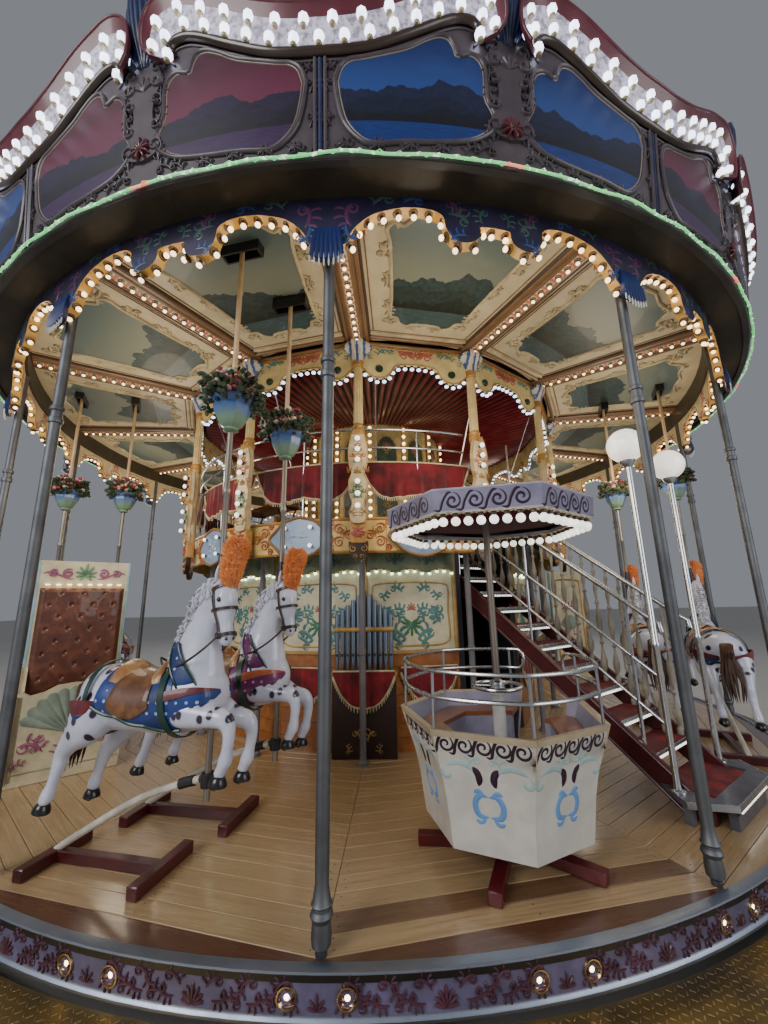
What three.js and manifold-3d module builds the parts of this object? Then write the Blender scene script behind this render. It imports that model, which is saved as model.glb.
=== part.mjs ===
// A double-deck fairground carousel, in millimetres, +Z up, origin on the ground at its centre.
// Angles are counted from the -Y side towards +X, and pole 1 stands at angle 0.
// Each piece is drawn on the -Y side, with +X the way it travels, and turned into its place.

import * as THREE from 'three';
import { mergeVertices } from 'three/addons/utils/BufferGeometryUtils.js';
import Module from 'manifold-3d';

const wasm = await Module();
wasm.setup();

// The whole machine
const BAYS = 14;
const BAY = (2 * Math.PI) / BAYS;
const HALF_BAY = BAY / 2;
const RING_STEPS = 3 * BAYS;
const SEAT = 0.3;
const DECK = 380;
const UPPER_DECK = DECK + 2450;
const DEGREE = Math.PI / 180;

// Radii of the lower storey, from outside in
const STEP_OUT = 5620;
const STEP_IN = 5130;
const RIM_OUT = 5105;
const DECK_OUT = 5050;
const POLE_RING = 5000;
const POST_RING = 2760;
const STAGE_OUT = 2500;
const HUB_OUT = 600;
const HUB_IN = 400;

// Radii of the upper storey and the top
const COLUMN_RING = 3080;
const FASCIA_OUT = 2995.5;
const SOFFIT_OUT = 5290;
const UPSTAND_OUT = 5000;
const UPSTAND_IN = 4970;
const DRUM_OUT = 1180;

// Heights above the ground
const STEP_TOP = 180;
const RIM_LOW = 195;
const RIM_TOP = DECK + 12;
const DECK_LOW = DECK - 60;
const SOFFIT_LOW = DECK + 4260;
const SOFFIT_TOP = SOFFIT_LOW + 30;
const UPSTAND_TOP = DECK + 4498;
const CEILING_OUT_LOW = DECK + 4500;
const CEILING_IN_LOW = DECK + 4580;
const UPPER_LOW = UPPER_DECK - 50;
const BEAM_LOW = UPPER_DECK - 150;

// Rides. A horse stands in a bay, its pole so many degrees past the middle. A tub is turned by its spin.
const HORSES = [
  { name: 'horse_1', bay: 13, ring: 4560, past: 2.5 },
  { name: 'horse_2', bay: 13, ring: 3890, past: 4.2 },
  { name: 'horse_3', bay: 2, ring: 4560, past: 2.5 },
  { name: 'horse_4', bay: 2, ring: 3890, past: 7 },
  { name: 'horse_5', bay: 6, ring: 4560, past: 2.5 },
  { name: 'horse_6', bay: 6, ring: 3890, past: 4.2 },
  { name: 'horse_7', bay: 11, ring: 4560, past: 2.5 },
  { name: 'horse_8', bay: 11, ring: 3890, past: 4.2 },
];
const TUBS = [
  { name: 'tub_1', ring: 4280, angle: 14.8 * DEGREE, spin: -63 * DEGREE },
  { name: 'tub_2', ring: 4280, angle: 14.8 * DEGREE + 7 * BAY, spin: 0 },
];
const CARRIAGES = [
  { name: 'carriage_1', ring: 4160, angle: -48.5 * DEGREE },
  { name: 'carriage_2', ring: 4160, angle: 4 * BAY + HALF_BAY },
  { name: 'carriage_3', ring: 4160, angle: 9 * BAY + HALF_BAY },
];

// Colours
const COLOURS = {
  steel: 0x8b857c,
  darkSteel: 0x2b2724,
  tread: 0xa08a5c,
  timber: 0xb98a4e,
  rim: 0x5b3f63,
  indigo: 0x2c2a4f,
  brown: 0x4a3422,
  cream: 0xe8d9b4,
  gold: 0xc79a4a,
  red: 0x7c1420,
  burgundy: 0x5a0f1e,
  oxide: 0x5d1f1c,
  chrome: 0xc9ccd1,
  white: 0xf2f0ea,
  lilac: 0x8d8aa8,
  leather: 0x6e3a1e,
  canvas: 0xc9b98f,
};

function material(colour, roughness = 0.55, metalness = 0) {
  return new THREE.MeshStandardMaterial({ color: colour, roughness, metalness });
}

// Solids

function solid(geometry) {
  const bare = geometry.clone();
  bare.deleteAttribute('normal');
  bare.deleteAttribute('uv');
  const merged = mergeVertices(bare, 1e-3);
  const mesh = new wasm.Mesh({
    numProp: 3,
    vertProperties: new Float32Array(merged.attributes.position.array),
    triVerts: new Uint32Array(merged.index.array),
  });
  return new wasm.Manifold(mesh);
}

function join(geometries) {
  let whole = solid(geometries[0]);
  for (const geometry of geometries.slice(1)) {
    whole = whole.add(solid(geometry));
  }
  return whole;
}

function cut(whole, geometries) {
  let left = whole;
  for (const geometry of geometries) {
    left = left.subtract(solid(geometry));
  }
  return left;
}

function toGeometry(manifold) {
  const mesh = manifold.getMesh();
  const geometry = new THREE.BufferGeometry();
  geometry.setAttribute('position', new THREE.BufferAttribute(new Float32Array(mesh.vertProperties), 3));
  geometry.setIndex(new THREE.BufferAttribute(new Uint32Array(mesh.triVerts), 1));
  geometry.computeVertexNormals();
  return geometry;
}

// Shapes

function block(wide, deep, high, x, y, z) {
  return new THREE.BoxGeometry(wide, deep, high).translate(x, y, z + high / 2);
}

function post(radius, high, x, y, z, sides = 8, topRadius = radius) {
  const shape = new THREE.CylinderGeometry(topRadius, radius, high, sides);
  return shape.rotateX(Math.PI / 2).translate(x, y, z + high / 2);
}

function rod(from, to, radius, sides = 6, endRadius = radius) {
  const start = new THREE.Vector3(...from);
  const along = new THREE.Vector3(...to).sub(start);
  const shape = new THREE.CylinderGeometry(endRadius, radius, along.length(), sides);
  const turn = new THREE.Quaternion().setFromUnitVectors(
    new THREE.Vector3(0, 1, 0),
    along.clone().normalize(),
  );
  return shape.applyQuaternion(turn).translate(
    start.x + along.x / 2,
    start.y + along.y / 2,
    start.z + along.z / 2,
  );
}

function ball(size, at, around = 10, rings = 6) {
  const shape = new THREE.SphereGeometry(1, around, rings).rotateX(Math.PI / 2);
  return shape.scale(...size).translate(...at);
}

// A turned ring or post. The profile is (radius, height) points, outer side going up.
function turned(profile, steps = RING_STEPS) {
  const points = profile.map(([radius, height]) => new THREE.Vector2(radius, height));
  if (profile[0][0] > 0) {
    points.push(points[0].clone());
  }
  return new THREE.LatheGeometry(points, steps).rotateX(Math.PI / 2);
}

// A turned ring whose points are then moved, by what move(point, angle) gives for the profile point.
function shapedRing(profile, steps, move) {
  const ring = turned(profile, steps);
  const spots = ring.attributes.position;
  const count = profile.length + 1;
  for (let index = 0; index < spots.count; index += 1) {
    const angle = (Math.floor(index / count) * 2 * Math.PI) / steps;
    const [radius, height] = move(index % count % profile.length, angle);
    spots.setXYZ(index, radius * Math.sin(angle), -radius * Math.cos(angle), height);
  }
  return ring;
}

// The radius, at an angle, of a straight-sided ring whose corners are at the poles
function sided(corner, angle) {
  const off = ((angle % BAY) + BAY) % BAY;
  return (corner * Math.cos(HALF_BAY)) / Math.cos(off - HALF_BAY);
}

// The share of the way from one pole to the middle of the bay, 0 to 1
function towardsMiddle(angle) {
  const off = ((angle + 1e-9) % BAY) / BAY;
  return 1 - Math.abs(2 * off - 1);
}

function along(points, at) {
  for (let index = 1; index < points.length; index += 1) {
    const [from, low] = points[index - 1];
    const [to, high] = points[index];
    if (at <= to) {
      return low + ((at - from) / (to - from)) * (high - low);
    }
  }
  return points[points.length - 1][1];
}

function plate(outline, thick) {
  const shape = new THREE.Shape(outline.map(([x, y]) => new THREE.Vector2(x, y)));
  return new THREE.ExtrudeGeometry(shape, { depth: thick, bevelEnabled: false });
}

function atEachPole(make) {
  return Array.from({ length: BAYS }, (_, index) => make().rotateZ(index * BAY));
}

// The fixed base

const STEP_WALL = 30;
const BEAM = STEP_TOP - STEP_WALL - SEAT;
const BEAMS = 7;
const HUB_TOP = 300;

function baseFrame() {
  const reach = (STEP_OUT - STEP_WALL) * Math.cos(Math.PI / RING_STEPS) - SEAT;
  const pieces = [post(HUB_OUT, HUB_TOP, 0, 0, 0, 2 * BAYS)];
  for (let index = 0; index < BEAMS; index += 1) {
    const beam = block(BEAM, reach - 300, BEAM, 0, -(reach + 300) / 2, 0);
    pieces.push(beam.rotateZ((index * 2 * Math.PI) / BEAMS + Math.PI / RING_STEPS));
  }
  return join(pieces);
}

function stepRing() {
  return solid(turned([
    [STEP_IN, STEP_TOP - STEP_WALL],
    [STEP_OUT - STEP_WALL, STEP_TOP - STEP_WALL],
    [STEP_OUT - STEP_WALL, 0],
    [STEP_OUT, 0],
    [STEP_OUT, STEP_TOP],
    [STEP_IN, STEP_TOP],
  ]));
}

// The lower deck, with the floor frames and guide arms of the horses bolted on

const HORSE_POLE = 20;
const EYE_IN = HORSE_POLE + 0.6;
const EYE_OUT = 42;
const EYE_HEIGHT = 540;
const REAR_BAR = -1080;
const FRONT_BAR = -270;

// Two radial bars joined by a middle bar, and the guide arm that rises to the pole's lower end
function floorFrame() {
  const half = 240;
  const bar = 40;
  const middle = 30;
  const sunk = 10;
  const frame = plate([
    [REAR_BAR - bar, -half],
    [REAR_BAR + bar, -half],
    [REAR_BAR + bar, -middle],
    [FRONT_BAR - bar, -middle],
    [FRONT_BAR - bar, -half],
    [FRONT_BAR + bar, -half],
    [FRONT_BAR + bar, half],
    [FRONT_BAR - bar, half],
    [FRONT_BAR - bar, middle],
    [REAR_BAR + bar, middle],
    [REAR_BAR + bar, half],
    [REAR_BAR - bar, half],
  ], 75 + sunk).translate(0, 0, DECK - sunk);
  const eye = turned([
    [EYE_IN, DECK + EYE_HEIGHT - 40],
    [EYE_OUT, DECK + EYE_HEIGHT - 40],
    [EYE_OUT, DECK + EYE_HEIGHT + 40],
    [EYE_IN, DECK + EYE_HEIGHT + 40],
  ], 6);
  return [
    frame,
    rod([REAR_BAR, 0, DECK + 60], [-(EYE_IN + EYE_OUT) / 2, 0, DECK + EYE_HEIGHT], 22, 4),
    eye,
  ];
}

function atHorse(geometry, horse) {
  const angle = horse.bay * BAY + HALF_BAY + horse.past * DEGREE;
  return geometry.translate(0, -horse.ring, 0).rotateZ(angle);
}

function lowerDeck() {
  const pieces = [
    turned([[HUB_IN, DECK_LOW], [DECK_OUT, DECK_LOW], [DECK_OUT, DECK], [HUB_IN, DECK]]),
    turned([
      [HUB_IN, HUB_TOP + SEAT],
      [HUB_OUT, HUB_TOP + SEAT],
      [HUB_OUT, DECK_LOW + 10],
      [HUB_IN, DECK_LOW + 10],
    ], 2 * BAYS),
  ];
  for (const horse of HORSES) {
    pieces.push(...floorFrame().map((piece) => atHorse(piece, horse)));
  }
  return join(pieces);
}

function deckRim() {
  const ledge = 25;
  return solid(turned([
    [DECK_OUT + SEAT, RIM_LOW],
    [RIM_OUT, RIM_LOW],
    [RIM_OUT - 12, RIM_LOW + ledge],
    [RIM_OUT, RIM_TOP],
    [DECK_OUT + SEAT, RIM_TOP],
  ]));
}

const POLE_RADIUS = 40;

function outerPole() {
  return solid(post(POLE_RADIUS, SOFFIT_LOW - DECK - 2 * SEAT, 0, -POLE_RING, DECK + SEAT, 10));
}

// The soffit ring that the poles carry, with the valance and the rounding boards on it

function soffitRing() {
  return solid(turned([
    [UPSTAND_IN, SOFFIT_LOW],
    [SOFFIT_OUT, SOFFIT_LOW],
    [SOFFIT_OUT, SOFFIT_TOP],
    [UPSTAND_OUT, SOFFIT_TOP],
    [UPSTAND_OUT, UPSTAND_TOP],
    [UPSTAND_IN, UPSTAND_TOP],
  ]));
}

// Lower edge of the valance from a pole to the middle of a bay: an arch, a dip and half a crest
const VALANCE_EDGE = [[0, 3890], [0.25, 4110], [0.5, 4180], [0.75, 3940], [1, 4085]];
const VALANCE_IN = 5055;
const VALANCE_OUT = 5077;

function valance() {
  const top = SOFFIT_LOW - SEAT;
  const section = [[VALANCE_IN, 0], [VALANCE_OUT, 0], [VALANCE_OUT, top], [VALANCE_IN, top]];
  return solid(shapedRing(section, 8 * BAYS, (point, angle) => {
    const [radius, height] = section[point];
    const low = DECK + along(VALANCE_EDGE, towardsMiddle(angle));
    return [radius, height || low];
  }));
}

// Top edge of the rounding boards from a joint to the plume in the middle of a bay, and how far they lean out
const BOARD_EDGE = [[0, 5200], [0.25, 5245], [0.5, 5365], [0.75, 5480], [1, 5700]];
const BOARD_LOW = DECK + 4235;
const BOARD_IN = SOFFIT_OUT - 0.2;
const BOARD_LEAN = 0.1;
const BOARD_THICK = 45;

function roundingBoards() {
  return solid(shapedRing([[1, 0], [2, 0], [2, 1], [1, 1]], 8 * BAYS, (point, angle) => {
    const top = DECK + along(BOARD_EDGE, towardsMiddle(angle));
    const height = point < 2 ? BOARD_LOW : top;
    const lean = (height - BOARD_LOW) * BOARD_LEAN;
    const outer = point === 1 || point === 2;
    return [BOARD_IN + lean + (outer ? BOARD_THICK : 0), height];
  }));
}

// The roof: a shallow cone on a skirt behind the rounding boards, with a spire on its crown

const CROWN = DECK + 6150;
const CROWN_TOP = CROWN + 150;
const SPIRE_FOOT = 170;
const SPIRE_TOP = DECK + 6970;

function roof() {
  const skin = 30;
  const skirt = 5240;
  const eaves = DECK + 4900;
  const crownRadius = 700;
  return solid(turned([
    [0, CROWN_TOP - skin],
    [crownRadius, CROWN - skin],
    [skirt - skin, eaves - skin],
    [skirt - skin, SOFFIT_TOP + SEAT],
    [skirt, SOFFIT_TOP + SEAT],
    [skirt, eaves],
    [crownRadius, CROWN],
    [SPIRE_FOOT, CROWN_TOP],
    [0, CROWN_TOP],
  ], BAYS));
}

function spire() {
  const foot = CROWN_TOP + SEAT;
  return solid(turned([
    [0, foot],
    [SPIRE_FOOT, foot],
    [110, foot + 50],
    [230, foot + 180],
    [120, foot + 330],
    [45, foot + 380],
    [12, SPIRE_TOP],
    [0, SPIRE_TOP],
  ], 8));
}

// The ceiling of the rides: panels between ribs, with a slot for each horse pole

const CEILING_THICK = 25;
// The ceiling's outer corners lie between those of the upstand, so they keep inside its flats
const EDGE_SLACK = Math.cos(Math.PI / RING_STEPS);
const CEILING_IN = 3085;

function ceilingLow(radius) {
  const share = (radius - CEILING_IN) / (UPSTAND_IN - CEILING_IN);
  return CEILING_IN_LOW + share * (CEILING_OUT_LOW - CEILING_IN_LOW);
}

// Angles past a pole, in degrees, of one bay of the ceiling: both edges of the rib, then the panel
const CEILING_STEPS = [-0.75, 0.75, 0.85, 12.857, 24.864];
const RIB_STEPS = 2;
const RIB_DEEP = 40;

function ceiling() {
  const steps = CEILING_STEPS.length;
  const out = UPSTAND_IN - SEAT;
  const panels = turned([[1, 0], [2, 0], [2, 1], [1, 1]], steps * BAYS);
  const spots = panels.attributes.position;
  for (let index = 0; index < spots.count; index += 1) {
    const point = (index % 5) % 4;
    const step = Math.floor(index / 5);
    const angle = Math.floor(step / steps) * BAY + CEILING_STEPS[step % steps] * DEGREE;
    const radius = point === 0 || point === 3 ? sided(CEILING_IN, angle) : out * EDGE_SLACK;
    const rib = point < 2 && step % steps < RIB_STEPS ? RIB_DEEP : 0;
    const height = ceilingLow(radius) + (point > 1 ? CEILING_THICK : -rib);
    spots.setXYZ(index, radius * Math.sin(angle), -radius * Math.cos(angle), height);
  }
  const slots = HORSES.map((horse) => atHorse(post(HORSE_POLE + 14, 400, 0, 0, SOFFIT_TOP, 6), horse));
  return cut(solid(panels), slots);
}

// The inner colonnade: columns under a scalloped ring beam

const BEAM_THICK = 40;
const COLUMN_TOP = CEILING_IN_LOW - RIB_DEEP - 4;

function column() {
  return turned([
    [0, DECK + 2070],
    [84, DECK + 2300],
    [56, DECK + 4280],
    [84, COLUMN_TOP],
    [0, COLUMN_TOP],
  ], 6).translate(0, -COLUMN_RING, 0);
}

function colonnade() {
  const edge = [[0, 4180], [1, 4280]];
  const beam = shapedRing([[1, 0], [2, 0], [2, 1], [1, 1]], 2 * BAYS, (point, angle) => {
    const low = DECK + along(edge, towardsMiddle(angle));
    const corner = point === 0 || point === 3 ? COLUMN_RING - BEAM_THICK : COLUMN_RING;
    return [sided(corner, angle), point < 2 ? low : COLUMN_TOP];
  });
  return join([beam, ...atEachPole(column)]);
}

// The stair bay: everything that rings the upper deck is left open here

const STAIR_BAY = 1;
const STAIR_ANGLE = STAIR_BAY * BAY + HALF_BAY;
const STAIR_OPEN = 420;
const LANDING_EDGE = 1660;

function inStairBay(geometry) {
  return geometry.rotateZ(STAIR_ANGLE);
}

function stairGap(half, inner, outer, low, high) {
  return inStairBay(block(2 * half, outer - inner, high - low, 0, -(inner + outer) / 2, low));
}

function upperDeck() {
  const out = FASCIA_OUT - 30 - SEAT;
  const floor = shapedRing([[1, 0], [2, 0], [2, 1], [1, 1]], BAYS, (point) => {
    const radius = point === 0 || point === 3 ? HUB_OUT : out;
    return [radius, point < 2 ? UPPER_LOW : UPPER_DECK];
  });
  return cut(solid(floor), [stairGap(STAIR_OPEN, LANDING_EDGE, 3200, UPPER_LOW - 50, UPPER_DECK + 50)]);
}

function sidedRing(cornerIn, cornerOut, low, high, steps = BAYS) {
  return shapedRing([[1, 0], [2, 0], [2, 1], [1, 1]], steps, (point, angle) => {
    const corner = point === 0 || point === 3 ? cornerIn : cornerOut;
    return [sided(corner, angle), point < 2 ? low : high];
  });
}

const BAY_GAP = 560;
const RAIL = 28;

function upperFascia() {
  const ring = sidedRing(FASCIA_OUT - 30, FASCIA_OUT, DECK + 2110, UPPER_DECK + 60);
  return cut(solid(ring), [stairGap(BAY_GAP, 2500, 3300, DECK + 2000, UPPER_DECK + 200)]);
}

function balconyRails() {
  const outer = FASCIA_OUT - SEAT;
  const pieces = [
    sidedRing(outer - RAIL, outer, DECK + 3535, DECK + 3535 + RAIL),
    sidedRing(outer - RAIL, outer, DECK + 3315, DECK + 3315 + RAIL),
  ];
  const stand = UPPER_DECK + 60 + SEAT;
  for (let index = 0; index < BAYS; index += 2) {
    pieces.push(block(RAIL, RAIL, DECK + 3550 - stand, 0, RAIL / 2 - outer, stand).rotateZ(index * BAY));
  }
  return cut(join(pieces), [stairGap(BAY_GAP, 2500, 3300, DECK + 2400, DECK + 3800)]);
}

// One long swagged drape behind the rails
function balconyDrapes() {
  const outer = FASCIA_OUT - SEAT - RAIL - SEAT;
  const ring = shapedRing([[1, 0], [2, 0], [2, 1], [1, 1]], 4 * BAYS, (point, angle) => {
    const corner = point === 0 || point === 3 ? outer - 14 : outer;
    const low = DECK + 2740 + 260 * (1 - towardsMiddle(angle)) ** 2;
    return [sided(corner, angle), point < 2 ? low : DECK + 3150];
  });
  return cut(solid(ring), [stairGap(BAY_GAP, 2500, 3300, DECK + 2400, DECK + 3800)]);
}

function upperCanopy() {
  const sheet = shapedRing([[1, 0], [2, 0], [2, 1], [1, 1]], BAYS, (point, angle) => {
    const inner = point === 0 || point === 3;
    const radius = sided(inner ? DRUM_OUT + SEAT : COLUMN_RING - BEAM_THICK - SEAT, angle);
    const low = DECK + (inner ? 4400 : 4505);
    return [radius, point < 2 ? low : low + 20];
  });
  return cut(solid(sheet), atEachPole(() => post(85, 80, 0, -COLUMN_RING, DECK + 4480, 6)));
}

function upperDrum() {
  return solid(sidedRing(DRUM_OUT - 60, DRUM_OUT, UPPER_DECK + SEAT, DECK + 4570));
}

// Under the upper deck: the ring beam on its posts, and the stage walls with the organ

function lowerPosts() {
  const beam = sidedRing(POST_RING - 50, POST_RING + 50, BEAM_LOW, UPPER_LOW - SEAT);
  const posts = atEachPole(() => post(36, BEAM_LOW - DECK + 20, 0, -POST_RING, DECK + SEAT, 6));
  return cut(join([beam, ...posts]), [stairGap(STAIR_OPEN + 60, 2500, 3000, BEAM_LOW - 50, UPPER_LOW + 50)]);
}

const STAIR_WELL = 460;
const WELL_BACK = 1300;
const STAGE_WALL = 60;

function stageWalls() {
  const outer = sidedRing(STAGE_OUT - STAGE_WALL, STAGE_OUT, DECK + SEAT, UPPER_LOW - SEAT);
  const high = UPPER_LOW - DECK - 2 * SEAT;
  const reach = STAGE_OUT * Math.cos(HALF_BAY);
  const deep = reach - WELL_BACK + STAGE_WALL;
  const wide = 2 * (STAIR_WELL + STAGE_WALL);
  const box = inStairBay(block(wide, deep, high, 0, -(reach - deep / 2), DECK + SEAT));
  const well = stairGap(STAIR_WELL, WELL_BACK, STAGE_OUT + 100, DECK - 10, UPPER_LOW + 10);
  return cut(join([outer, box]), [well]);
}

const PIPES = 11;

// The organ: a case that stands on the deck against the stage wall, and a row of pipes on it
function organPipes() {
  const pitch = 60;
  const half = ((PIPES - 1) / 2) * pitch;
  const deep = 120;
  const back = STAGE_OUT + SEAT;
  const caseTop = DECK + 860;
  const pieces = [
    block(2 * half + 90, deep, caseTop - DECK - SEAT, 0, -back - deep / 2, DECK + SEAT),
    block(2 * half, 20, 500, 0, -back - 25, caseTop - 20),
  ];
  for (let index = 0; index < PIPES; index += 1) {
    const x = index * pitch - half;
    const high = 890 - 0.9 * Math.abs(x);
    pieces.push(post(28, high, x, -back - 58, caseTop - 20, 5));
  }
  return join(pieces);
}

// The stair: straight and radial, in the middle of its bay

const RISERS = 13;
const RISER = (UPPER_DECK - DECK) / RISERS;
const STAIR_SLOPE = 0.774;
const GOING = RISER / STAIR_SLOPE;
const STAIR_HALF = 350;
const TREAD = 40;
const BOTTOM_TREAD_OUT = 4840;

function treadEdge(step) {
  return LANDING_EDGE + (RISERS - step) * GOING;
}

function nosing(radius) {
  return UPPER_DECK - (radius - LANDING_EDGE) * STAIR_SLOPE;
}

function stringer(side) {
  const deep = 240;
  const foot = 4690;
  const wide = 40;
  const end = LANDING_EDGE + SEAT;
  const toe = LANDING_EDGE + (UPPER_DECK - deep - DECK) / STAIR_SLOPE;
  const wall = plate([
    [-foot, DECK + SEAT],
    [-toe, DECK + SEAT],
    [-end, nosing(end) - deep],
    [-end, nosing(end) - 5],
    [-foot, nosing(foot) - 5],
  ], wide);
  const upright = wall.rotateX(Math.PI / 2).rotateZ(Math.PI / 2);
  const inner = STAIR_HALF + SEAT;
  return upright.translate(side > 0 ? inner : -inner - wide, 0, 0);
}

// The bottom tread has a wing on each side, on which a lamp stands
function bottomTread() {
  const wing = 620;
  const front = 4700;
  const back = 4360;
  const outline = [
    [-wing, -4600],
    [-STAIR_HALF - 60, -BOTTOM_TREAD_OUT],
    [STAIR_HALF + 60, -BOTTOM_TREAD_OUT],
    [wing, -4600],
    [STAIR_HALF + 50, -back],
    [STAIR_HALF + 50, -front],
    [-STAIR_HALF - 50, -front],
    [-STAIR_HALF - 50, -back],
  ];
  const slab = plate(outline, TREAD).translate(0, 0, DECK + RISER - TREAD);
  const leg = (side) => block(60, 60, RISER - TREAD / 2, side * 480, -4560, DECK + SEAT);
  const toe = block(2 * STAIR_HALF, 60, RISER - TREAD / 2, 0, -4780, DECK + SEAT);
  return join([slab, toe, leg(-1), leg(1)].map(inStairBay));
}

// The treads and risers are one folded plate between the stringers
function stairTreads() {
  const top = [];
  const under = [];
  const riserThick = 25;
  top.push([-4700 + SEAT, DECK + RISER]);
  for (let step = 1; step < RISERS; step += 1) {
    const height = DECK + step * RISER;
    const back = treadEdge(step + 1);
    if (step > 1) {
      top.push([-treadEdge(step), height]);
      under.push([-treadEdge(step) + riserThick, height - TREAD]);
    }
    const last = step === RISERS - 1;
    const end = last ? back + SEAT : back;
    top.push([-end, height]);
    under.push([-end + (last ? 0 : riserThick), height - TREAD]);
  }
  const outline = [...top, ...under.reverse(), [-4700 + SEAT, DECK + RISER - TREAD]];
  const upright = plate(outline, 2 * STAIR_HALF).rotateX(Math.PI / 2).rotateZ(Math.PI / 2);
  return solid(inStairBay(upright.translate(-STAIR_HALF, 0, 0)));
}

const RAIL_SIDE = 325;
const RAIL_LOW_END = 4440;
const RAIL_HIGH_END = 1900;

function slopeRod(side, above, radius) {
  return rod(
    [side, -RAIL_LOW_END, nosing(RAIL_LOW_END) + above],
    [side, -RAIL_HIGH_END, nosing(RAIL_HIGH_END) + above],
    radius,
    4,
  );
}

function treadPost(step, side, radius) {
  const spot = treadEdge(step) - 90;
  const foot = DECK + step * RISER + SEAT;
  return post(radius, nosing(spot) + 1120 - foot, side, -spot, foot, 4);
}

function handrail() {
  const side = -RAIL_SIDE;
  const pieces = [slopeRod(side, 1120, 22), slopeRod(side, 660, 14), slopeRod(side, 300, 14)];
  for (const step of [2, 6, 10]) {
    pieces.push(treadPost(step, side, 16));
  }
  return join(pieces.map(inStairBay));
}

function balustrade() {
  const side = RAIL_SIDE;
  const pieces = [slopeRod(side, 1120, 22)];
  for (let step = 2; step < RISERS - 1; step += 1) {
    pieces.push(treadPost(step, side, 20));
  }
  return join(pieces.map(inStairBay));
}

const LAMP_SIDE = 470;
const LAMP_RING = 4500;
const GLOBE = 150;

function globeLamp(side) {
  const foot = DECK + RISER + SEAT;
  const globe = DECK + 2910;
  const pieces = [
    post(60, 15, side, -LAMP_RING, foot, 6),
    post(24, globe - foot - GLOBE + 20, side, -LAMP_RING, foot, 6),
    ball([GLOBE, GLOBE, GLOBE], [side, -LAMP_RING, globe], 8, 6),
  ];
  return join(pieces.map(inStairBay));
}

// Carriages: a floor, a tall back, a seat, a low front board and an outer side

function carriage(spot) {
  const half = 440;
  const rear = -350;
  const front = 350;
  const low = DECK + SEAT;
  const wall = 50;
  const side = plate([[rear, 0], [front, 0], [front, 830], [150, 700], [-150, 760], [rear, 1000]], wall);
  const pieces = [
    block(front - rear, 2 * half, 120, 0, 0, low),
    block(70, 2 * half, 2130, rear + 35, 0, low),
    block(wall, 2 * half, 860, front - wall / 2, 0, low),
    block(380, 2 * half, 330, rear + 260, 0, low + 100),
    side.rotateX(Math.PI / 2).translate(0, -half + wall, low),
  ];
  return join(pieces.map((piece) => piece.translate(0, -spot.ring, 0).rotateZ(spot.angle)));
}

// Spinning tubs: a fixed stand and canopy, and a basket that turns on the stand

const TUB_SIDES = 7;
const TUB_RIM = 700;
const TUB_POST = 45;
const TUB_LOW = DECK + 175;
const CANOPY_LOW = DECK + 2150;
const CANOPY_PANEL = CANOPY_LOW + 50;

// A seven-sided turned form, with a corner at angle 0 and a flat side facing the machine's middle
function heptagon(profile) {
  return turned(profile, TUB_SIDES);
}

function atTub(geometry, spot) {
  return geometry.translate(0, -spot.ring, 0).rotateZ(spot.angle);
}

function tubStand(spot) {
  const wheel = DECK + 1000;
  const arms = Array.from({ length: 5 }, (_, index) => {
    const arm = block(80, 600, 75, 0, -300, DECK + SEAT);
    return arm.rotateZ((index * 2 * Math.PI) / 5 + Math.PI);
  });
  const spokes = [0, 1, 2].map((index) => {
    return rod([0, 0, wheel], [0, -170, wheel], 12, 4).rotateZ((index * 2 * Math.PI) / 3);
  });
  const pieces = [
    ...arms,
    post(150, TUB_LOW - DECK - 2 * SEAT, 0, 0, DECK + SEAT, 7),
    post(TUB_POST, 900, 0, 0, DECK + 100, 6),
    turned([[152, wheel - 14], [180, wheel - 14], [180, wheel + 14], [152, wheel + 14]], 8),
    ...spokes,
    post(28, CANOPY_PANEL - SEAT - wheel, 0, 0, wheel, 6),
  ];
  return join(pieces.map((piece) => atTub(piece, spot)));
}

function tubCanopy(spot) {
  return solid(atTub(heptagon([
    [0, CANOPY_PANEL],
    [690, CANOPY_PANEL],
    [690, CANOPY_LOW],
    [750, CANOPY_LOW],
    [765, CANOPY_LOW + 150],
    [735, CANOPY_LOW + 160],
    [0, CANOPY_LOW + 240],
  ]), spot));
}

function tubBasket(spot) {
  const low = TUB_LOW;
  const rim = DECK + 845;
  const wall = 45;
  const bore = TUB_POST + 15;
  const rail = 673;
  const shell = heptagon([
    [bore, low],
    [540, low],
    [560, DECK + 330],
    [605, DECK + 560],
    [TUB_RIM, rim],
    [TUB_RIM - wall, rim],
    [560, DECK + 570],
    [515, DECK + 340],
    [500, low + 45],
    [bore, low + 45],
  ]);
  const bench = heptagon([
    [340, DECK + 450],
    [565, DECK + 450],
    [575, DECK + 490],
    [340, DECK + 490],
  ]);
  const rails = [1030, 1180].map((height) => {
    const at = DECK + height;
    return heptagon([[rail - 13, at - 13], [rail + 13, at - 13], [rail + 13, at + 13], [rail - 13, at + 13]]);
  });
  const stubs = Array.from({ length: TUB_SIDES }, (_, index) => {
    return block(20, 20, 390, 0, -rail, rim - 60).rotateZ((index * 2 * Math.PI) / TUB_SIDES);
  });
  const door = block(420, 400, 1200, 0, 560, DECK + 240);
  const pieces = [shell, bench, ...rails, ...stubs];
  const place = (piece) => atTub(piece.rotateZ(spot.spin), spot);
  return cut(join(pieces.map(place)), [place(door)]);
}

// Horses: each is one moving piece, fixed to the pole that lifts it

const POLE_FOOT = 420;
const POLE_HEAD = 4760;

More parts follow.
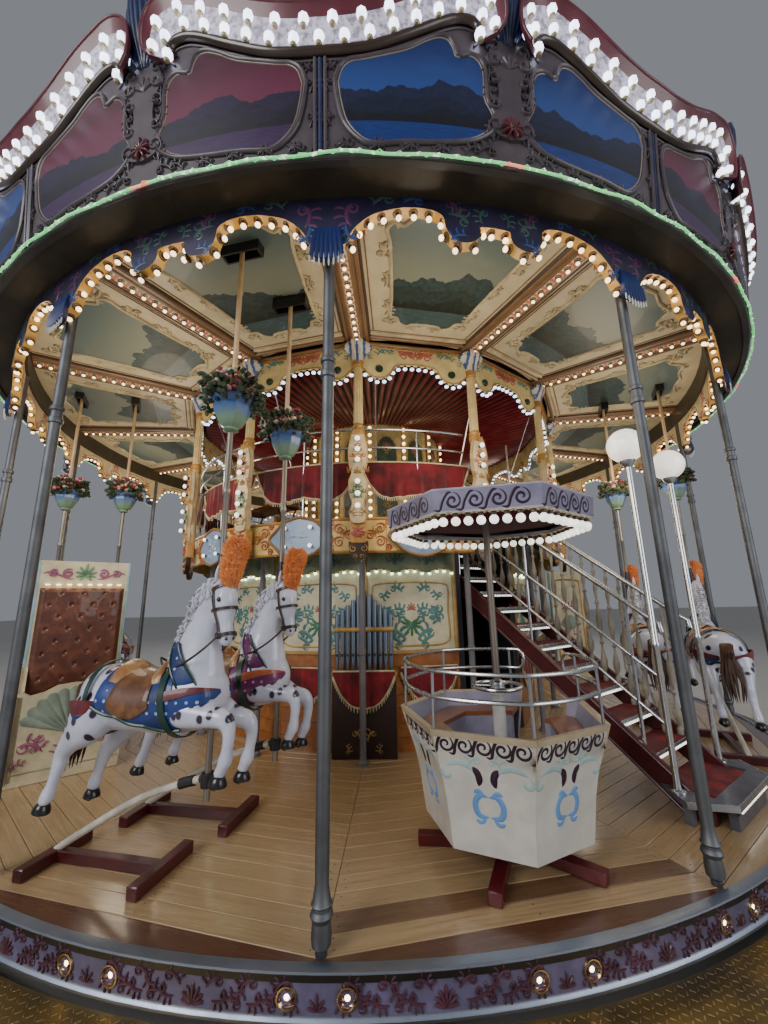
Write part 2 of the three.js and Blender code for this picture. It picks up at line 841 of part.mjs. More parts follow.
function horsePieces() {
  const leg = (points, side, thick) => points.slice(1).map((to, index) => {
    const from = points[index];
    const size = thick * (1 - 0.18 * index);
    return rod([from[0], side, from[1]], [to[0], side, to[1]], size, 4, size * 0.72);
  });
  return [
    ball([530, 185, 215], [-410, 0, 985], 8, 4),
    rod([-110, 0, 1000], [-5, 0, 1720], 200, 5, 90),
    rod([20, 0, 1740], [130, 0, 1380], 100, 4, 62),
    rod([110, 0, 1700], [185, 0, 2020], 45, 4, 62),
    ...leg([[-780, 900], [-1130, 300]], -95, 115),
    ...leg([[-720, 880], [-930, 360]], 95, 115),
    ...leg([[-110, 950], [165, 880], [150, 510]], -100, 95),
    ...leg([[-60, 980], [265, 880], [255, 560]], 100, 95),
    rod([-900, 0, 1020], [-1030, 0, 560], 50, 4, 30),
    post(HORSE_POLE, POLE_HEAD - POLE_FOOT, 0, 0, POLE_FOOT, 6),
    turned([[0, 2870], [70, 2870], [150, 3240], [0, 3330]], 6),
  ].map((piece) => piece.translate(0, 0, DECK));
}

function horse(spot) {
  return join(horsePieces().map((piece) => atHorse(piece, spot)));
}

// The scene graph

const carousel = new THREE.Group();

function add(name, manifold, finish) {
  const mesh = new THREE.Mesh(toGeometry(manifold), finish);
  mesh.name = name;
  carousel.add(mesh);
}

add('base_frame', baseFrame(), material(COLOURS.darkSteel, 0.6, 0.6));
add('step_ring', stepRing(), material(COLOURS.tread, 0.35, 0.8));
add('lower_deck', lowerDeck(), material(COLOURS.timber, 0.3));
add('deck_rim', deckRim(), material(COLOURS.rim, 0.4));
for (let index = 0; index < BAYS; index += 1) {
  const turn = new THREE.Matrix4().makeRotationZ(index * BAY);
  add(`outer_pole_${index + 1}`, outerPole().transform([...turn.elements]), material(COLOURS.steel, 0.35, 0.7));
}
add('soffit_ring', soffitRing(), material(COLOURS.brown));
add('valance', valance(), material(COLOURS.indigo));
add('rounding_boards', roundingBoards(), material(COLOURS.indigo));
add('roof', roof(), material(COLOURS.canvas, 0.8));
add('roof_spire', spire(), material(COLOURS.gold, 0.35, 0.9));
add('ride_ceiling', ceiling(), material(COLOURS.cream));
add('inner_colonnade', colonnade(), material(COLOURS.cream));
add('upper_deck', upperDeck(), material(COLOURS.timber, 0.4));
add('upper_fascia', upperFascia(), material(COLOURS.gold));
add('balcony_rails', balconyRails(), material(COLOURS.chrome, 0.2, 1));
add('balcony_drapes', balconyDrapes(), material(COLOURS.red, 0.9));
add('upper_canopy', upperCanopy(), material(COLOURS.burgundy, 0.9));
add('upper_drum', upperDrum(), material(COLOURS.cream));
add('lower_posts', lowerPosts(), material(COLOURS.steel, 0.4, 0.6));
add('stage_walls', stageWalls(), material(COLOURS.cream));
add('organ_pipes', organPipes(), material(COLOURS.chrome, 0.25, 1));
add('stair_treads', stairTreads(), material(COLOURS.oxide));
add('stair_bottom_tread', bottomTread(), material(COLOURS.oxide));
add('stair_stringer_left', solid(inStairBay(stringer(-1))), material(COLOURS.oxide));
add('stair_stringer_right', solid(inStairBay(stringer(1))), material(COLOURS.oxide));
add('stair_handrail', handrail(), material(COLOURS.chrome, 0.2, 1));
add('stair_balustrade', balustrade(), material(COLOURS.cream));
add('globe_lamp_left', globeLamp(-LAMP_SIDE), material(COLOURS.white, 0.3));
add('globe_lamp_right', globeLamp(LAMP_SIDE), material(COLOURS.white, 0.3));
for (const spot of CARRIAGES) {
  add(spot.name, carriage(spot), material(COLOURS.leather, 0.5));
}
for (const spot of TUBS) {
  add(`${spot.name}_stand`, tubStand(spot), material(COLOURS.oxide));
  add(`${spot.name}_canopy`, tubCanopy(spot), material(COLOURS.lilac));
  add(`${spot.name}_basket`, tubBasket(spot), material(COLOURS.white, 0.3));
}
for (const spot of HORSES) {
  add(spot.name, horse(spot), material(COLOURS.white, 0.3));
}

export default carousel;
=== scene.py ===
"""Looks of a double-deck fairground carousel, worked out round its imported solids.

Metres, +Z up. An angle runs from the -Y side towards +X, and an outer pole stands at angle 0.
Sizes are named by what they measure. Heights are above the deck unless a name says otherwise.
"""

import math

import bpy
import numpy as np
from mathutils import Matrix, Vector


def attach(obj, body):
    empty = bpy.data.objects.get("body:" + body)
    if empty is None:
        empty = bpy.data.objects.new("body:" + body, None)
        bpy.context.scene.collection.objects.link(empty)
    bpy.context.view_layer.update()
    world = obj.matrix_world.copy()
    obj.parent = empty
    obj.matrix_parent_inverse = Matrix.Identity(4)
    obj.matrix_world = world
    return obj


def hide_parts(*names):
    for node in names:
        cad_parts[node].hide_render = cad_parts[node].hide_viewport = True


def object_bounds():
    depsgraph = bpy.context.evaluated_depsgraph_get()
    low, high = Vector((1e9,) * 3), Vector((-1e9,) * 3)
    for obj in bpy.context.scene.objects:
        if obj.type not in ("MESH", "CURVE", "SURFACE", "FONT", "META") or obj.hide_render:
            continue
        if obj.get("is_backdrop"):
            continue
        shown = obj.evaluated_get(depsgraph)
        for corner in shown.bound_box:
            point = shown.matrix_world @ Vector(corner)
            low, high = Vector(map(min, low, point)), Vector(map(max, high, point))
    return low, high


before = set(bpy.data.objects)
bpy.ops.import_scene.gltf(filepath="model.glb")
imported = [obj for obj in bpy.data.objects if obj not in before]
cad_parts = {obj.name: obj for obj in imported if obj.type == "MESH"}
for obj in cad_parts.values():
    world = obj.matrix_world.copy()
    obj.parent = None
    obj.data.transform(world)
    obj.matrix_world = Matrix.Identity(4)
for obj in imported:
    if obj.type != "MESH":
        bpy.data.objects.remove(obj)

cad_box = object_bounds()

# The machine
BAYS = 14
BAY = 2 * math.pi / BAYS
HALF_BAY = BAY / 2
DECK = 0.38
POLE_RING = 5.0
DECK_OUT = 5.05
STAGE_OUT = 2.5
POST_RING = 2.76
COLUMN_RING = 3.08
FASCIA_OUT = 2.9955
SOFFIT = 4.26
UPPER_DECK = 2.45
STAIR_BAY = 1
STAIR_ANGLE = (STAIR_BAY + 0.5) * BAY
CLOSED_BAYS = [bay for bay in range(BAYS) if bay != STAIR_BAY]
# Gap between two solids that touch
SEAT = 0.0003

# The view: lens on a 36 mm tall picture, place above the ground, and the turns in degrees
LENS = 14.273
EYE = (0.4108, -7.2783, 1.994)
EYE_UP = 12.28
EYE_ROLL = 1.085
EYE_LEFT = 1.954


def camera():
    """The forward line is turned left and raised; the picture is then rolled about it."""
    left, up, roll = (math.radians(value) for value in (EYE_LEFT, EYE_UP, EYE_ROLL))
    ahead = np.array([-math.sin(left) * math.cos(up), math.cos(left) * math.cos(up), math.sin(up)])
    right = np.array([math.cos(left), math.sin(left), 0.0])
    above = np.cross(right, ahead)
    across = right * math.cos(roll) - above * math.sin(roll)
    upright = right * math.sin(roll) + above * math.cos(roll)
    lens = bpy.data.cameras.new("eye")
    lens.sensor_fit = "VERTICAL"
    lens.sensor_height = 36
    lens.lens = LENS
    lens.clip_end = 200
    eye = bpy.data.objects.new("eye", lens)
    turn = np.stack([across, upright, -ahead], axis=1)
    eye.matrix_world = Matrix.Translation(EYE) @ Matrix(turn.tolist()).to_4x4()
    bpy.context.scene.collection.objects.link(eye)
    bpy.context.scene.camera = eye


camera()

# Forms: surfaces as arrays


class Form:
    """Points, four-cornered faces, and for each face its corners' UV, its finish number and its tone.

    A triangle repeats a corner. The tone is a number from 0 to 1 that a finish may read.
    """

    def __init__(self, points, faces, uv, marks, tones):
        self.points = points
        self.faces = faces
        self.uv = uv
        self.marks = marks
        self.tones = tones

    def at(self, turn=None, shift=(0, 0, 0)):
        """The form turned by a 3 by 3 matrix and then moved."""
        points = self.points if turn is None else self.points @ np.asarray(turn).T
        return Form(points + np.asarray(shift), self.faces, self.uv, self.marks, self.tones)

    def marked(self, mark):
        """The form with one finish number on all its faces."""
        return Form(self.points, self.faces, self.uv, np.full(len(self.faces), mark), self.tones)

    def toned(self, tone):
        return Form(self.points, self.faces, self.uv, self.marks, np.full(len(self.faces), float(tone)))

    def outward(self):
        """Faces turned over if the closed form holds a negative volume: a sum of corner triple products."""
        a, b, c, d = (self.points[self.faces[:, corner]] for corner in range(4))
        volume = np.einsum("ij,ij->", a, np.cross(b, c)) + np.einsum("ij,ij->", a, np.cross(c, d))
        if volume >= 0:
            return self
        return Form(self.points, self.faces[:, ::-1], self.uv[:, ::-1], self.marks, self.tones)


def sheet(grid, mark=0, uv=None, tone=0.5):
    """A surface over a grid of points, rows by columns; it faces along (columns) x (rows)."""
    rows, columns = grid.shape[:2]
    spots = np.arange(rows * columns).reshape(rows, columns)
    corners = [spots[:-1, :-1], spots[:-1, 1:], spots[1:, 1:], spots[1:, :-1]]
    faces = np.stack(corners, axis=-1).reshape(-1, 4)
    if uv is None:
        uv = np.stack(np.meshgrid(np.linspace(0, 1, rows), np.linspace(0, 1, columns), indexing="ij"), -1)
    marks = np.broadcast_to(mark, (rows - 1, columns - 1)).reshape(-1)
    tones = np.broadcast_to(np.float64(tone), (rows - 1, columns - 1)).reshape(-1)
    return Form(grid.reshape(-1, 3), faces, np.asarray(uv).reshape(-1, 2)[faces], marks, tones)


def join(forms):
    """Several forms as one; their faces' point numbers move up by the points before them."""
    forms = list(forms)
    starts = np.cumsum([0] + [len(form.points) for form in forms[:-1]])
    return Form(
        np.concatenate([form.points for form in forms]),
        np.concatenate([form.faces + start for form, start in zip(forms, starts)]),
        np.concatenate([form.uv for form in forms]),
        np.concatenate([form.marks for form in forms]),
        np.concatenate([form.tones for form in forms]),
    )


def copies(form, spots, turns=None, tones=None):
    """The form repeated: each copy turned by its own matrix and moved to its own spot."""
    spots = np.asarray(spots, float)
    count = len(spots)
    turns = np.broadcast_to(np.eye(3), (count, 3, 3)) if turns is None else turns
    points = np.einsum("nij,pj->npi", turns, form.points) + spots[:, None]
    faces = form.faces[None] + (np.arange(count) * len(form.points))[:, None, None]
    tones = np.tile(form.tones, count) if tones is None else np.repeat(tones, len(form.faces))
    return Form(
        points.reshape(-1, 3),
        faces.reshape(-1, 4),
        np.tile(form.uv, (count, 1, 1)),
        np.tile(form.marks, count),
        tones,
    )


def spin(angle):
    """The matrix of a turn about +Z."""
    c, s = np.cos(angle), np.sin(angle)
    zero, one = np.zeros_like(c), np.ones_like(c)
    return np.stack([np.stack([c, -s, zero], -1), np.stack([s, c, zero], -1),
                     np.stack([zero, zero, one], -1)], -2)


def around(form, bays=range(BAYS), step=BAY):
    """The form repeated round the axis, a step's turn for each number."""
    angles = np.array([bay * step for bay in bays])
    return copies(form, np.zeros((len(angles), 3)), spin(angles))


def bay_middle(bay):
    """The angle half way between a bay's two poles."""
    return (bay + 0.5) * BAY


def mirror(form):
    """The form flipped left to right, with its faces turned back outwards."""
    return Form(form.points * [-1, 1, 1], form.faces[:, ::-1], form.uv[:, ::-1], form.marks, form.tones)


def ring(radius, angle, height):
    """Points at a radius, an angle and a height above the deck."""
    parts = np.broadcast_arrays(radius * np.sin(angle), -radius * np.cos(angle), height + DECK)
    return np.stack(parts, axis=-1).astype(float)


def upright(x, y, height):
    """Points at x and y, and a height above the deck."""
    return np.stack(np.broadcast_arrays(x, y, np.asarray(height) + DECK), -1).astype(float)


def sided(corner, angle):
    """Radius of a straight-sided ring of BAYS sides whose corners stand at the poles."""
    off = np.mod(angle, BAY)
    return corner * math.cos(HALF_BAY) / np.cos(off - HALF_BAY)


def turned(profile, sides=24, mark=0):
    """A profile of (radius, height) points carried round the Z axis; the whole turn is closed."""
    profile = np.asarray(profile, float)
    angle = np.linspace(0, 2 * math.pi, sides + 1)[None, :]
    radius, height = profile[:, :1], profile[:, 1:]
    grid = np.stack(np.broadcast_arrays(radius * np.cos(angle), radius * np.sin(angle), height), -1)
    if np.ndim(mark):
        mark = np.asarray(mark)[:, None]
    return sheet(grid, mark).outward()


def swept(path, section, up=(0, 0, 1), size=1.0, mark=0, loop=False):
    """A closed section of (side, rise) points carried along a path, with its ends drawn to a point.

    At each step the side is the tangent crossed with the up direction, and the rise is square to both.
    """
    path = np.asarray(path, float)
    section = np.asarray(section, float)
    section = np.concatenate([section, section[:1]])
    along = np.roll(path, -1, 0) - np.roll(path, 1, 0) if loop else np.gradient(path, axis=0)
    along /= np.linalg.norm(along, axis=1, keepdims=True)
    side = np.cross(along, np.broadcast_to(np.asarray(up, float), along.shape))
    side /= np.linalg.norm(side, axis=1, keepdims=True)
    rise = np.cross(side, along)
    size = np.broadcast_to(np.asarray(size, float), len(path))[:, None, None]
    offset = side[:, None] * section[None, :, :1] + rise[:, None] * section[None, :, 1:]
    grid = path[:, None] + size * offset
    if loop:
        grid = np.concatenate([grid, grid[:1]])
    else:
        grid = np.concatenate([0 * grid[:1] + path[0], grid, 0 * grid[:1] + path[-1]])
    length = np.concatenate([[0], np.cumsum(np.linalg.norm(np.diff(grid.mean(1), axis=0), axis=1))])
    share = np.linspace(0, 1, len(section))
    uv = np.stack(np.meshgrid(length, share, indexing="ij"), -1)
    return sheet(grid, mark, uv).outward()


def circle(radius, sides=8):
    angle = np.arange(sides) * 2 * math.pi / sides
    return np.stack([radius * np.cos(angle), radius * np.sin(angle)], -1)


def rectangle(wide, high, cut=0.0):
    """Corners of a rectangle about the middle, each cut off by a small chamfer."""
    x, y = wide / 2, high / 2
    if not cut:
        return np.array([[-x, -y], [x, -y], [x, y], [-x, y]])
    return np.array([[-x + cut, -y], [x - cut, -y], [x, -y + cut], [x, y - cut],
                     [x - cut, y], [-x + cut, y], [-x, y - cut], [-x, -y + cut]])


def tube(path, radius, sides=8, up=(0, 0, 1), mark=0, loop=False):
    return swept(path, circle(1, sides), up, radius, mark, loop)


def bar(start, end, wide, high, cut=0.002, up=(0, 0, 1), mark=0):
    """A straight bar of rectangular section with chamfered edges and ends."""
    start, end = np.asarray(start, float), np.asarray(end, float)
    along = (end - start) / np.linalg.norm(end - start)
    path = np.array([start, start + along * cut, end - along * cut, end])
    shrink = 1 - 2 * cut / max(wide, high)
    return swept(path, rectangle(wide, high, cut), up, [shrink, 1, 1, shrink], mark)


def block(low, high, cut=0.002, mark=0):
    """An upright block between two corners."""
    low, high = np.asarray(low, float), np.asarray(high, float)
    middle = (low + high) / 2
    foot = [middle[0], middle[1], low[2]]
    head = [middle[0], middle[1], high[2]]
    return bar(foot, head, high[0] - low[0], high[1] - low[1], cut, (0, 1, 0), mark)


def bezier(points, steps=14):
    """The cubic curve of four control points."""
    a, b, c, d = (np.asarray(point, float) for point in points)
    t = np.linspace(0, 1, steps)[:, None]
    return a * (1 - t) ** 3 + 3 * b * t * (1 - t) ** 2 + 3 * c * t * t * (1 - t) + d * t ** 3


def smooth_line(points, steps):
    """A line through the points: a cubic between neighbours, its slope taken from the points on either
    side."""
    points = np.asarray(points, float)
    padded = np.concatenate([points[:1] * 2 - points[1:2], points, points[-1:] * 2 - points[-2:-1]])
    place = np.linspace(0, len(points) - 1, steps)
    index = np.minimum(place.astype(int), len(points) - 2)
    t = (place - index)[:, None]
    p0, p1, p2, p3 = (padded[index + shift] for shift in range(4))
    return 0.5 * (2 * p1 + (p2 - p0) * t + (2 * p0 - 5 * p1 + 4 * p2 - p3) * t ** 2
                  + (3 * p1 - p0 - 3 * p2 + p3) * t ** 3)


def curl(centre, size, lead, turns, hand=1, steps=26, end=0.18):
    """A scroll: it starts at the lead angle, size away from the centre, and shrinks evenly as it winds in."""
    share = np.linspace(0, 1, steps)
    radius = size * (1 - (1 - end) * share)
    angle = lead + hand * turns * 2 * math.pi * share
    return np.stack([centre[0] + radius * np.cos(angle), centre[1] + radius * np.sin(angle)], -1)


def spaced(line, count, closed=False):
    """Points spaced evenly along a line, and the line's direction at each."""
    line = np.asarray(line, float)
    length = np.concatenate([[0], np.cumsum(np.linalg.norm(np.diff(line, axis=0), axis=1))])
    wanted = np.linspace(0, length[-1], count, endpoint=not closed)
    points = np.stack([np.interp(wanted, length, column) for column in line.T], -1)
    slopes = np.gradient(line, length + np.arange(len(line)) * 1e-9, axis=0)
    ways = np.stack([np.interp(wanted, length, column) for column in slopes.T], -1)
    return points, ways / np.linalg.norm(ways, axis=1, keepdims=True)


# Carving: strokes drawn in a plane, in metres, and laid on a surface by a place(x, y, out) function


STROKE = np.array([[-0.5, -0.12], [-0.46, 0.35], [-0.2, 0.9], [0.2, 0.9], [0.46, 0.35], [0.5, -0.12]])


def stroke(line, wide, rise, place, mark=0, taper=(0.35, 0.35)):
    """A rounded ridge along a line, narrowing to points at its ends over the given shares of its length."""
    line = np.asarray(line, float)
    share = np.linspace(0, 1, len(line))
    narrow = np.clip(share / max(taper[0], 1e-3), 0, 1) * np.clip((1 - share) / max(taper[1], 1e-3), 0, 1)
    size = np.sin(narrow * math.pi / 2) ** 0.7
    along = np.gradient(line, axis=0)
    along /= np.linalg.norm(along, axis=1, keepdims=True) + 1e-12
    square = np.stack([-along[:, 1], along[:, 0]], -1)
    section = np.concatenate([STROKE, STROKE[:1]])
    across = section[None, :, 0] * (size * wide)[:, None]
    flat = line[:, None] + square[:, None] * across[..., None]
    height = section[None, :, 1] * (0.3 + 0.7 * size)[:, None] * rise
    grid = place(flat[..., 0], flat[..., 1], height)
    grid[0] = grid[0].mean(0)
    grid[-1] = grid[-1].mean(0)
    return sheet(grid, mark).outward()


def carving(strokes, rise, place, mark=0):
    """Strokes given as (line, width) pairs, carved at one height."""
    return join(stroke(line, wide, rise, place, mark) for line, wide in strokes)


def drawn(strokes, x=0.0, y=0.0, size=1.0, turn=0.0, over=False):
    """A motif moved, sized, turned and, where it is laid over, flipped in its plane."""
    c, s = math.cos(turn) * size, math.sin(turn) * size
    out = []
    for line, wide in strokes:
        line = np.asarray(line, float) * ([-1, 1] if over else [1, 1])
        out.append((line @ np.array([[c, s], [-s, c]]) + [x, y], wide * size))
    return out


def flip(strokes, x=0.0):
    """The strokes' mirror images about the line at x."""
    return [(np.asarray(line) * [-1, 1] + [2 * x, 0], wide) for line, wide in strokes]


def paired(strokes, rise, place, mark=0):
    """Strokes and their mirror images about the middle line, carved at one height."""
    return carving(strokes + flip(strokes), rise, place, mark)


def raised(place, by):
    """A place function that stands out further than the one it is given."""
    return lambda x, y, out: place(x, y, out + by)


def scroll_leaf():
    """A curling stem one unit long from the origin, with three leaves on its outer side."""
    stem = bezier([(0, 0), (0.3, 0.34), (0.75, 0.42), (0.93, 0.16)], 12)
    eye = curl((0.72, 0.14), 0.21, 0.1, 1.15, -1, 18)
    leaves = [
        (bezier([(0.12, 0.14), (0.1, 0.36), (0.02, 0.42), (-0.1, 0.46)], 7), 0.1),
        (bezier([(0.36, 0.3), (0.38, 0.5), (0.3, 0.62), (0.18, 0.68)], 7), 0.11),
        (bezier([(0.62, 0.36), (0.72, 0.52), (0.7, 0.66), (0.6, 0.76)], 7), 0.1),
    ]
    return [(stem, 0.13), (eye, 0.09)] + leaves


def leaf_group(spots):
    """A scroll leaf at each spot, given as x, y, size, turn and whether it is laid over."""
    return [line for spot in spots for line in drawn(scroll_leaf(), *spot)]


def palmette(leaves=7, spread=1.25):
    """Leaves that fan out from the origin, the middle one a unit long."""
    out = []
    for lean in np.linspace(-spread, spread, leaves):
        reach = 1 - 0.35 * abs(lean) / spread
        tip = np.array([math.sin(lean), math.cos(lean)]) * reach
        out.append((bezier([(0, 0), tip * 0.4 + [0, 0.1], tip * 0.8, tip], 8), 0.2))
    return out


def running_scroll(length, curls, size):
    """A row of linked curls along X, centred on the origin."""
    pitch = length / curls
    out = []
    for index in range(curls):
        x = (index + 0.5) * pitch - length / 2
        link = smooth_line([(x - pitch * 0.9, -size * 0.75), (x - pitch * 0.6, -size * 0.8),
                            (x - pitch * 0.46, 0), (x - pitch * 0.24, size * 0.7), (x, size * 0.8)], 18)
        out.append((link, size * 0.3))
        out.append((curl((x, 0), size * 0.8, math.pi / 2, 1.5, -1, 28, 0.1), size * 0.26))
    return out


# Shader maths


class Wire:
    """One value in a material. A sum, product or comparison of wires adds its Math nodes."""

    def __init__(self, finish, socket):
        self.finish = finish
        self.socket = socket

    def math(self, operation, *others, swapped=False):
        values = [self, *others]
        if swapped:
            values.reverse()
        node = self.finish.node("ShaderNodeMath", {"operation": operation}, dict(enumerate(values)))
        return Wire(self.finish, node.outputs[0])

    def __add__(self, other):
        return self.math("ADD", other)

    def __sub__(self, other):
        return self.math("SUBTRACT", other)

    def __rsub__(self, other):
        return self.math("SUBTRACT", other, swapped=True)

    def __mul__(self, other):
        return self.math("MULTIPLY", other)

    def __truediv__(self, other):
        return self.math("DIVIDE", other)

    def __gt__(self, other):
        return self.math("GREATER_THAN", other)

    def __lt__(self, other):
        return self.math("LESS_THAN", other)

    __radd__ = __add__
    __rmul__ = __mul__

    def fract(self):
        return self.math("FRACT")

    def floor(self):
        return self.math("FLOOR")

    def size(self):
        return self.math("ABSOLUTE")

    def wave(self):
        return self.math("SINE")

    def least(self, other):
        return self.math("MINIMUM", other)

    def between(self, low, high):
        """0 below low and 1 above high, with a smooth step between them."""
        settings = {"interpolation_type": "SMOOTHSTEP"}
        node = self.finish.node("ShaderNodeMapRange", settings,
                                {"Value": self, "From Min": low, "From Max": high})
        return Wire(self.finish, node.outputs[0])


class Finish:
    """A material whose values are written as expressions on wires."""

    def __init__(self, name, **fixed):
        self.material = bpy.data.materials.new(name)
        self.material.use_nodes = True
        self.tree = self.material.node_tree
        self.shader = self.tree.nodes["Principled BSDF"]
        self.cache = {}
        self.set(**fixed)

    def node(self, kind, settings=None, sockets=None):
        """Any node: its settings are set first, then each socket gets its value or its link."""
        node = self.tree.nodes.new(kind)
        for name, value in (settings or {}).items():
            setattr(node, name, value)
        for name, value in (sockets or {}).items():
            self.feed(node.inputs[name], value)
        return node

    def feed(self, socket, value):
        """A link from a wire, or a plain value; a colour gets full alpha."""
        if isinstance(value, Wire):
            self.tree.links.new(value.socket, socket)
        elif socket.type == "RGBA":
            socket.default_value = (*value[:3], 1)
        else:
            socket.default_value = value

    def set(self, **sockets):
        """Sockets of the surface shader, their names written with _ for a space."""
        for name, value in sockets.items():
            self.feed(self.shader.inputs[name.replace("_", " ")], value)
        return self

    def made(self, key, make):
        """A node that the material needs once."""
        if key not in self.cache:
            self.cache[key] = make()
        return self.cache[key]

    def spot(self):
        """The point on the object, as a vector."""
        return self.made("spot", lambda: Wire(self, self.node("ShaderNodeTexCoord").outputs["Object"]))

    def uv(self):
        return self.made("uv", lambda: Wire(self, self.node("ShaderNodeTexCoord").outputs["UV"]))

    def parts(self, vector):
        """The three numbers of a vector."""
        node = self.node("ShaderNodeSeparateXYZ", None, {0: vector})
        return [Wire(self, output) for output in node.outputs]

    def tone(self):
        """The number that a form gives each of its faces."""
        settings = {"attribute_name": "tone"}
        return self.made("tone", lambda: Wire(self,
                                              self.node("ShaderNodeAttribute", settings).outputs["Fac"]))

    def vector(self, x, y, z=0.0):
        return Wire(self, self.node("ShaderNodeCombineXYZ", None, {0: x, 1: y, 2: z}).outputs[0])

    def scaled(self, vector, by):
        node = self.node("ShaderNodeVectorMath", {"operation": "MULTIPLY"}, {0: vector, 1: by})
        return Wire(self, node.outputs[0])

    def cloud(self, scale, detail=3.0, where=None, rough=0.55):
        """Soft noise, about 0.5 on average."""
        vector = self.spot() if where is None else where
        sockets = {"Vector": vector, "Scale": scale, "Detail": detail, "Roughness": rough}
        return Wire(self, self.node("ShaderNodeTexNoise", None, sockets).outputs[0])

    def dice(self, value):
        """A number from 0 to 1 for each whole number."""
        return Wire(self, self.node("ShaderNodeTexWhiteNoise", {"noise_dimensions": "1D"},
                                    {"W": value}).outputs[0])

    def mix(self, share, first, second, blend="MIX"):
        """The first colour towards the second, by a share."""
        settings = {"data_type": "RGBA", "blend_type": blend}
        return Wire(self, self.node("ShaderNodeMix", settings, {0: share, 6: first, 7: second}).outputs[2])

    def tint(self, share, first, second):
        """The first colour multiplied by the second, by a share."""
        return self.mix(share, first, second, "MULTIPLY")

    def bump(self, height, depth=0.002, strength=1.0):
        """Relief of the given depth, without any change of the shape."""
        node = self.node("ShaderNodeBump", None, {"Strength": strength, "Distance": depth, "Height": height})
        return self.set(Normal=Wire(self, node.outputs[0]))


def rgb(code):
    """A colour written as six hex digits, in linear light."""
    values = np.array([int(code[index:index + 2], 16) / 255 for index in (0, 2, 4)])
    return tuple(np.where(values <= 0.04045, values / 12.92, ((values + 0.055) / 1.055) ** 2.4))


def shade(colour, by):
    """A colour made darker or lighter."""
    return tuple(np.clip(np.asarray(colour) * by, 0, 1))


# Finishes


def enamel(name, colour, rough=0.32, drift=0.18, coat=0.3, grain=6.0):
    """Brushed gloss paint: the colour drifts in a soft cloud, and faint brush marks and dust roughen it."""
    finish = Finish(name, Coat_Weight=coat, Coat_Roughness=0.15)
    base = rgb(colour)
    cloud = finish.cloud(grain, 4)
    fine = finish.cloud(grain * 14, 2)
    mixed = finish.mix(cloud.between(0.3, 0.72), shade(base, 1 - drift), shade(base, 1 + drift * 0.6))
    finish.set(Base_Color=finish.tint(fine.between(0.62, 0.8) * 0.25, mixed, shade(base, 0.5)))
    finish.set(Roughness=rough + fine * 0.12)
    finish.bump(finish.cloud(grain * 30, 2), 0.0006, 0.5)
    return finish.material


def metal(name, colour, rough=0.22, grain=30.0, dirt=0.3):
    """Bare or plated metal: fine streaks in the polish, and duller patches."""
    finish = Finish(name, Metallic=1.0)
    base = rgb(colour)
    patch = finish.cloud(4, 4)
    fine = finish.cloud(grain, 3, finish.scaled(finish.spot(), (1, 1, 0.15)))
    finish.set(Base_Color=finish.mix(patch.between(0.35, 0.75) * dirt, base, shade(base, 0.45)))
    finish.set(Roughness=rough + patch * 0.15 + fine * 0.1)
    finish.bump(fine, 0.0004, 0.4)
    return finish.material


def glow(name, colour, strength):
    """A lit lamp: its brightness varies a little from lamp to lamp."""
    finish = Finish(name, Roughness=0.15, Emission_Strength=strength, Base_Color=rgb("ffffff"))
    base = rgb(colour)
    cloud = finish.cloud(9, 1)
    finish.set(Emission_Color=finish.mix(cloud.between(0.35, 0.65), shade(base, 0.72), base))
    finish.material.cycles.emission_sampling = "NONE"
    return finish.material


def velvet(name, colour, deep):
    """Pile cloth: its colour goes towards the deeper one in soft random patches, with a nap that shows as a
    fine grain.
    """
    finish = Finish(name, Roughness=0.85, Sheen_Weight=0.6, Sheen_Roughness=0.4)
    patch = finish.cloud(5, 3)
    nap = finish.cloud(420, 2)
    finish.set(Base_Color=finish.mix(patch.between(0.3, 0.7), rgb(deep), rgb(colour)))
    finish.bump(nap, 0.0008, 0.6)
    return finish.material


def varnished(name, pale, dark, rough=0.18):
    """Boards under varnish. The UV gives metres along and across; its whole part along numbers the board."""
    finish = Finish(name, Coat_Weight=0.55, Coat_Roughness=0.12)
    u, v, _ = finish.parts(finish.uv())
    board = u.floor()
    along = u.fract()
    luck = finish.dice(board)
    where = finish.vector(along * 8, v * 26, board * 3.7)
    grain = finish.cloud(2.2, 6, where, 0.62)
    fine = finish.cloud(14, 3, where)
    honey = finish.mix(grain.between(0.34, 0.7), rgb(pale), shade(rgb(pale), 0.66))
    honey = finish.mix(luck * 0.45, honey, shade(rgb(pale), 0.74))
    colour = finish.mix(finish.tone(), honey, finish.mix(grain.between(0.3, 0.7), rgb(dark),
                                                         shade(rgb(dark), 0.6)))
    finish.set(Base_Color=finish.tint(fine.between(0.6, 0.75) * 0.35, colour, shade(rgb(pale), 0.3)))
    finish.set(Roughness=rough + grain * 0.22)
    finish.bump(fine * 0.4 + grain, 0.0009, 0.5)
    return finish.material


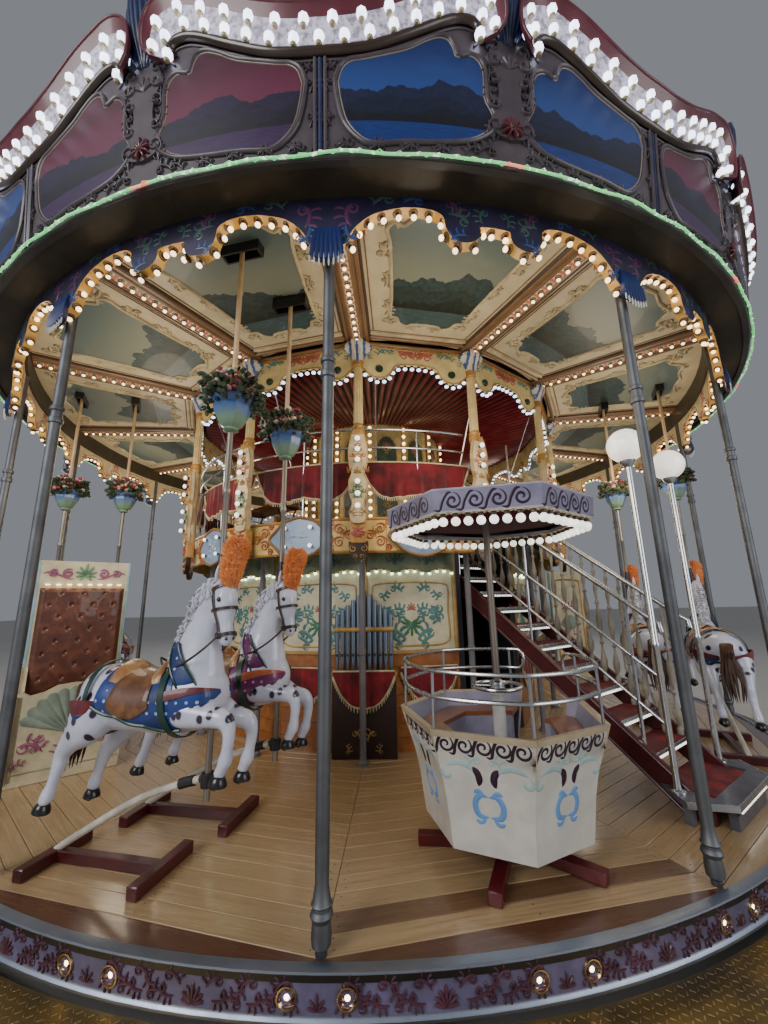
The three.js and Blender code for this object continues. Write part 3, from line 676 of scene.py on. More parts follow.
def show(name, form, finishes, body="turntable", replaces=(), crease=35):
    """One piece: doubles are welded, faces that shrink to a line are dropped, and the rest shaded smooth."""
    _, first, same = np.unique(np.round(form.points, 5), axis=0, return_index=True, return_inverse=True)
    faces = same.reshape(-1)[form.faces]
    kept = faces != np.roll(faces, -1, axis=1)
    whole = kept.sum(1) > 2
    faces, kept, uv = faces[whole], kept[whole], form.uv[whole]
    totals = kept.sum(1)
    mesh = bpy.data.meshes.new(name)
    mesh.vertices.add(len(first))
    mesh.vertices.foreach_set("co", form.points[first].astype(np.float32).ravel())
    mesh.loops.add(int(totals.sum()))
    mesh.loops.foreach_set("vertex_index", faces[kept].astype(np.int32))
    mesh.polygons.add(len(totals))
    mesh.polygons.foreach_set("loop_start", (np.cumsum(totals) - totals).astype(np.int32))
    mesh.polygons.foreach_set("loop_total", totals.astype(np.int32))
    mesh.polygons.foreach_set("material_index", form.marks[whole].astype(np.int32))
    mesh.uv_layers.new(name="UVMap").uv.foreach_set("vector", uv[kept].astype(np.float32).ravel())
    tone = mesh.attributes.new("tone", "FLOAT", "FACE")
    tone.data.foreach_set("value", form.tones[whole].astype(np.float32))
    mesh.update(calc_edges=True)
    mesh.validate()
    mesh.shade_smooth()
    mesh.set_sharp_from_angle(angle=math.radians(crease))
    piece = bpy.data.objects.new(name, mesh)
    for finish in finishes:
        mesh.materials.append(finish)
    bpy.context.scene.collection.objects.link(piece)
    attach(piece, body)
    if replaces:
        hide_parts(*replaces)
    return piece


# The finishes that several pieces share
brass_lamp = glow("warm_lamp", "ffd9a0", 4.5)
white_lamp = glow("white_lamp", "f4f0e4", 1.9)
blue_lamp = glow("cool_lamp", "cfe6ff", 3.0)
socket_finish = enamel("lamp_socket", "3a2c1c", 0.5)
gold = metal("gold_leaf", "c99a45", 0.34)
chrome = metal("chrome", "c9ccd1", 0.14)


def bulb(radius, long=1.3, sides=8):
    """A lamp that hangs down the -Z way from its socket: a collar, then a pear that closes in a round end."""
    swell = np.linspace(0.15, 1, 6) * math.pi
    glass = [(radius * math.sin(a), -radius * (0.9 + long * (1 - math.cos(a)) / 2 * 1.4)) for a in swell[:-1]]
    profile = [(0, 0.0), (radius * 0.62, 0.0), (radius * 0.62, -radius * 0.8)] + glass
    profile.append((0, -radius * (0.9 + long * 1.4)))
    return turned(profile, sides, [0, 0, 0] + [1] * 5)


def facing(normals, up=(0, 0, 1)):
    """Matrices that turn -Z to each normal."""
    back = -np.asarray(normals, float)
    back /= np.linalg.norm(back, axis=1, keepdims=True)
    side = np.cross(np.broadcast_to(np.asarray(up, float), back.shape), back)
    side /= np.linalg.norm(side, axis=1, keepdims=True) + 1e-9
    return np.stack([side, np.cross(back, side), back], axis=-1)


# Deck, rim and step

OUTER_CHORD = 4.893
BOARD_PITCH = 0.1395
BOARD_GAP = 0.004
BOARD_THICK = 0.03
INNER_CHORD = 2.38


def deck_board(number, dark, bay):
    """One board square to the bay's middle line. Each end lies on a seam; the outermost ends in the deck's
    arc.

    A point at the slope a from the middle line is at radius chord / cos(a), or at the deck's radius on the
    arc.
    """
    slope = np.linspace(-1, 1, 15 if number == 0 else 3)[:, None] * HALF_BAY
    inner = OUTER_CHORD - number * BOARD_PITCH
    outer = DECK_OUT if number == 0 else inner + BOARD_PITCH
    near = inner / np.cos(slope) + BOARD_GAP / 2
    far = (outer + 0 * slope if number == 0 else outer / np.cos(slope)) - BOARD_GAP / 2
    edge = 0.0025
    radius = np.concatenate([near, near, near + edge, far - edge, far, far, near], 1)
    height = np.array([[-BOARD_THICK, -edge, 0, 0, -edge, -BOARD_THICK, -BOARD_THICK]]) + 0 * slope
    seam = BOARD_GAP / 2 / radius
    angle = slope * (1 - seam / HALF_BAY)
    grid = ring(radius, angle, height)
    grid = np.concatenate([0 * grid[:1] + grid[0, :6].mean(0), grid, 0 * grid[:1] + grid[-1, :6].mean(0)])
    flat = np.concatenate([radius[:1], radius, radius[-1:]]), np.concatenate([angle[:1], angle, angle[-1:]])
    plank = bay * 31 + number
    uv = np.stack([plank + 0.5 + flat[0] * np.sin(flat[1]) / 8, flat[0] * np.cos(flat[1])], -1)
    return sheet(grid, 0, uv, dark).outward().at(spin(bay_middle(bay)))


def deck_boards():
    """The outermost board is red-brown in most bays, and one bay has a brown board further in."""
    count = int((OUTER_CHORD - INNER_CHORD) / BOARD_PITCH) + 1
    boards = []
    for bay in range(BAYS):
        for number in range(count):
            edge = number == 0 and bay != STAIR_BAY
            brown = bay in (0, 5, 9) and number == 2
            boards.append(deck_board(number, 0.92 if edge else 0.7 if brown else 0.0, bay))
    return join(boards)


def deck_nails():
    """Nail heads in pairs near each board's ends and at its middle."""
    head = turned([(0, 0.0006), (0.004, 0.0006), (0.005, -0.001), (0, -0.001)], 6)
    spots = []
    for number in range(1, 18):
        chord = OUTER_CHORD - (number - 0.5) * BOARD_PITCH
        reach = chord * math.tan(HALF_BAY) - 0.05
        for x in (-reach, 0.02, reach):
            spots += [(x, -chord - 0.035, DECK), (x, -chord + 0.035, DECK)]
    return around(copies(head, spots).at(spin(HALF_BAY)))


def deck_bed():
    """The dark floor under the boards, with the bearing ring round the hub."""
    return turned([(0.4, -0.0797), (0.6, -0.0797), (0.6, -0.06), (5.05, -0.06), (5.05, -0.0305),
                   (0.4, -0.0305), (0.4, -0.0797)], 112).at(shift=(0, 0, DECK))


def along_ring(radius, tilt=0.0, foot=0.0):
    """A place function: x runs along a ring, y is a height above the deck, and out is away from the axis."""
    def place(x, y, out):
        return ring(radius + out + (y - foot) * tilt, x / radius, y)
    return place


# The matrix that turns +Z to the outside
OUTWARD = np.array([[1, 0, 0], [0, 0, -1], [0, 1, 0]], float)
LAMP_OFF = 0.135
RIM_FACE = 5.093
LAMP_HIGH = -0.09


def rim_body():
    """Silver ledge, lilac face, black band and silver nosing, turned round the axis."""
    profile = [(5.0503, -0.185), (5.105, -0.185), (5.105, -0.172), (5.096, -0.163), (RIM_FACE, -0.155),
               (RIM_FACE, -0.034), (5.099, -0.032), (5.099, -0.006), (5.104, 0.0), (5.102, 0.009),
               (5.09, 0.012), (5.0503, 0.012), (5.0503, -0.185)]
    marks = [0, 0, 0, 0, 1, 2, 2, 0, 0, 0, 0, 0]
    return turned(profile, 168, marks).at(shift=(0, 0, DECK))


def rim_foliage():
    """Cast leaf scrolls between the lamps: mirrored rows of curling leaves about a shell."""
    place = along_ring(RIM_FACE)
    row = []
    for index, x in enumerate((0.06, 0.14, 0.22, 0.3, 0.38)):
        row += drawn(scroll_leaf(), x, -0.098 + 0.02 * (-1) ** index, 0.095, 0.3 * (-1) ** index)
        row += drawn(scroll_leaf(), x + 0.03, -0.1 - 0.018 * (-1) ** index, 0.085, -2.6, True)
    shell = drawn(palmette(7), 0, -0.145, 0.09)
    half = carving(shell + row + flip(row), 0.012, place)
    centre = HALF_BAY / 2
    small = carving(drawn(palmette(5), 0, -0.14, 0.07), 0.01, place)
    one = join([half.at(spin(centre)), small])
    return around(one, range(2 * BAYS), HALF_BAY)


def rim_lamps():
    """Reflector dishes with a bright lens, in pairs about each pole and each bay's middle."""
    dish = turned([(0, -0.012), (0.017, -0.012), (0.036, 0.0), (0.04, 0.007), (0.046, 0.006), (0.048, -0.004),
                   (0.046, -0.01), (0, -0.012)], 20, [1, 0, 0, 0, 0, 0, 0])
    lens = turned([(0, -0.002), (0.012, -0.004), (0.019, -0.0115), (0, -0.0118)], 14, 1)
    lamp = join([dish, lens]).at(OUTWARD)
    pair = []
    for off in (-LAMP_OFF, LAMP_OFF):
        angle = off / RIM_FACE
        pair.append(lamp.at(spin(angle), ring(RIM_FACE + 0.004, np.array(angle), LAMP_HIGH)))
    return around(join(pair), range(2 * BAYS), HALF_BAY)


def step_plate():
    """The step's top and skirt, turned as one plate; the UV is metres round and metres across."""
    profile = np.array([(5.13, -0.23), (5.13, -0.2), (5.612, -0.2), (5.62, -0.208), (5.62, -0.38),
                        (5.59, -0.38), (5.59, -0.23), (5.13, -0.23)])
    angle = np.linspace(0, 2 * math.pi, 169)
    grid = ring(profile[:, :1], angle[None], profile[:, 1:])
    across = np.concatenate([[0], np.cumsum(np.linalg.norm(np.diff(profile, axis=0), axis=1))])
    uv = np.stack(np.broadcast_arrays(angle[None] * 5.4, across[:, None]), -1)
    return sheet(grid, 0, uv).outward()


def tread_plate_finish():
    """Golden plate with raised lozenges laid in turn to the left and to the right, rubbed bright on top."""
    finish = Finish("tread_plate", Metallic=1.0)
    u, v, _ = finish.parts(finish.uv())
    cell_u, cell_v = u * 28, v * 28
    odd = (cell_u.floor() + cell_v.floor()).math("FLOORED_MODULO", 2)
    x = cell_u.fract() - 0.5
    y = cell_v.fract() - 0.5
    lean = odd * 2 - 1
    along = x + y * lean
    across = y * lean * -1 + x
    lug = 1 - ((along * 0.95).math("POWER", 2) + (across * 3.4).math("POWER", 2)).between(0.1, 0.34)
    dirt = finish.cloud(2.2, 5)
    base = finish.mix(dirt.between(0.35, 0.7), rgb("9c8450"), rgb("6f6250"))
    finish.set(Base_Color=finish.mix(lug * 0.55, base, rgb("d8c48c")))
    finish.set(Roughness=0.42 - lug * 0.16 + dirt * 0.18)
    finish.bump(lug, 0.004, 1.0)
    return finish.material


def rim_finishes():
    silver = metal("rim_silver", "9aa3b4", 0.3)
    lilac = enamel("rim_lilac", "605a78", 0.38, 0.3)
    black = enamel("rim_black", "17161a", 0.3)
    return [silver, lilac, black]


def deck_and_rim():
    """The planked deck, its lit rim and the step round it."""
    boards = varnished("deck_varnish", "b7986f", "582a18")
    show("deck_boards", deck_boards(), [boards], replaces=["lower_deck"])
    show("deck_bed", deck_bed(), [enamel("deck_under", "1d140d", 0.7)],
         replaces=["lower_deck"])
    show("deck_nails", deck_nails(), [metal("nail_iron", "4a4038", 0.5)])
    show("deck_rim_body", rim_body(), rim_finishes(), replaces=["deck_rim"])
    show("deck_rim_foliage", rim_foliage(), [enamel("rim_mauve", "54303f", 0.4, 0.35)])
    lens = glow("rim_lens", "ffd79c", 9.0)
    show("deck_rim_lamps", rim_lamps(), [metal("reflector", "c9b48a", 0.12), lens])
    show("step_plate", step_plate(), [tread_plate_finish()], "base", ["step_ring"])


# Outer poles and their shells


def outer_pole():
    """A turned foot, a thin tube with double collars, and a plain head behind the shell."""
    profile = [(0, SEAT), (0.028, SEAT), (0.03, 0.03), (0.046, 0.045), (0.05, 0.08), (0.044, 0.14),
               (0.05, 0.15), (0.056, 0.165), (0.05, 0.18), (0.044, 0.186), (0.044, 0.2), (0.052, 0.21),
               (0.044, 0.222), (0.034, 0.29), (0.036, 0.4), (0.036, 2.97), (0.046, 2.975), (0.05, 2.995),
               (0.046, 3.015), (0.038, 3.02), (0.038, 3.07), (0.047, 3.075), (0.05, 3.09), (0.046, 3.105),
               (0.036, 3.11), (0.036, 4.2597), (0, 4.2597)]
    return turned(profile, 16).at(shift=(0, -POLE_RING, DECK))


def shell():
    """A fluted drop under each pole's head: ribs that fan down from the top and end on an arc."""
    across = np.linspace(-1, 1, 57)[None]
    down = np.linspace(0, 1, 9)[:, None]
    ribs = 7
    flute = np.abs(np.cos(across * ribs * math.pi / 2))
    half = 0.085 + 0.03 * down
    drop = 0.24 + 0.035 * (1 - across ** 2)
    out = 5.083 + 0.03 * np.sin(down * math.pi * 0.6) + 0.014 * flute * down
    front = ring(out, across * half / 5.08, 4.02 - down * drop)
    back = ring(5.078 + 0 * out, across * half / 5.08, 4.02 - down * drop)
    return join([sheet(front, 0), sheet(back[:, ::-1], 0), sheet(np.stack([back[-1], front[-1]]), 0),
                 sheet(np.stack([front[0], back[0]]), 0), sheet(np.stack([back[:, 0], front[:, 0]])[::-1], 0),
                 sheet(np.stack([back[:, -1], front[:, -1]]), 0)])


def shell_tips():
    """White drops between the ribs."""
    drop = turned([(0, 0.05), (0.004, 0.02), (0.006, -0.03), (0.004, -0.055), (0, -0.06)], 6)
    across = np.linspace(-1, 1, 8)
    spots = ring(5.112, across * 0.108 / 5.08, 3.785 - 0.035 * (1 - across ** 2))
    return copies(drop, spots)


def poles():
    """The outer poles with the shells at their heads."""
    names = [f"outer_pole_{number}" for number in range(1, BAYS + 1)]
    finish = metal("pole_paint", "74767a", 0.46, 12, 0.6)
    show("outer_poles", around(outer_pole()), [finish], replaces=names)
    show("pole_shells", around(shell()), [enamel("shell_blue", "1d2c63", 0.35)])
    show("pole_shell_tips", around(shell_tips()), [enamel("shell_white", "d5d6d2", 0.4)])


# Valance and soffit

VALANCE_OUT = 5.077
VALANCE_IN = 4.998
# Lower edge from a pole to the middle of a bay: share of the bay, and height
VALANCE_EDGE = [(0, 3.87), (0.045, 3.88), (0.058, 3.936), (0.074, 4.0), (0.093, 4.05), (0.118, 4.1),
                (0.148, 4.136),
                (0.206, 4.174), (0.24, 4.183), (0.276, 4.184), (0.312, 4.17), (0.335, 4.14), (0.3425, 4.1),
                (0.344, 4.055), (0.356, 3.99), (0.377, 3.945), (0.404, 3.935), (0.43, 3.955), (0.446, 3.99),
                (0.451, 4.03), (0.4515, 4.071), (0.47, 4.08), (0.5, 4.084)]


def valance_line(steps=56):
    """The lower edge over one whole bay as (x along the ring, height)."""
    half = smooth_line(VALANCE_EDGE, steps)
    half[:, 0] = np.maximum.accumulate(half[:, 0]) * BAY * VALANCE_OUT
    other = half[::-1][1:] * [-1, 1] + [BAY * VALANCE_OUT, 0]
    return np.concatenate([half, other])


def valance_band():
    """A box section: indigo front, gilt underside along the scallops, cream back."""
    line = valance_line()
    angle = line[:, :1] / VALANCE_OUT
    low = line[:, 1:]
    top = SOFFIT - SEAT + 0 * low
    radius = np.array([[VALANCE_IN, VALANCE_OUT, VALANCE_OUT, VALANCE_IN, VALANCE_IN]])
    height = np.concatenate([top, top, low, low, top], 1)
    grid = ring(radius + 0 * angle, angle + 0 * radius, height)
    uv = np.stack(np.broadcast_arrays(line[:, :1], height), -1)
    return around(sheet(grid, np.array([0, 0, 1, 2])[None], uv))


def valance_bulbs():
    """Lamps spaced along the scallops, each square to the gilt strip; its dark ring lies round its foot."""
    line = valance_line(120)
    points, ways = spaced(line, 27, True)
    points += ways * 0.04
    angle = points[:, 0] / VALANCE_OUT
    spots = ring(5.036, angle, points[:, 1] - 0.001)
    inward = np.stack([ways[:, 1] * np.cos(angle), ways[:, 1] * np.sin(angle), -ways[:, 0]], -1)
    collar = turned([(0, 0.001), (0.033, 0.001), (0.033, -0.004), (0, -0.004)], 12, 2)
    return around(copies(join([bulb(0.021, 1.15), collar]), spots, facing(inward, (1, 0, 0.01))))


def painted_curls():
    """Curls painted on the valance's front, in three colours, mirrored about the bay's middle."""
    place = along_ring(VALANCE_OUT)
    full = BAY * VALANCE_OUT
    half = []
    for x, y, size, turn, over, mark in (
        (0.16, 4.02, 0.2, 1.35, False, 2), (0.12, 4.05, 0.16, 2.3, True, 0),
        (0.3, 4.19, 0.16, 0.25, False, 1),
        (0.5, 4.215, 0.15, 0.0, False, 0), (0.8, 4.15, 0.17, -0.6, False, 1),
        (0.86, 4.12, 0.16, -1.1, True, 2), (0.94, 3.99, 0.14, 0.6, True, 0), (1.05, 4.1, 0.13, 1.2, False, 1),
    ):
        half.append(carving(drawn(scroll_leaf(), x, y, size, turn, over), 0.002, place, mark))
    one = join(half)
    other = mirror(one).at(spin(full / VALANCE_OUT))
    return around(join([one, other]))


def inner_curls():
    """Red scroll lines on the cream back of the valance, seen across the rides."""
    def place(x, y, out):
        return ring(VALANCE_IN - out, x / VALANCE_OUT, y)
    line = valance_line(60)[6:-6]
    edge = line + [0, 0.045]
    leaves = leaf_group([(0.25, 4.02, 0.16, 1.2), (1.14, 4.14, 0.13, 1.57), (0.98, 4.03, 0.13, 1.0, True)])
    flipped = flip(leaves, BAY * VALANCE_OUT / 2)
    return around(carving([(edge, 0.016)] + leaves + flipped, 0.003, place))


def soffit_body():
    """A flat ring with an upstand along its inner edge."""
    profile = [(4.97, 4.26), (5.285, 4.26), (5.29, 4.265), (5.29, 4.29), (5.0, 4.29), (5.0, 4.498),
               (4.97, 4.498), (4.97, 4.26)]
    return turned(profile, 168).at(shift=(0, 0, DECK))


ROPE_R = 5.37
ROPE_HIGH = 4.245


def rope_light():
    """A light rope along the soffit's edge with a thin strand wound round it; its sag is a sum of slow
    waves."""
    angle = np.linspace(0, 2 * math.pi, 841)[:-1]
    sag = 0.006 * np.sin(angle * 53) + 0.005 * np.sin(angle * 31 + 1)
    core = ring(ROPE_R - 0.002 + 0.004 * np.sin(angle * 67), angle, ROPE_HIGH + sag)
    rope = tube(core, 0.0095, 6, loop=True)
    winding = angle * 290
    strand = ring(ROPE_R + 0.013 * np.cos(winding), angle, ROPE_HIGH + sag + 0.013 * np.sin(winding))
    return join([rope, tube(strand, 0.0035, 4, loop=True)])


def rope_finish():
    """Green light that turns to red by the middle of each bay, with white sparks."""
    finish = Finish("rope_light", Roughness=0.3, Emission_Strength=1.3, Base_Color=rgb("a8e0b0"))
    x, y, _ = finish.parts(finish.spot())
    angle = x.math("ARCTAN2", y * -1)
    middle = ((angle / BAY).fract() - 0.5).size()
    red = 1 - middle.between(0.02, 0.035)
    spark = finish.cloud(26, 2).between(0.56, 0.64)
    colour = finish.mix(spark, rgb("3fae5a"), rgb("e8fbe6"))
    finish.set(Emission_Color=finish.mix(red, colour, rgb("e84838")))
    return finish.material


def valance_and_soffit():
    """The scalloped valance with its lamps, and the soffit over it."""
    indigo = enamel("valance_indigo", "262140", 0.4, 0.3)
    gilt = enamel("valance_gilt", "e0b25c", 0.35)
    back = enamel("valance_cream", "d9c7a0")
    show("valance_band", valance_band(), [indigo, gilt, back], replaces=["valance"],
         crease=50)
    rings = enamel("socket_ring", "53381a", 0.5)
    show("valance_bulbs", valance_bulbs(), [socket_finish, brass_lamp, rings])
    curls = [enamel("curl_blue", "2f4a86"), enamel("curl_green", "3b5a52"), enamel("curl_magenta", "5d3055")]
    show("valance_curls", painted_curls(), curls)
    show("valance_back_curls", inner_curls(), [enamel("curl_red", "a3442e")])
    soffit = enamel("soffit_brown", "38301f", 0.55, 0.3, 0.1)
    show("soffit_body", soffit_body(), [soffit], replaces=["soffit_ring"])
    show("soffit_rope_light", rope_light(), [rope_finish()])


# Filled shapes and places


def patch(outline, centre, place, out=0.004, thick=0.006, mark=0, steps=4, tone=0.5):
    """A thin plate inside a closed outline seen whole from its centre; the UV runs 0 to 1 over its box."""
    outline = np.asarray(outline, float)
    outline = np.concatenate([outline, outline[:1]])
    share = np.concatenate([np.linspace(0, 1, steps + 1), [1, 0]])[:, None, None]
    flat = np.asarray(centre) + (outline - centre)[None] * share
    depth = np.concatenate([np.full(steps + 1, out), [out - thick] * 2])[:, None]
    grid = place(flat[..., 0], flat[..., 1], depth + 0 * flat[..., 0])
    low, high = outline.min(0), outline.max(0)
    return sheet(grid, mark, (flat - low) / (high - low), tone).outward()


def both_sides(half):
    """A closed outline from its right half, which starts and ends on the middle line."""
    half = np.asarray(half, float)
    return np.concatenate([half, half[::-1][1:-1] * [-1, 1]])


def capped(grid):
    """A row of sections with both end sections drawn to their middle points."""
    return np.concatenate([0 * grid[:1] + grid[0].mean(0), grid, 0 * grid[:1] + grid[-1].mean(0)])


def capped_columns(grid):
    """The same for closed sections that stand in the grid's columns."""
    ends = [0 * grid[:, :1] + grid[:-1, column].mean(0) for column in (0, -1)]
    return np.concatenate([ends[0], grid, ends[1]], 1)


def rail(line, profile, place, mark=0, loop=False):
    """A moulding: a profile of (across, out) points carried along a line on a surface."""
    line = np.asarray(line, float)
    along = np.roll(line, -1, 0) - np.roll(line, 1, 0) if loop else np.gradient(line, axis=0)
    along /= np.linalg.norm(along, axis=1, keepdims=True) + 1e-12
    square = np.stack([-along[:, 1], along[:, 0]], -1)
    profile = np.asarray(profile, float)
    profile = np.concatenate([profile, profile[:1]])
    if loop:
        line, square = np.concatenate([line, line[:1]]), np.concatenate([square, square[:1]])
    flat = line[:, None] + square[:, None] * profile[None, :, :1]
    grid = place(flat[..., 0], flat[..., 1], profile[None, :, 1] + 0 * flat[..., 0])
    if not loop:
        grid = capped(grid)
    if np.ndim(mark):
        mark = np.asarray(mark)[None]
    return sheet(grid, mark).outward()


ROUND = [(-0.5, 0), (-0.46, 0.3), (-0.25, 0.52), (0, 0.6), (0.25, 0.52), (0.46, 0.3), (0.5, 0)]


def round_rail(line, wide, place, mark=0, loop=False, out=0.0):
    """A half-round moulding, raised by what it stands out."""
    return rail(line, [(x * wide, y * wide + out) for x, y in ROUND], place, mark, loop)


def fan(place, foot, head, half, ribs, swell, depth=0.02):
    """A ribbed shell or plume: its half width and its swell are given from the foot (0) to the head (1)."""
    across = np.linspace(-1, 1, ribs * 6 + 1)[None]
    rise = np.linspace(0, 1, 13)[:, None]
    flute = np.abs(np.cos(across * ribs * math.pi / 2)) ** 0.7
    wide = np.interp(rise, np.linspace(0, 1, len(half)), half)
    out = np.interp(rise, np.linspace(0, 1, len(swell)), swell)
    top = head - (head - foot) * 0.28 * across ** 2 * (rise > 0.5) * (rise - 0.5) * 2
    y = foot + (top - foot) * rise
    bulge = out * (1 - 0.6 * across ** 2) + 0.016 * flute * np.sqrt(rise)
    front = place(across * wide, y + 0 * across, bulge)
    back = place(across * wide, y + 0 * across, bulge * 0 - depth)
    ends = []
    for column in (0, -1):
        wall = np.stack([back[:, column], front[:, column]])
        ends.append(sheet(wall if column else wall[::-1]))
    return join([sheet(np.concatenate([back[::-1], front, back[-1:]]))] + ends)


def flat_bay(distance, lean=0.0, foot=0.0):
    """A place function on a bay's straight side: x from its middle, y above the deck, out from the axis."""
    def place(x, y, out):
        reach = distance + (y - foot) * lean + out
        return upright(x, -reach, y)
    return place


def every_bay(form, bays=range(BAYS)):
    """A form drawn about angle 0, repeated at the middle of each bay."""
    return around(form.at(spin(HALF_BAY)), bays)


def landscape(name, sky, haze, far, near, water, dim):
    """A painted view of layered hills over a lake; each bay's tone moves the hills along, so no two agree."""
    finish = Finish(name, Coat_Weight=0.15)
    u, v, _ = finish.parts(finish.uv())
    shift = finish.tone() * 37
    cloud = finish.cloud(1.0, 5, finish.vector(u * 2.2, v * 4.5, shift))
    colour = finish.mix(v.between(0.45, 1.0), rgb(haze), rgb(sky))
    colour = finish.mix(cloud.between(0.52, 0.72) * 0.55, colour, rgb(haze))
    for index, (foot, tall, wave) in enumerate(((0.5, 0.34, 2.2), (0.4, 0.26, 3.4), (0.3, 0.2, 5.5))):
        crest = finish.cloud(1.0, 4, finish.vector(u * wave, shift + index * 5.3, 0.0))
        hill = ((crest - 0.5) * tall * 2 + foot) > v
        grain = finish.cloud(9, 4, finish.vector(u * 3, v * 3, shift)).between(0.35, 0.7)
        base = tuple(np.asarray(rgb(far)) * (1 - index / 2) + np.asarray(rgb(near)) * index / 2)
        colour = finish.mix(hill, colour, finish.mix(grain, base, shade(base, 0.55)))
    ripple = finish.cloud(8, 3, finish.vector(u * 1.4, v * 14, shift))
    lake = v < 0.2
    colour = finish.mix(lake, colour, finish.mix(ripple.between(0.4, 0.66), rgb(water),
                                                 shade(rgb(water), 1.7)))
    trees = finish.cloud(22, 3, finish.vector(u * 1.2, v * 0.5, shift))
    shore = ((trees - 0.5) * 0.22 + 0.24) > v
    colour = finish.mix(shore * (1 - lake * 0.999), colour, shade(rgb(near), 0.42))
    finish.set(Base_Color=finish.tint(1.0, colour, (dim, dim, dim)), Roughness=0.4)
    finish.bump(finish.cloud(60, 3), 0.0008, 0.4)
    return finish.material


# Rounding boards: x runs from a pole round the board, and y is a height above the deck

BOARD_R = 5.4
BOARD_BAY = BAY * BOARD_R
BOARD_FOOT = 4.235
# Share of a bay from a pole, and height
MOULDING = [(0, 4.975), (0.07, 4.98), (0.14, 5.01), (0.21, 5.08), (0.26, 5.14), (0.317, 5.215), (0.36, 5.257),
            (0.395, 5.258), (0.414, 5.225), (0.417, 5.18), (0.405, 5.14)]
CREST = [(0, 5.2), (0.07, 5.205), (0.15, 5.25), (0.22, 5.325), (0.28, 5.4), (0.342, 5.46), (0.39, 5.5),
         (0.43, 5.49), (0.465, 5.42), (0.479, 5.3), (0.476, 5.17), (0.455, 5.07)]
BODY_TOP = [(0, 5.02), (0.14, 5.06), (0.26, 5.19), (0.34, 5.3), (0.42, 5.33), (0.5, 5.33)]
PICTURE = [(0.037, 4.77), (0.05, 4.87), (0.075, 4.92), (0.12, 4.94), (0.218, 5.01), (0.27, 5.085),
           (0.31, 5.13),
           (0.338, 5.12), (0.352, 5.06), (0.362, 5.0), (0.397, 5.025), (0.424, 4.99), (0.436, 4.9),
           (0.437, 4.72),
           (0.459, 4.6), (0.45, 4.5), (0.41, 4.42), (0.366, 4.385), (0.288, 4.36), (0.21, 4.35),
           (0.136, 4.33), (0.1, 4.36), (0.062, 4.47), (0.045, 4.62)]
PICTURE_MIDDLE = (0.25 * BOARD_BAY, 4.7)


def board_place(x, y, out):
    return ring(5.335 + (y - BOARD_FOOT) * 0.1 + out, x / BOARD_R, y)


def board_line(points, steps=None):
    line = np.asarray(points, float) if steps is None else smooth_line(points, steps)
    return line * [BOARD_BAY, 1]


def both_halves(form):
    """A half board's form and its mirror image about the bay's middle, for all bays."""
    return around(join([form, mirror(form).at(spin(BAY))]))


def board_body():
    """The plain leaning board with a square lower edge."""
    line = board_line(BODY_TOP, 24)
    foot = np.full(len(line), BOARD_FOOT)
    x = line[:, :1]
    height = np.stack([foot, line[:, 1], line[:, 1], foot, foot], 1)
    out = np.array([[0, 0, -0.045, -0.045, 0]]) + 0 * x
    return both_halves(sheet(board_place(x + 0 * out, height, out), np.array([0, 0, 1, 1])[None]).outward())


def strip_point(share, steps=64):
    """A point line on the lit strip: share 0 lies on the moulding and 1 on the crest."""
    low, high = board_line(MOULDING, steps), board_line(CREST, steps)
    return low + (high - low) * share


def strip_out(share):
    return 0.028 + 0.085 * share ** 1.7


def board_strip():
    """The lit cove over the moulding: cream with a painted glow below, and burgundy towards the crest."""
    shares = np.array([0, 0.22, 0.42, 0.7, 0.74, 0.88, 1.0])
    flat = np.stack([strip_point(share) for share in shares])
    grid = board_place(flat[..., 0], flat[..., 1], strip_out(shares)[:, None] + 0 * flat[..., 0])
    behind = board_place(flat[..., 0], flat[..., 1], strip_out(shares)[:, None] - 0.03 + 0 * flat[..., 0])
    grid = np.concatenate([grid, behind[::-1], grid[:1]])
    end = [grid[:, :1] * 0 + grid[:, column].mean(0) for column in (0, -1)]
    grid = np.concatenate([end[0], grid, end[1]], 1)
    marks = [0, 0, 0, 1, 1, 1, 1] + [1] * 7
    return both_halves(sheet(grid, np.array(marks)[:, None]).outward())


def led_lamp():
    """An upright faceted lamp on a leaved collar."""
    glass = [(0, 0.078), (0.02, 0.073), (0.034, 0.054), (0.035, 0.034), (0.024, 0.012), (0.01, 0.002)]
    collar = [(0.01, 0.002), (0.022, -0.008), (0.012, -0.02), (0, -0.02)]
    return turned(glass + collar[1:], 8, [0] * 5 + [1] * 3)


def board_lamps():
    """Two staggered rows of upright lamps on the strip."""
    spots = []
    for share, first in ((0.62, 1), (0.24, 0)):
        line, _ = spaced(strip_point(share, 120), 17)
        line = line[first::2]
        spots.append(board_place(line[:, 0], line[:, 1] - 0.03, strip_out(np.float64(share)) + 0.008))
    half = copies(led_lamp(), np.concatenate(spots))
    return both_halves(half)


def board_pictures():
    """Two painted panels to a bay."""
    outline = board_line(PICTURE)
    panels = []
    for bay in range(BAYS):
        form = patch(outline, PICTURE_MIDDLE, board_place, 0.008, 0.01, 0, 5, bay / BAYS)
        other = mirror(form).at(spin(BAY)).toned((bay + 0.5) / BAYS)
        panels += [form.at(spin(bay * BAY)), other.at(spin(bay * BAY))]
    return [join(panels[index] for index in range(2 * BAYS) if index // 2 % 2 == odd) for odd in (0, 1)]


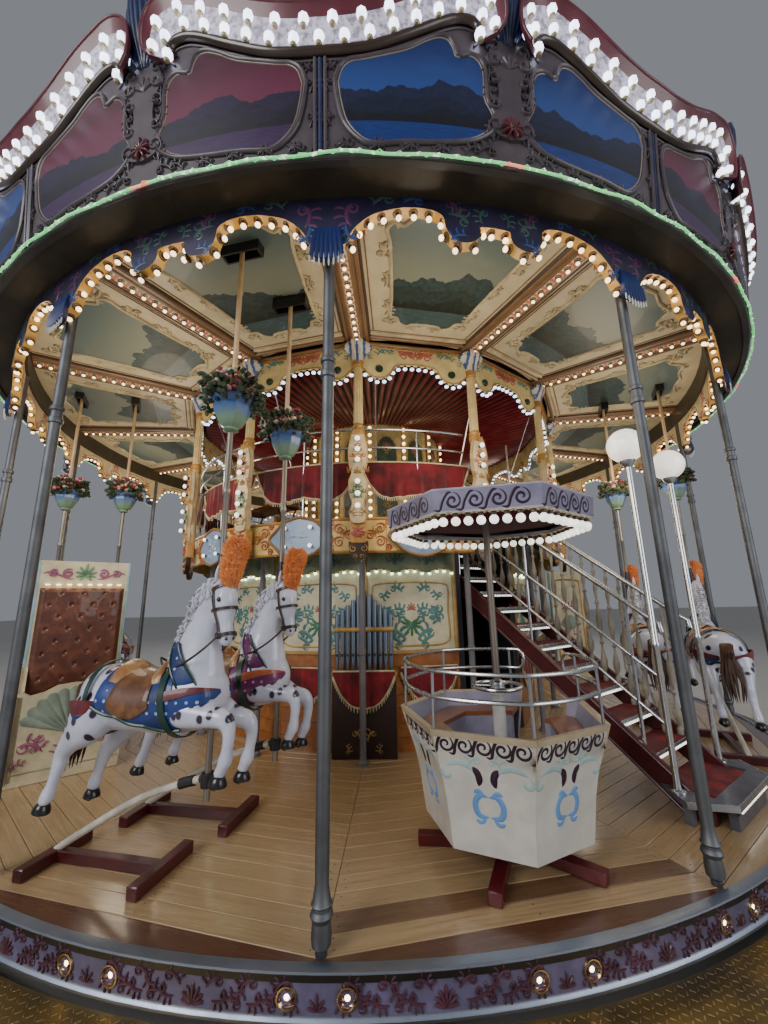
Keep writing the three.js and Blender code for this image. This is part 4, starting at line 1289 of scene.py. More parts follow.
def board_frames():
    """The panels' frames and the carved scrolls round them."""
    outline = board_line(smooth_line(PICTURE + PICTURE[:1], 90))[:-1]
    forms = [round_rail(outline, 0.03, board_place, 0, True, 0.004)]
    inner = PICTURE_MIDDLE
    shrunk = (outline - inner) * 0.955 + inner
    forms.append(round_rail(shrunk, 0.01, board_place, 1, True, 0.006))
    leaves = leaf_group([
        (0.1, 4.285, 0.1, 0.1), (0.2, 4.3, 0.1, -0.1, True), (0.3, 4.285, 0.1, 0.1),
        (0.4, 4.3, 0.1, -0.1, True),
        (0.5, 4.285, 0.1, 0.1), (0.6, 4.3, 0.1, -0.1, True), (0.7, 4.285, 0.1, 0.1),
        (0.8, 4.3, 0.1, -0.1, True),
        (0.9, 4.3, 0.12, 0.3), (0.98, 4.32, 0.14, 0.1), (0.06, 4.36, 0.1, 1.5, True), (0.07, 4.46, 0.1, 1.5),
        (0.06, 4.58, 0.1, 1.5, True), (0.07, 4.7, 0.1, 1.5), (0.1, 4.93, 0.09, -2.4), (1.09, 4.42, 0.13, 0.8),
        (1.12, 4.56, 0.13, 1.6, True), (1.11, 4.7, 0.13, 1.5), (1.1, 4.86, 0.14, 1.3),
        (1.1, 5.0, 0.12, 2.4, True),
    ])
    forms.append(carving(leaves, 0.018, board_place, 0))
    return both_halves(join(forms))


def board_mouldings():
    """The wavy moulding over the pictures with a thin one under it, the crest's lip and a line along the
    foot."""
    line = board_line(MOULDING, 60)
    thick = round_rail(line, 0.056, board_place, 0, out=0.012)
    thin = round_rail(line - [0, 0.048], 0.014, board_place, 1, out=0.002)
    lip = round_rail(board_line(CREST, 60), 0.02, raised(board_place, strip_out(1.0) - 0.006), 2)
    foot = np.stack([np.linspace(0, BOARD_BAY / 2, 24), np.full(24, 4.252)], -1)
    return both_halves(join([thick, thin, lip, round_rail(foot, 0.022, board_place, 1)]))


def mid_board(x, y, out):
    """On a board, with x from the bay's middle."""
    return board_place(x + BOARD_BAY / 2, y, out)


def cartouche():
    """The carved piece between the two panels: a tall shield with curled sides and a flower at its foot."""
    half = [(0, 4.44), (0.1, 4.47), (0.14, 4.56), (0.1, 4.64), (0.075, 4.78), (0.1, 4.9), (0.14, 5.0),
            (0.12, 5.1), (0.06, 5.15), (0, 5.17)]
    outline = both_sides(smooth_line(half, 40))
    forms = [patch(outline, (0, 4.78), mid_board, 0.02, 0.03, 0)]
    sides = []
    for y, size, lead, hand in ((4.52, 0.055, -1.2, 1), (4.68, 0.045, 1.0, -1), (4.86, 0.045, -1.0, 1),
                                (5.0, 0.055, 1.2, -1), (5.1, 0.045, -0.6, 1)):
        sides.append((curl((0.105, y), size, lead, 1.3, hand, 20), 0.02))
    forms.append(paired(sides, 0.02, raised(mid_board, 0.014), 0))
    face = raised(mid_board, 0.02)
    forms.append(carving(drawn(palmette(9, 2.6), 0, 4.5, 0.1), 0.03, face, 2))
    forms.append(carving(drawn(palmette(5, 1.0), 0, 4.95, 0.12), 0.014, face))
    return around(join(forms))


def board_plume():
    """A fluted plume that stands over the boards at each bay's middle."""
    half = [0.05, 0.1, 0.128, 0.135, 0.135, 0.13, 0.11]
    swell = [0.03, 0.05, 0.075, 0.09, 0.1, 0.1, 0.08]
    return around(fan(mid_board, 5.13, 5.72, half, 7, swell))


def board_joint():
    """A blue reed in a split pilaster over each pole."""
    strips = []
    for x, wide, mark in ((0, 0.03, 1), (0.032, 0.022, 0), (-0.032, 0.022, 0)):
        line = np.stack([np.full(2, x), np.array([4.26, 4.93])], -1)
        strips.append(round_rail(line, wide, board_place, mark, out=0.004 + 0.008 * (mark == 0)))
    tops = [(curl((0.045, 4.9), 0.03, 2.5, 1.2, -1, 16), 0.014)]
    strips.append(paired(tops, 0.012, board_place))
    return around(join(strips))


def strip_painted_glow():
    """Cream paint with a painted glow: a weak emission that stands in for the light of the lamps that stand
    on it.
    """
    finish = Finish("strip_cream_painted_glow", Roughness=0.5, Emission_Strength=0.55)
    cloud = finish.cloud(34, 3)
    finish.set(Base_Color=finish.mix(cloud.between(0.4, 0.65), rgb("bcb6c0"), rgb("8f8896")))
    # Painted glow: the paint gives off a weak light of its own in place of the lamps' light falling on it.
    finish.set(Emission_Color=finish.mix(cloud.between(0.4, 0.7), rgb("b4aec4"), rgb("454052")))
    return finish.material


def rounding_boards():
    """The boards, their lit strip and lamps, the pictures and all the carving."""
    mauve = enamel("board_mauve", "4a4047", 0.42, 0.3)
    dull = enamel("board_back", "33302f", 0.6)
    show("board_body", board_body(), [mauve, dull], replaces=["rounding_boards"])
    burgundy = enamel("board_burgundy", "5d2530", 0.35)
    show("board_strip", board_strip(), [strip_painted_glow(), burgundy],
         replaces=["rounding_boards"])
    lamp = glow("led_lamp", "dfe7ff", 4.5)
    show("board_lamps", board_lamps(), [lamp, enamel("led_collar", "b5a67e", 0.3)],
         crease=25)
    cool, warm = board_pictures()
    blue = landscape("board_view_blue", "142a6e", "2f55a4", "1d2650", "10142a", "16347a", dim=0.62)
    red = landscape("board_view_red", "4a1028", "7a2a4c", "2c1c46", "181226", "3a1c4c", dim=0.62)
    show("board_pictures_blue", cool, [blue], crease=20)
    show("board_pictures_red", warm, [red], crease=20)
    line_gold = enamel("board_line", "8a7a6a", 0.4)
    show("board_frames", board_frames(), [mauve, line_gold])
    brown = enamel("board_brown", "3b2a22", 0.25, 0.3, 0.5)
    show("board_mouldings", board_mouldings(), [brown, mauve, burgundy], crease=60)
    show("board_cartouches", cartouche(), [mauve, brown, burgundy])
    blue_paint = enamel("plume_blue", "1c2a52", 0.35, 0.35)
    show("board_plumes", board_plume(), [blue_paint], crease=70)
    show("board_joints", board_joint(), [mauve, blue_paint])


# Ceiling over the rides: x runs across a bay, and y is the distance out from the axis

HORSES = [(13, 4.56, 2.5), (13, 3.89, 4.2), (2, 4.56, 2.5), (2, 3.89, 7.0),
          (6, 4.56, 2.5), (6, 3.89, 4.2), (11, 4.56, 2.5), (11, 3.89, 4.2)]
RIB_LAMPS = 17
RIB_FIRST, RIB_LAST = 3.2, 4.9


def ceiling_height(radius):
    return 4.58 - (radius - 3.085) * 0.08 / 1.885


def ceiling_place(x, y, out):
    """On the sloping ceiling; out points down."""
    return upright(x, -np.asarray(y), ceiling_height(np.hypot(x, y)) - out)


def ceiling_field():
    profile = [(3.085, 4.58), (4.97, 4.5), (4.97, 4.525), (3.085, 4.605), (3.085, 4.58)]
    return turned(profile, 112).at(shift=(0, 0, DECK))


def ceiling_rib():
    """A moulding with dark outer edges and a pale lit strip down its middle."""
    half = [(0.162, 0), (0.162, 0.014), (0.146, 0.022), (0.134, 0.018), (0.122, 0.032), (0.098, 0.036),
            (0.09, 0.026), (0.076, 0.026), (0.068, 0.04), (0.048, 0.044), (0.038, 0.034)]
    marks = [1, 1, 1, 0, 0, 1, 0, 0, 0, 0]
    profile = half + [(-x, y) for x, y in half[::-1]]
    line = np.stack([np.zeros(2), np.array([3.09, 4.965])], -1)
    return around(rail(line, profile, ceiling_place, marks + [2] + marks[::-1] + [0]))


def rib_finish():
    """White paint with a red patch half way between each two lamps."""
    finish = Finish("rib_strip", Roughness=0.4)
    x, y, _ = finish.parts(finish.spot())
    radius = (x * x + y * y).math("SQRT")
    pitch = (RIB_LAST - RIB_FIRST) / (RIB_LAMPS - 1)
    middle = (((radius - RIB_FIRST) / pitch).fract() - 0.5).size()
    cloud = finish.cloud(30, 3)
    red = 1 - middle.between(0.12, 0.2)
    finish.set(Base_Color=finish.mix(red, rgb("e8e0d0"), finish.mix(cloud, rgb("b5553c"), rgb("d08a70"))))
    return finish.material


def rib_lamps():
    radius = np.linspace(RIB_FIRST, RIB_LAST, RIB_LAMPS)
    dish = turned([(0, 0.004), (0.03, 0.004), (0.03, -0.006), (0.024, -0.008), (0, -0.004)], 12, [2, 2, 2, 2])
    return around(copies(join([bulb(0.019, 1.1), dish]),
                         ceiling_place(0 * radius, radius, 0.036 + 0 * radius)))


# The picture's outline, from the inner edge to the outer one, on one side of a bay
VIEW_EDGE = [(0, 3.43), (0.14, 3.42), (0.2, 3.38), (0.29, 3.42), (0.33, 3.5), (0.4, 3.52), (0.425, 3.62),
             (0.45, 3.8),
             (0.55, 4.25), (0.6, 4.45), (0.645, 4.56), (0.6, 4.64), (0.52, 4.62), (0.45, 4.7), (0.38, 4.78),
             (0.2, 4.76), (0, 4.8)]


def ceiling_views():
    outline = both_sides(smooth_line(VIEW_EDGE, 60))
    one = patch(outline, (0, 4.1), ceiling_place, 0.008, 0.01, 0, 5)
    bays = np.arange(BAYS)
    return copies(one, np.zeros((BAYS, 3)), spin(bay_middle(bays)), bays / BAYS)


def ceiling_frames():
    """Each picture's frame: a cream bead, and cream leaf scrolls over a wider grey-green plate that is
    painted shade round their relief.
    """
    outline = both_sides(smooth_line(VIEW_EDGE, 60))
    bead = round_rail(outline, 0.034, ceiling_place, 0, True, 0.004)
    leaves = leaf_group([
        (0.36, 3.36, 0.15, 0.5), (0.47, 3.52, 0.15, 1.5), (0.52, 3.74, 0.14, 1.35, True),
        (0.55, 3.92, 0.13, 1.35),
        (0.6, 4.1, 0.14, 1.3, True), (0.64, 4.28, 0.14, 1.35), (0.69, 4.42, 0.16, 1.4, True),
        (0.74, 4.66, 0.2, 2.7),
        (0.66, 4.78, 0.17, 3.3, True), (0.42, 4.82, 0.14, 3.0), (0.2, 3.33, 0.12, 0.1, True),
        (0.05, 3.36, 0.1, 0.3),
    ])
    # The wider, lower strokes are painted shade: a grey-green plate that stands for the shadow round each
    # carved leaf.
    shadow = carving([(line, wide * 2.8) for line, wide in leaves], 0.003, ceiling_place, 1)
    carved = carving([(line, wide * 1.5) for line, wide in leaves], 0.018, ceiling_place, 0)
    half = join([shadow, carved])
    return every_bay(join([bead, half, mirror(half)]))


def ceiling_edges():
    """Straight mouldings along the inner end of each panel, and a bead beside each rib."""
    forms = []
    for y, wide, mark in ((3.12, 0.05, 1), (3.19, 0.03, 0), (3.235, 0.016, 1)):
        reach = y * math.tan(HALF_BAY) - 0.14
        forms.append(round_rail(np.array([(-reach, y), (reach, y)]), wide, ceiling_place, mark))
    side = np.array([(3.25 * math.tan(HALF_BAY) - 0.2, 3.25), (4.93 * math.tan(HALF_BAY) - 0.2, 4.93)])
    bead = round_rail(side, 0.014, ceiling_place, 1)
    return every_bay(join(forms + [bead, mirror(bead)]))


def horse_angle(bay, past):
    """A horse's place round the deck: so many degrees past its bay's middle."""
    return bay_middle(bay) + math.radians(past)


def pole_slots():
    """Black frames in the ceiling, open below, in which the horses' poles slide."""
    forms = []
    for bay, radius, past in HORSES:
        walls = []
        for low, high in (((-0.17, -0.05), (0.17, -0.036)), ((-0.17, 0.036), (0.17, 0.05)),
                          ((-0.17, -0.036), (-0.15, 0.036)), ((0.15, -0.036), (0.17, 0.036))):
            walls.append(block((*low, 4.42), (*high, 4.53), 0.003))
        angle = horse_angle(bay, past)
        forms.append(join(walls).at(spin(angle), ring(radius, np.array(angle), 0)))
    return join(forms)


def ceiling():
    """The ceiling over the rides with its ribs, lamps, pictures and pole slots."""
    field = enamel("ceiling_cream", "d8cba9", 0.42, 0.12, 0.15)
    show("ceiling_field", ceiling_field(), [field], replaces=["ride_ceiling"])
    brown = enamel("moulding_brown", "8a6a4a", 0.35)
    dark = enamel("moulding_dark", "4e3a2b", 0.4)
    show("ceiling_ribs", ceiling_rib(), [brown, dark, rib_finish()],
         replaces=["ride_ceiling"])
    dish = enamel("lamp_dish", "6b5a48", 0.3)
    show("ceiling_lamps", rib_lamps(), [socket_finish, brass_lamp, dish])
    view = landscape("ceiling_view", "5b7377", "8f9684", "415656", "2b3a30", "3a5153", dim=0.9)
    show("ceiling_views", ceiling_views(), [view], crease=20)
    leaf = enamel("ceiling_leaf", "d2c39c", 0.38, 0.3)
    # Grey-green painted shade for the plate under the carved leaves.
    painted_shade = enamel("ceiling_painted_shade", "7d7c68", 0.5, 0.3)
    show("ceiling_frames", ceiling_frames(), [leaf, painted_shade])
    show("ceiling_edges", ceiling_edges(), [leaf, brown])
    show("pole_slots", pole_slots(), [enamel("slot_black", "121212", 0.5)])


# Upper storey: columns, beam, rails, drapes and fascia


def column_place(x, y, out):
    return ring(COLUMN_RING + out, np.asarray(x) / COLUMN_RING, y)


def fluted(profile, ribs, depth, sides):
    """A turned profile whose radius dips between its ribs."""
    profile = np.asarray(profile, float)
    angle = np.linspace(0, 2 * math.pi, sides + 1)[None]
    radius = profile[:, :1] * (1 - depth * np.abs(np.sin(ribs * angle / 2)) ** 0.5 * (profile[:, :1] > 0.03))
    grid = np.stack(np.broadcast_arrays(radius * np.cos(angle), radius * np.sin(angle), profile[:, 1:]), -1)
    return sheet(grid).outward()


def column_shaft():
    low = turned([(0, 3.4), (0.06, 3.4), (0.07, 3.44), (0.06, 3.48), (0.068, 3.5), (0.055, 3.53), (0, 3.53)],
                 16, 1)
    high = turned([(0, 4.22), (0.055, 4.22), (0.066, 4.24), (0.06, 4.27), (0.07, 4.3), (0, 4.3)], 16, 1)
    shaft = fluted([(0, 3.52), (0.053, 3.52), (0.05, 4.23), (0, 4.23)], 12, 0.14, 48)
    return join([shaft, low, high]).at(shift=(0, -COLUMN_RING, DECK))


def column_head():
    """A shell of blue and white ribs that opens upwards under the beam's top."""
    half = [0.05, 0.065, 0.085, 0.11, 0.14, 0.165, 0.16]
    swell = [0.065, 0.07, 0.08, 0.095, 0.11, 0.12, 0.11]
    form = fan(column_place, 4.28, 4.545, half, 5, swell, depth=0.0)
    x = form.points[form.faces].mean(1)[:, 0]
    share = np.abs(np.sin(x / 0.1 * math.pi * 1.25))
    return Form(form.points, form.faces, form.uv, (share > 0.55).astype(int), form.tones)


LAMP_BODY = [(0, 2.4), (0.07, 2.42), (0.085, 2.52), (0.062, 2.62), (0.088, 2.72), (0.096, 2.86),
             (0.066, 2.95), (0.09, 3.02), (0.102, 3.2), (0.078, 3.34), (0.052, 3.42), (0, 3.45)]


def column_lamp_body():
    """The carved casing round a column's lamps: orange scrolls above and green ones below."""
    core = turned([(0, 2.35), (0.06, 2.35), (0.066, 2.6), (0.05, 2.94), (0.066, 3.2), (0.05, 3.43),
                   (0, 3.43)], 14)
    core = core.at(shift=(0, -COLUMN_RING, DECK))
    outline = both_sides(smooth_line(LAMP_BODY, 44))
    plate = patch(outline, (0, 2.95), column_place, 0.075, 0.05, 0)
    face = raised(column_place, 0.073)
    forms = [core, plate, round_rail(outline, 0.012, face, 1, True)]
    for y, size, turn, over, mark in (
        (3.06, 0.12, 1.2, False, 2), (3.28, 0.1, 1.5, True, 2), (2.98, 0.08, -0.4, False, 1),
        (2.66, 0.12, 1.2, False, 3), (2.86, 0.1, 1.5, True, 3), (2.46, 0.1, 0.9, False, 1),
    ):
        forms.append(paired(drawn(scroll_leaf(), 0.045, y, size, turn, over), 0.014, face, mark))
    for y, size in ((3.38, 0.1), (2.94, 0.07)):
        forms.append(carving(drawn(palmette(5), 0, y, size), 0.02, face, 1))
    return join(forms)


def column_lamps():
    heights = np.array([3.32, 3.2, 3.08, 2.84, 2.71, 2.58])
    spots = column_place(0 * heights, heights, 0.078 + 0 * heights)
    turns = facing(np.tile([0.0, -1.0, 0.0], (6, 1)))
    return copies(bulb(0.03, 1.1, 10), spots, turns)


def column_pendant():
    """A gold block on the fascia with a dark scrolled drop below it."""
    box = block((-0.085, -COLUMN_RING - 0.06, DECK + 2.2), (0.085, -COLUMN_RING + 0.05, DECK + 2.42), 0.012)
    face = raised(column_place, 0.058)
    half = [(0, 2.0), (0.05, 2.03), (0.09, 2.1), (0.1, 2.18), (0.09, 2.22), (0, 2.23)]
    drop = patch(both_sides(smooth_line(half, 24)), (0, 2.12), column_place, 0.05, 0.06, 1)
    rose = carving(drawn(palmette(9, 2.9), 0, 2.31, 0.085), 0.024, face, 2)
    sides = drawn(scroll_leaf(), 0.03, 2.24, 0.09, 0.9)
    curls = [(curl((0.055, 2.14), 0.04, 1.6, 1.3, -1, 18), 0.014),
             (curl((0.03, 2.06), 0.025, -1.0, 1.2, 1, 14), 0.01)]
    return join([box, drop, rose, paired(sides, 0.016, face, 2),
                 paired(curls, 0.016, raised(face, -0.01), 0)])


BEAM_FACE = COLUMN_RING * math.cos(HALF_BAY)
HALF_CHORD = COLUMN_RING * math.sin(HALF_BAY)
# Lower edge of the beam from a bay's middle to a column: x and height
BEAM_EDGE = [(0, 4.325), (0.12, 4.32), (0.22, 4.3), (0.27, 4.26), (0.3, 4.2), (0.35, 4.15), (0.42, 4.125),
             (0.5, 4.13), (0.57, 4.17), (0.62, 4.22), (0.675, 4.24)]


def beam_line(steps=40):
    half = smooth_line(BEAM_EDGE, steps)
    return np.concatenate([half[::-1] * [-1, 1], half[1:]])


def beam():
    """A scalloped board from column to column."""
    line = beam_line()
    x = line[:, :1]
    top = 4.575 + 0 * x
    height = np.concatenate([line[:, 1:], top, top, line[:, 1:], line[:, 1:]], 1)
    out = np.array([[0, 0, -0.04, -0.04, 0]]) + 0 * x
    place = flat_bay(BEAM_FACE + 0.012)
    board = sheet(capped(place(x + 0 * out, height, out))).outward()
    edge = round_rail(line, 0.018, place, 1)
    top_line = np.array([(-HALF_CHORD, 4.55), (HALF_CHORD, 4.55)])
    cornice = round_rail(top_line, 0.045, place, 2)
    thin = round_rail(top_line - [0, 0.045], 0.02, place, 1)
    return every_bay(join([board, edge, cornice, thin]))


def beam_paint():
    """Pink leaves about the middle, blue-green curls beside them, and dark round rosettes."""
    place = flat_bay(BEAM_FACE + 0.012)
    pink = leaf_group([(0.0, 4.38, 0.2, 0.15), (0.2, 4.41, 0.2, -0.1, True), (0.08, 4.46, 0.14, -0.2),
                       (0.03, 4.47, 0.12, 0.7, True)])
    green = leaf_group([(0.3, 4.42, 0.16, 0.3), (0.46, 4.4, 0.14, -0.5, True), (0.56, 4.34, 0.11, 0.9),
                        (0.36, 4.46, 0.11, 0.1, True)])
    rosette = turned([(0, 0.024), (0.012, 0.03), (0.02, 0.018), (0.036, 0.026), (0.046, 0.012),
                      (0.046, -0.004), (0, -0.004)], 14, 2)
    spots = place(np.array([-0.44, 0.44]), np.array([4.235, 4.235]), np.array([0.0, 0.0]))
    forms = [paired(pink, 0.008, place, 0), paired(green, 0.008, place, 1),
             copies(rosette.at(OUTWARD), spots)]
    return every_bay(join(forms))


def beam_lamps():
    points, _ = spaced(beam_line(60), 20)
    x, y = points[1:-1].T
    return every_bay(copies(bulb(0.026, 1.0, 9), flat_bay(BEAM_FACE)(x, y - 0.002, -0.012 + 0 * x)))


RAIL_R = 2.93
RAIL_MIDDLE, RAIL_TOP = 3.315, 3.535


def upper_rails():
    """Two chrome rails round the balcony, open at the stair, with posts and slanting stays."""
    angle = np.linspace(2.05 * BAY, 14.95 * BAY, 260)
    forms = [tube(ring(RAIL_R, angle, height), 0.014, 8) for height in (RAIL_MIDDLE, RAIL_TOP)]
    for bay in range(2, 16):
        at = np.array([bay_middle(bay)])
        post = np.concatenate([ring(RAIL_R, at, 2.46), ring(RAIL_R, at, RAIL_TOP)])
        stay = np.concatenate([ring(2.9, at - 0.16, 4.2), ring(2.3, at - 0.16, 2.8)])
        forms += [tube(post, 0.011, 6, (1, 0.3, 0)), tube(stay, 0.008, 6, (1, 0.2, 0.1))]
    return join(forms)


DRAPE_R = 2.962
DRAPE_TOP = 3.15
CLOTH_THICK = 0.0025


def drape_low(share):
    """Two swags to a bay: the hem falls from each end and rises a little in the middle."""
    end = np.abs(share)
    fall = 1 - np.clip((end - 0.55) / 0.45, 0, 1) ** 2.4
    return 3.12 - 0.36 * fall - 0.035 * np.sin(np.clip(end / 0.9, 0, 1) * math.pi) ** 2


def drape_grid(inner, steps=150):
    """Cloth gathered on the rail: pleats open towards the hem as a sum of three waves."""
    share = np.linspace(-0.985, 0.985, steps)[None]
    down = np.linspace(0, 1, 22)[:, None]
    height = DRAPE_TOP + (drape_low(share) - DRAPE_TOP) * down
    wave = np.sin(share * 31 + 0.6 * down) * 0.6 + np.sin(share * 17 + 1.3) * 0.5 + np.sin(share * 53) * 0.2
    pull = np.sin(down * math.pi * 0.62) * (1 - np.abs(share) ** 3)
    radius = DRAPE_R - 0.026 - inner + 0.027 * wave * (0.35 + 0.65 * down) * (0.3 + 0.7 * pull)
    return ring(radius, share * HALF_BAY * 0.985, height)


def drape():
    """The cloth and the same cloth a little further in, closed along its top, hem and ends."""
    return hung(drape_grid(0.0), drape_grid(CLOTH_THICK))


def hung(outer, inner):
    """A closed cloth between two grids of the same shape, its ends drawn together."""
    grid = np.concatenate([outer, inner[::-1], outer[:1]])
    ends = [(end + end[::-1]) / 2 for end in (grid[:, :1], grid[:, -1:])]
    return sheet(np.concatenate([ends[0], grid, ends[1]], 1)).outward()


def drape_fringe():
    """A cream band along the top, a braid on the hem, and threads that hang from it."""
    grid = drape_grid(0.0)
    top = tube(grid[0] + [0, 0, -0.008], 0.009, 6)
    hem = tube(grid[-1], 0.008, 6)
    line, _ = spaced(grid[-1], 75)
    thread = turned([(0, 0.004), (0.0055, 0.0), (0.0065, -0.022), (0.003, -0.04), (0, -0.042)], 5)
    return join([top, hem, copies(thread, line)])


def drapes():
    """The balcony's drapes, one to a bay except at the stair."""
    cloth = velvet("drape_velvet", "78101e", "3e0610")
    fringe = enamel("fringe_cream", "cdbf98", 0.7, 0.3, 0.0)
    grid = drape_grid(0.0)
    for bay in CLOSED_BAYS:
        turn = spin(bay_middle(bay))
        trim = show(f"drape_fringe_{bay + 1}", drape_fringe().at(turn), [fringe])
        piece = show(f"drape_{bay + 1}", drape().at(turn), [cloth],
                     replaces=["balcony_drapes"])


def fascia_place(x, y, out):
    return ring(FASCIA_OUT + out, np.asarray(x) / FASCIA_OUT, y)


def fascia_body():
    """The painted band round the upper floor, with a gold lip above and below; it stops at the stair."""
    profile = np.array([(2.9655, 2.11), (2.9955, 2.11), (3.006, 2.125), (2.9955, 2.14), (2.9955, 2.46),
                        (3.008, 2.475), (2.9955, 2.495), (2.9655, 2.495), (2.9655, 2.11)])
    angle = np.linspace(STAIR_ANGLE + 0.19, STAIR_ANGLE + 2 * math.pi - 0.19, 169)
    grid = capped_columns(ring(profile[:, :1], angle[None], profile[:, 1:]))
    return sheet(grid, np.array([1, 1, 1, 0, 1, 1, 1, 1])[:, None]).outward()


CARD = [(0, 2.07), (0.1, 2.09), (0.2, 2.13), (0.28, 2.2), (0.36, 2.29), (0.28, 2.38), (0.2, 2.46), (0.1, 2.5),
        (0, 2.52)]


def fascia_cards():
    """A pale blue pointed card at each bay's middle, framed in brown with white blossoms on it."""
    outline = both_sides(smooth_line(CARD, 40))
    card = patch(outline, (0, 2.3), fascia_place, 0.03, 0.035, 0)
    face = raised(fascia_place, 0.028)
    edge = round_rail(outline, 0.034, face, 1, True)
    petals = []
    for x, y, size in ((0, 2.3, 0.035), (-0.07, 2.33, 0.028), (0.07, 2.27, 0.028), (0.05, 2.35, 0.022),
                       (-0.05, 2.25, 0.022)):
        petals += drawn(palmette(6, 2.6), x, y, size)
    twig = [(bezier([(-0.13, 2.28), (-0.05, 2.36), (0.05, 2.24), (0.13, 2.32)], 14), 0.008)]
    return join([card, edge, carving(petals, 0.008, face, 2), carving(twig, 0.005, face, 3)])


def fascia_roses():
    """Orange scroll roses on both sides of each card."""
    forms = []
    for x, y, size in ((0.45, 2.37, 0.055), (0.45, 2.23, 0.055), (0.56, 2.3, 0.05), (0.37, 2.44, 0.035),
                       (0.37, 2.16, 0.035)):
        lines = [(curl((x, y), size, 0.8, 1.7, 1, 26, 0.12), 0.016),
                 (curl((x, y), size * 1.25, 3.6, 0.5, -1, 12, 0.8), 0.012)]
        forms.append(paired(lines, 0.014, fascia_place, 0))
    leaves = leaf_group([(0.46, 2.3, 0.12, 0.2), (0.5, 2.3, 0.1, -0.4, True)])
    return join(forms + [paired(leaves, 0.01, fascia_place, 1)])


def fascia_lamps():
    spots = fascia_place(np.array([-0.15, 0.15, -0.15, 0.15]), np.array([2.4, 2.4, 2.2, 2.2]),
                         np.full(4, 0.032))
    return copies(bulb(0.024, 1.0, 9), spots, facing(np.tile([0.0, -1.0, 0.0], (4, 1))))


PLEATS = 14 * 10
CANOPY_IN = 1.182


def pleat_finish():
    """Satin in pleats: red on the folds, and near black painted shade in the hollows between them."""
    finish = Finish("pleat_burgundy", Coat_Weight=0.5, Coat_Roughness=0.2)
    x, y, _ = finish.parts(finish.spot())
    turn = x.math("ARCTAN2", y * -1) * (PLEATS / (2 * math.pi))
    # Painted shade: 0 on the fold nearest the floor and 1 in the hollow between two folds, where the colour
    # goes near black.
    painted_shade = (turn.fract() - 0.5).size() * 2
    cloud = finish.cloud(5, 4)
    lit = finish.mix(cloud.between(0.35, 0.7), rgb("7c1c2a"), rgb("8f3a3c"))
    finish.set(Base_Color=finish.mix(painted_shade.between(0.2, 0.8), lit, rgb("1d0509")),
               Roughness=0.25 + cloud * 0.2)
    finish.bump(finish.cloud(80, 2), 0.0006, 0.4)
    return finish.material


def canopy_spots():
    """Pleats that fan from the drum to the beam: the sheet's height follows a folded wave."""
    share = np.linspace(0, 1, 7)[:, None]
    angle = np.linspace(0, 2 * math.pi, PLEATS * 4 + 1)[None]
    fold = np.abs(np.mod(angle * PLEATS / (2 * math.pi), 1) - 0.5) * 2
    edge = sided(3.03, angle) - 0.012
    radius = CANOPY_IN + (edge - CANOPY_IN) * share
    low = 4.38 + 0.105 * share + 0.05 * fold * (0.5 + 0.5 * share) - 0.03 * np.sin(share * math.pi)
    return ring(radius, angle, low)


def canopy():
    """The pleated sheet and the same sheet 4 mm higher, closed at both edges."""
    low = canopy_spots()
    high = low + np.array([0, 0, 0.004])
    return sheet(np.concatenate([low, high[::-1], low[:1]])).outward()


def upper_floor():
    """Everything on the balcony's edge, from the columns and their beam down to the fascia."""
    pale = enamel("column_yellow", "dcc48a", 0.35)
    gilt = enamel("column_gilt", "b98a45", 0.32, 0.35)
    show("column_shafts", around(column_shaft()), [pale, gilt],
         replaces=["inner_colonnade"])
    blue = enamel("head_blue", "3a63a8", 0.3)
    white = enamel("head_white", "e2ddd0", 0.3)
    show("column_heads", around(column_head()), [blue, white], crease=70)
    orange = enamel("scroll_orange", "c06a3a", 0.35, 0.3)
    green = enamel("scroll_green", "4a7a56", 0.35, 0.3)
    casing = enamel("casing_cream", "d0bd92", 0.35)
    show("column_lamp_casings", around(column_lamp_body()), [casing, gilt, orange, green],
         replaces=["inner_colonnade"])
    show("column_lamps", around(column_lamps()), [socket_finish, white_lamp])
    dark = enamel("pendant_dark", "33241a", 0.35, 0.3)
    rose = enamel("rose_pink", "b8655a", 0.35, 0.3)
    show("column_pendants", around(column_pendant()), [gilt, dark, rose],
         replaces=["inner_colonnade"])
    yellow = enamel("beam_yellow", "e8d69c", 0.35)
    brown = enamel("beam_brown", "8a6238", 0.35)
    show("beam", beam(), [yellow, gilt, brown], replaces=["inner_colonnade"])
    deep = enamel("rosette_green", "183a2a", 0.3)
    show("beam_paint", beam_paint(), [rose, enamel("beam_leaf", "5d8f8a", 0.35), deep])
    show("beam_lamps", beam_lamps(), [socket_finish, blue_lamp])
    show("upper_rails", upper_rails(), [chrome], replaces=["balcony_rails"])
    drapes()
    band = enamel("fascia_gold", "d8b76e", 0.35)
    show("fascia_body", fascia_body(), [band, gilt], replaces=["upper_fascia"])
    card = enamel("card_blue", "8299b6", 0.3)
    petal = enamel("card_petal", "eef0ee", 0.4)
    twig = enamel("card_twig", "3a4038", 0.5)
    show("fascia_cards", every_bay(fascia_cards(), CLOSED_BAYS), [card, brown, petal, twig])
    show("fascia_roses", every_bay(fascia_roses(), CLOSED_BAYS), [orange, gilt])
    show("fascia_lamps", every_bay(fascia_lamps(), CLOSED_BAYS), [socket_finish, white_lamp])
    pleats = show("canopy_pleats", canopy(), [pleat_finish()], replaces=["upper_canopy"],
                  crease=20)
    spots = canopy_spots()


# Horses, each drawn about its pole: x forwards, -y to the outside, z above the deck


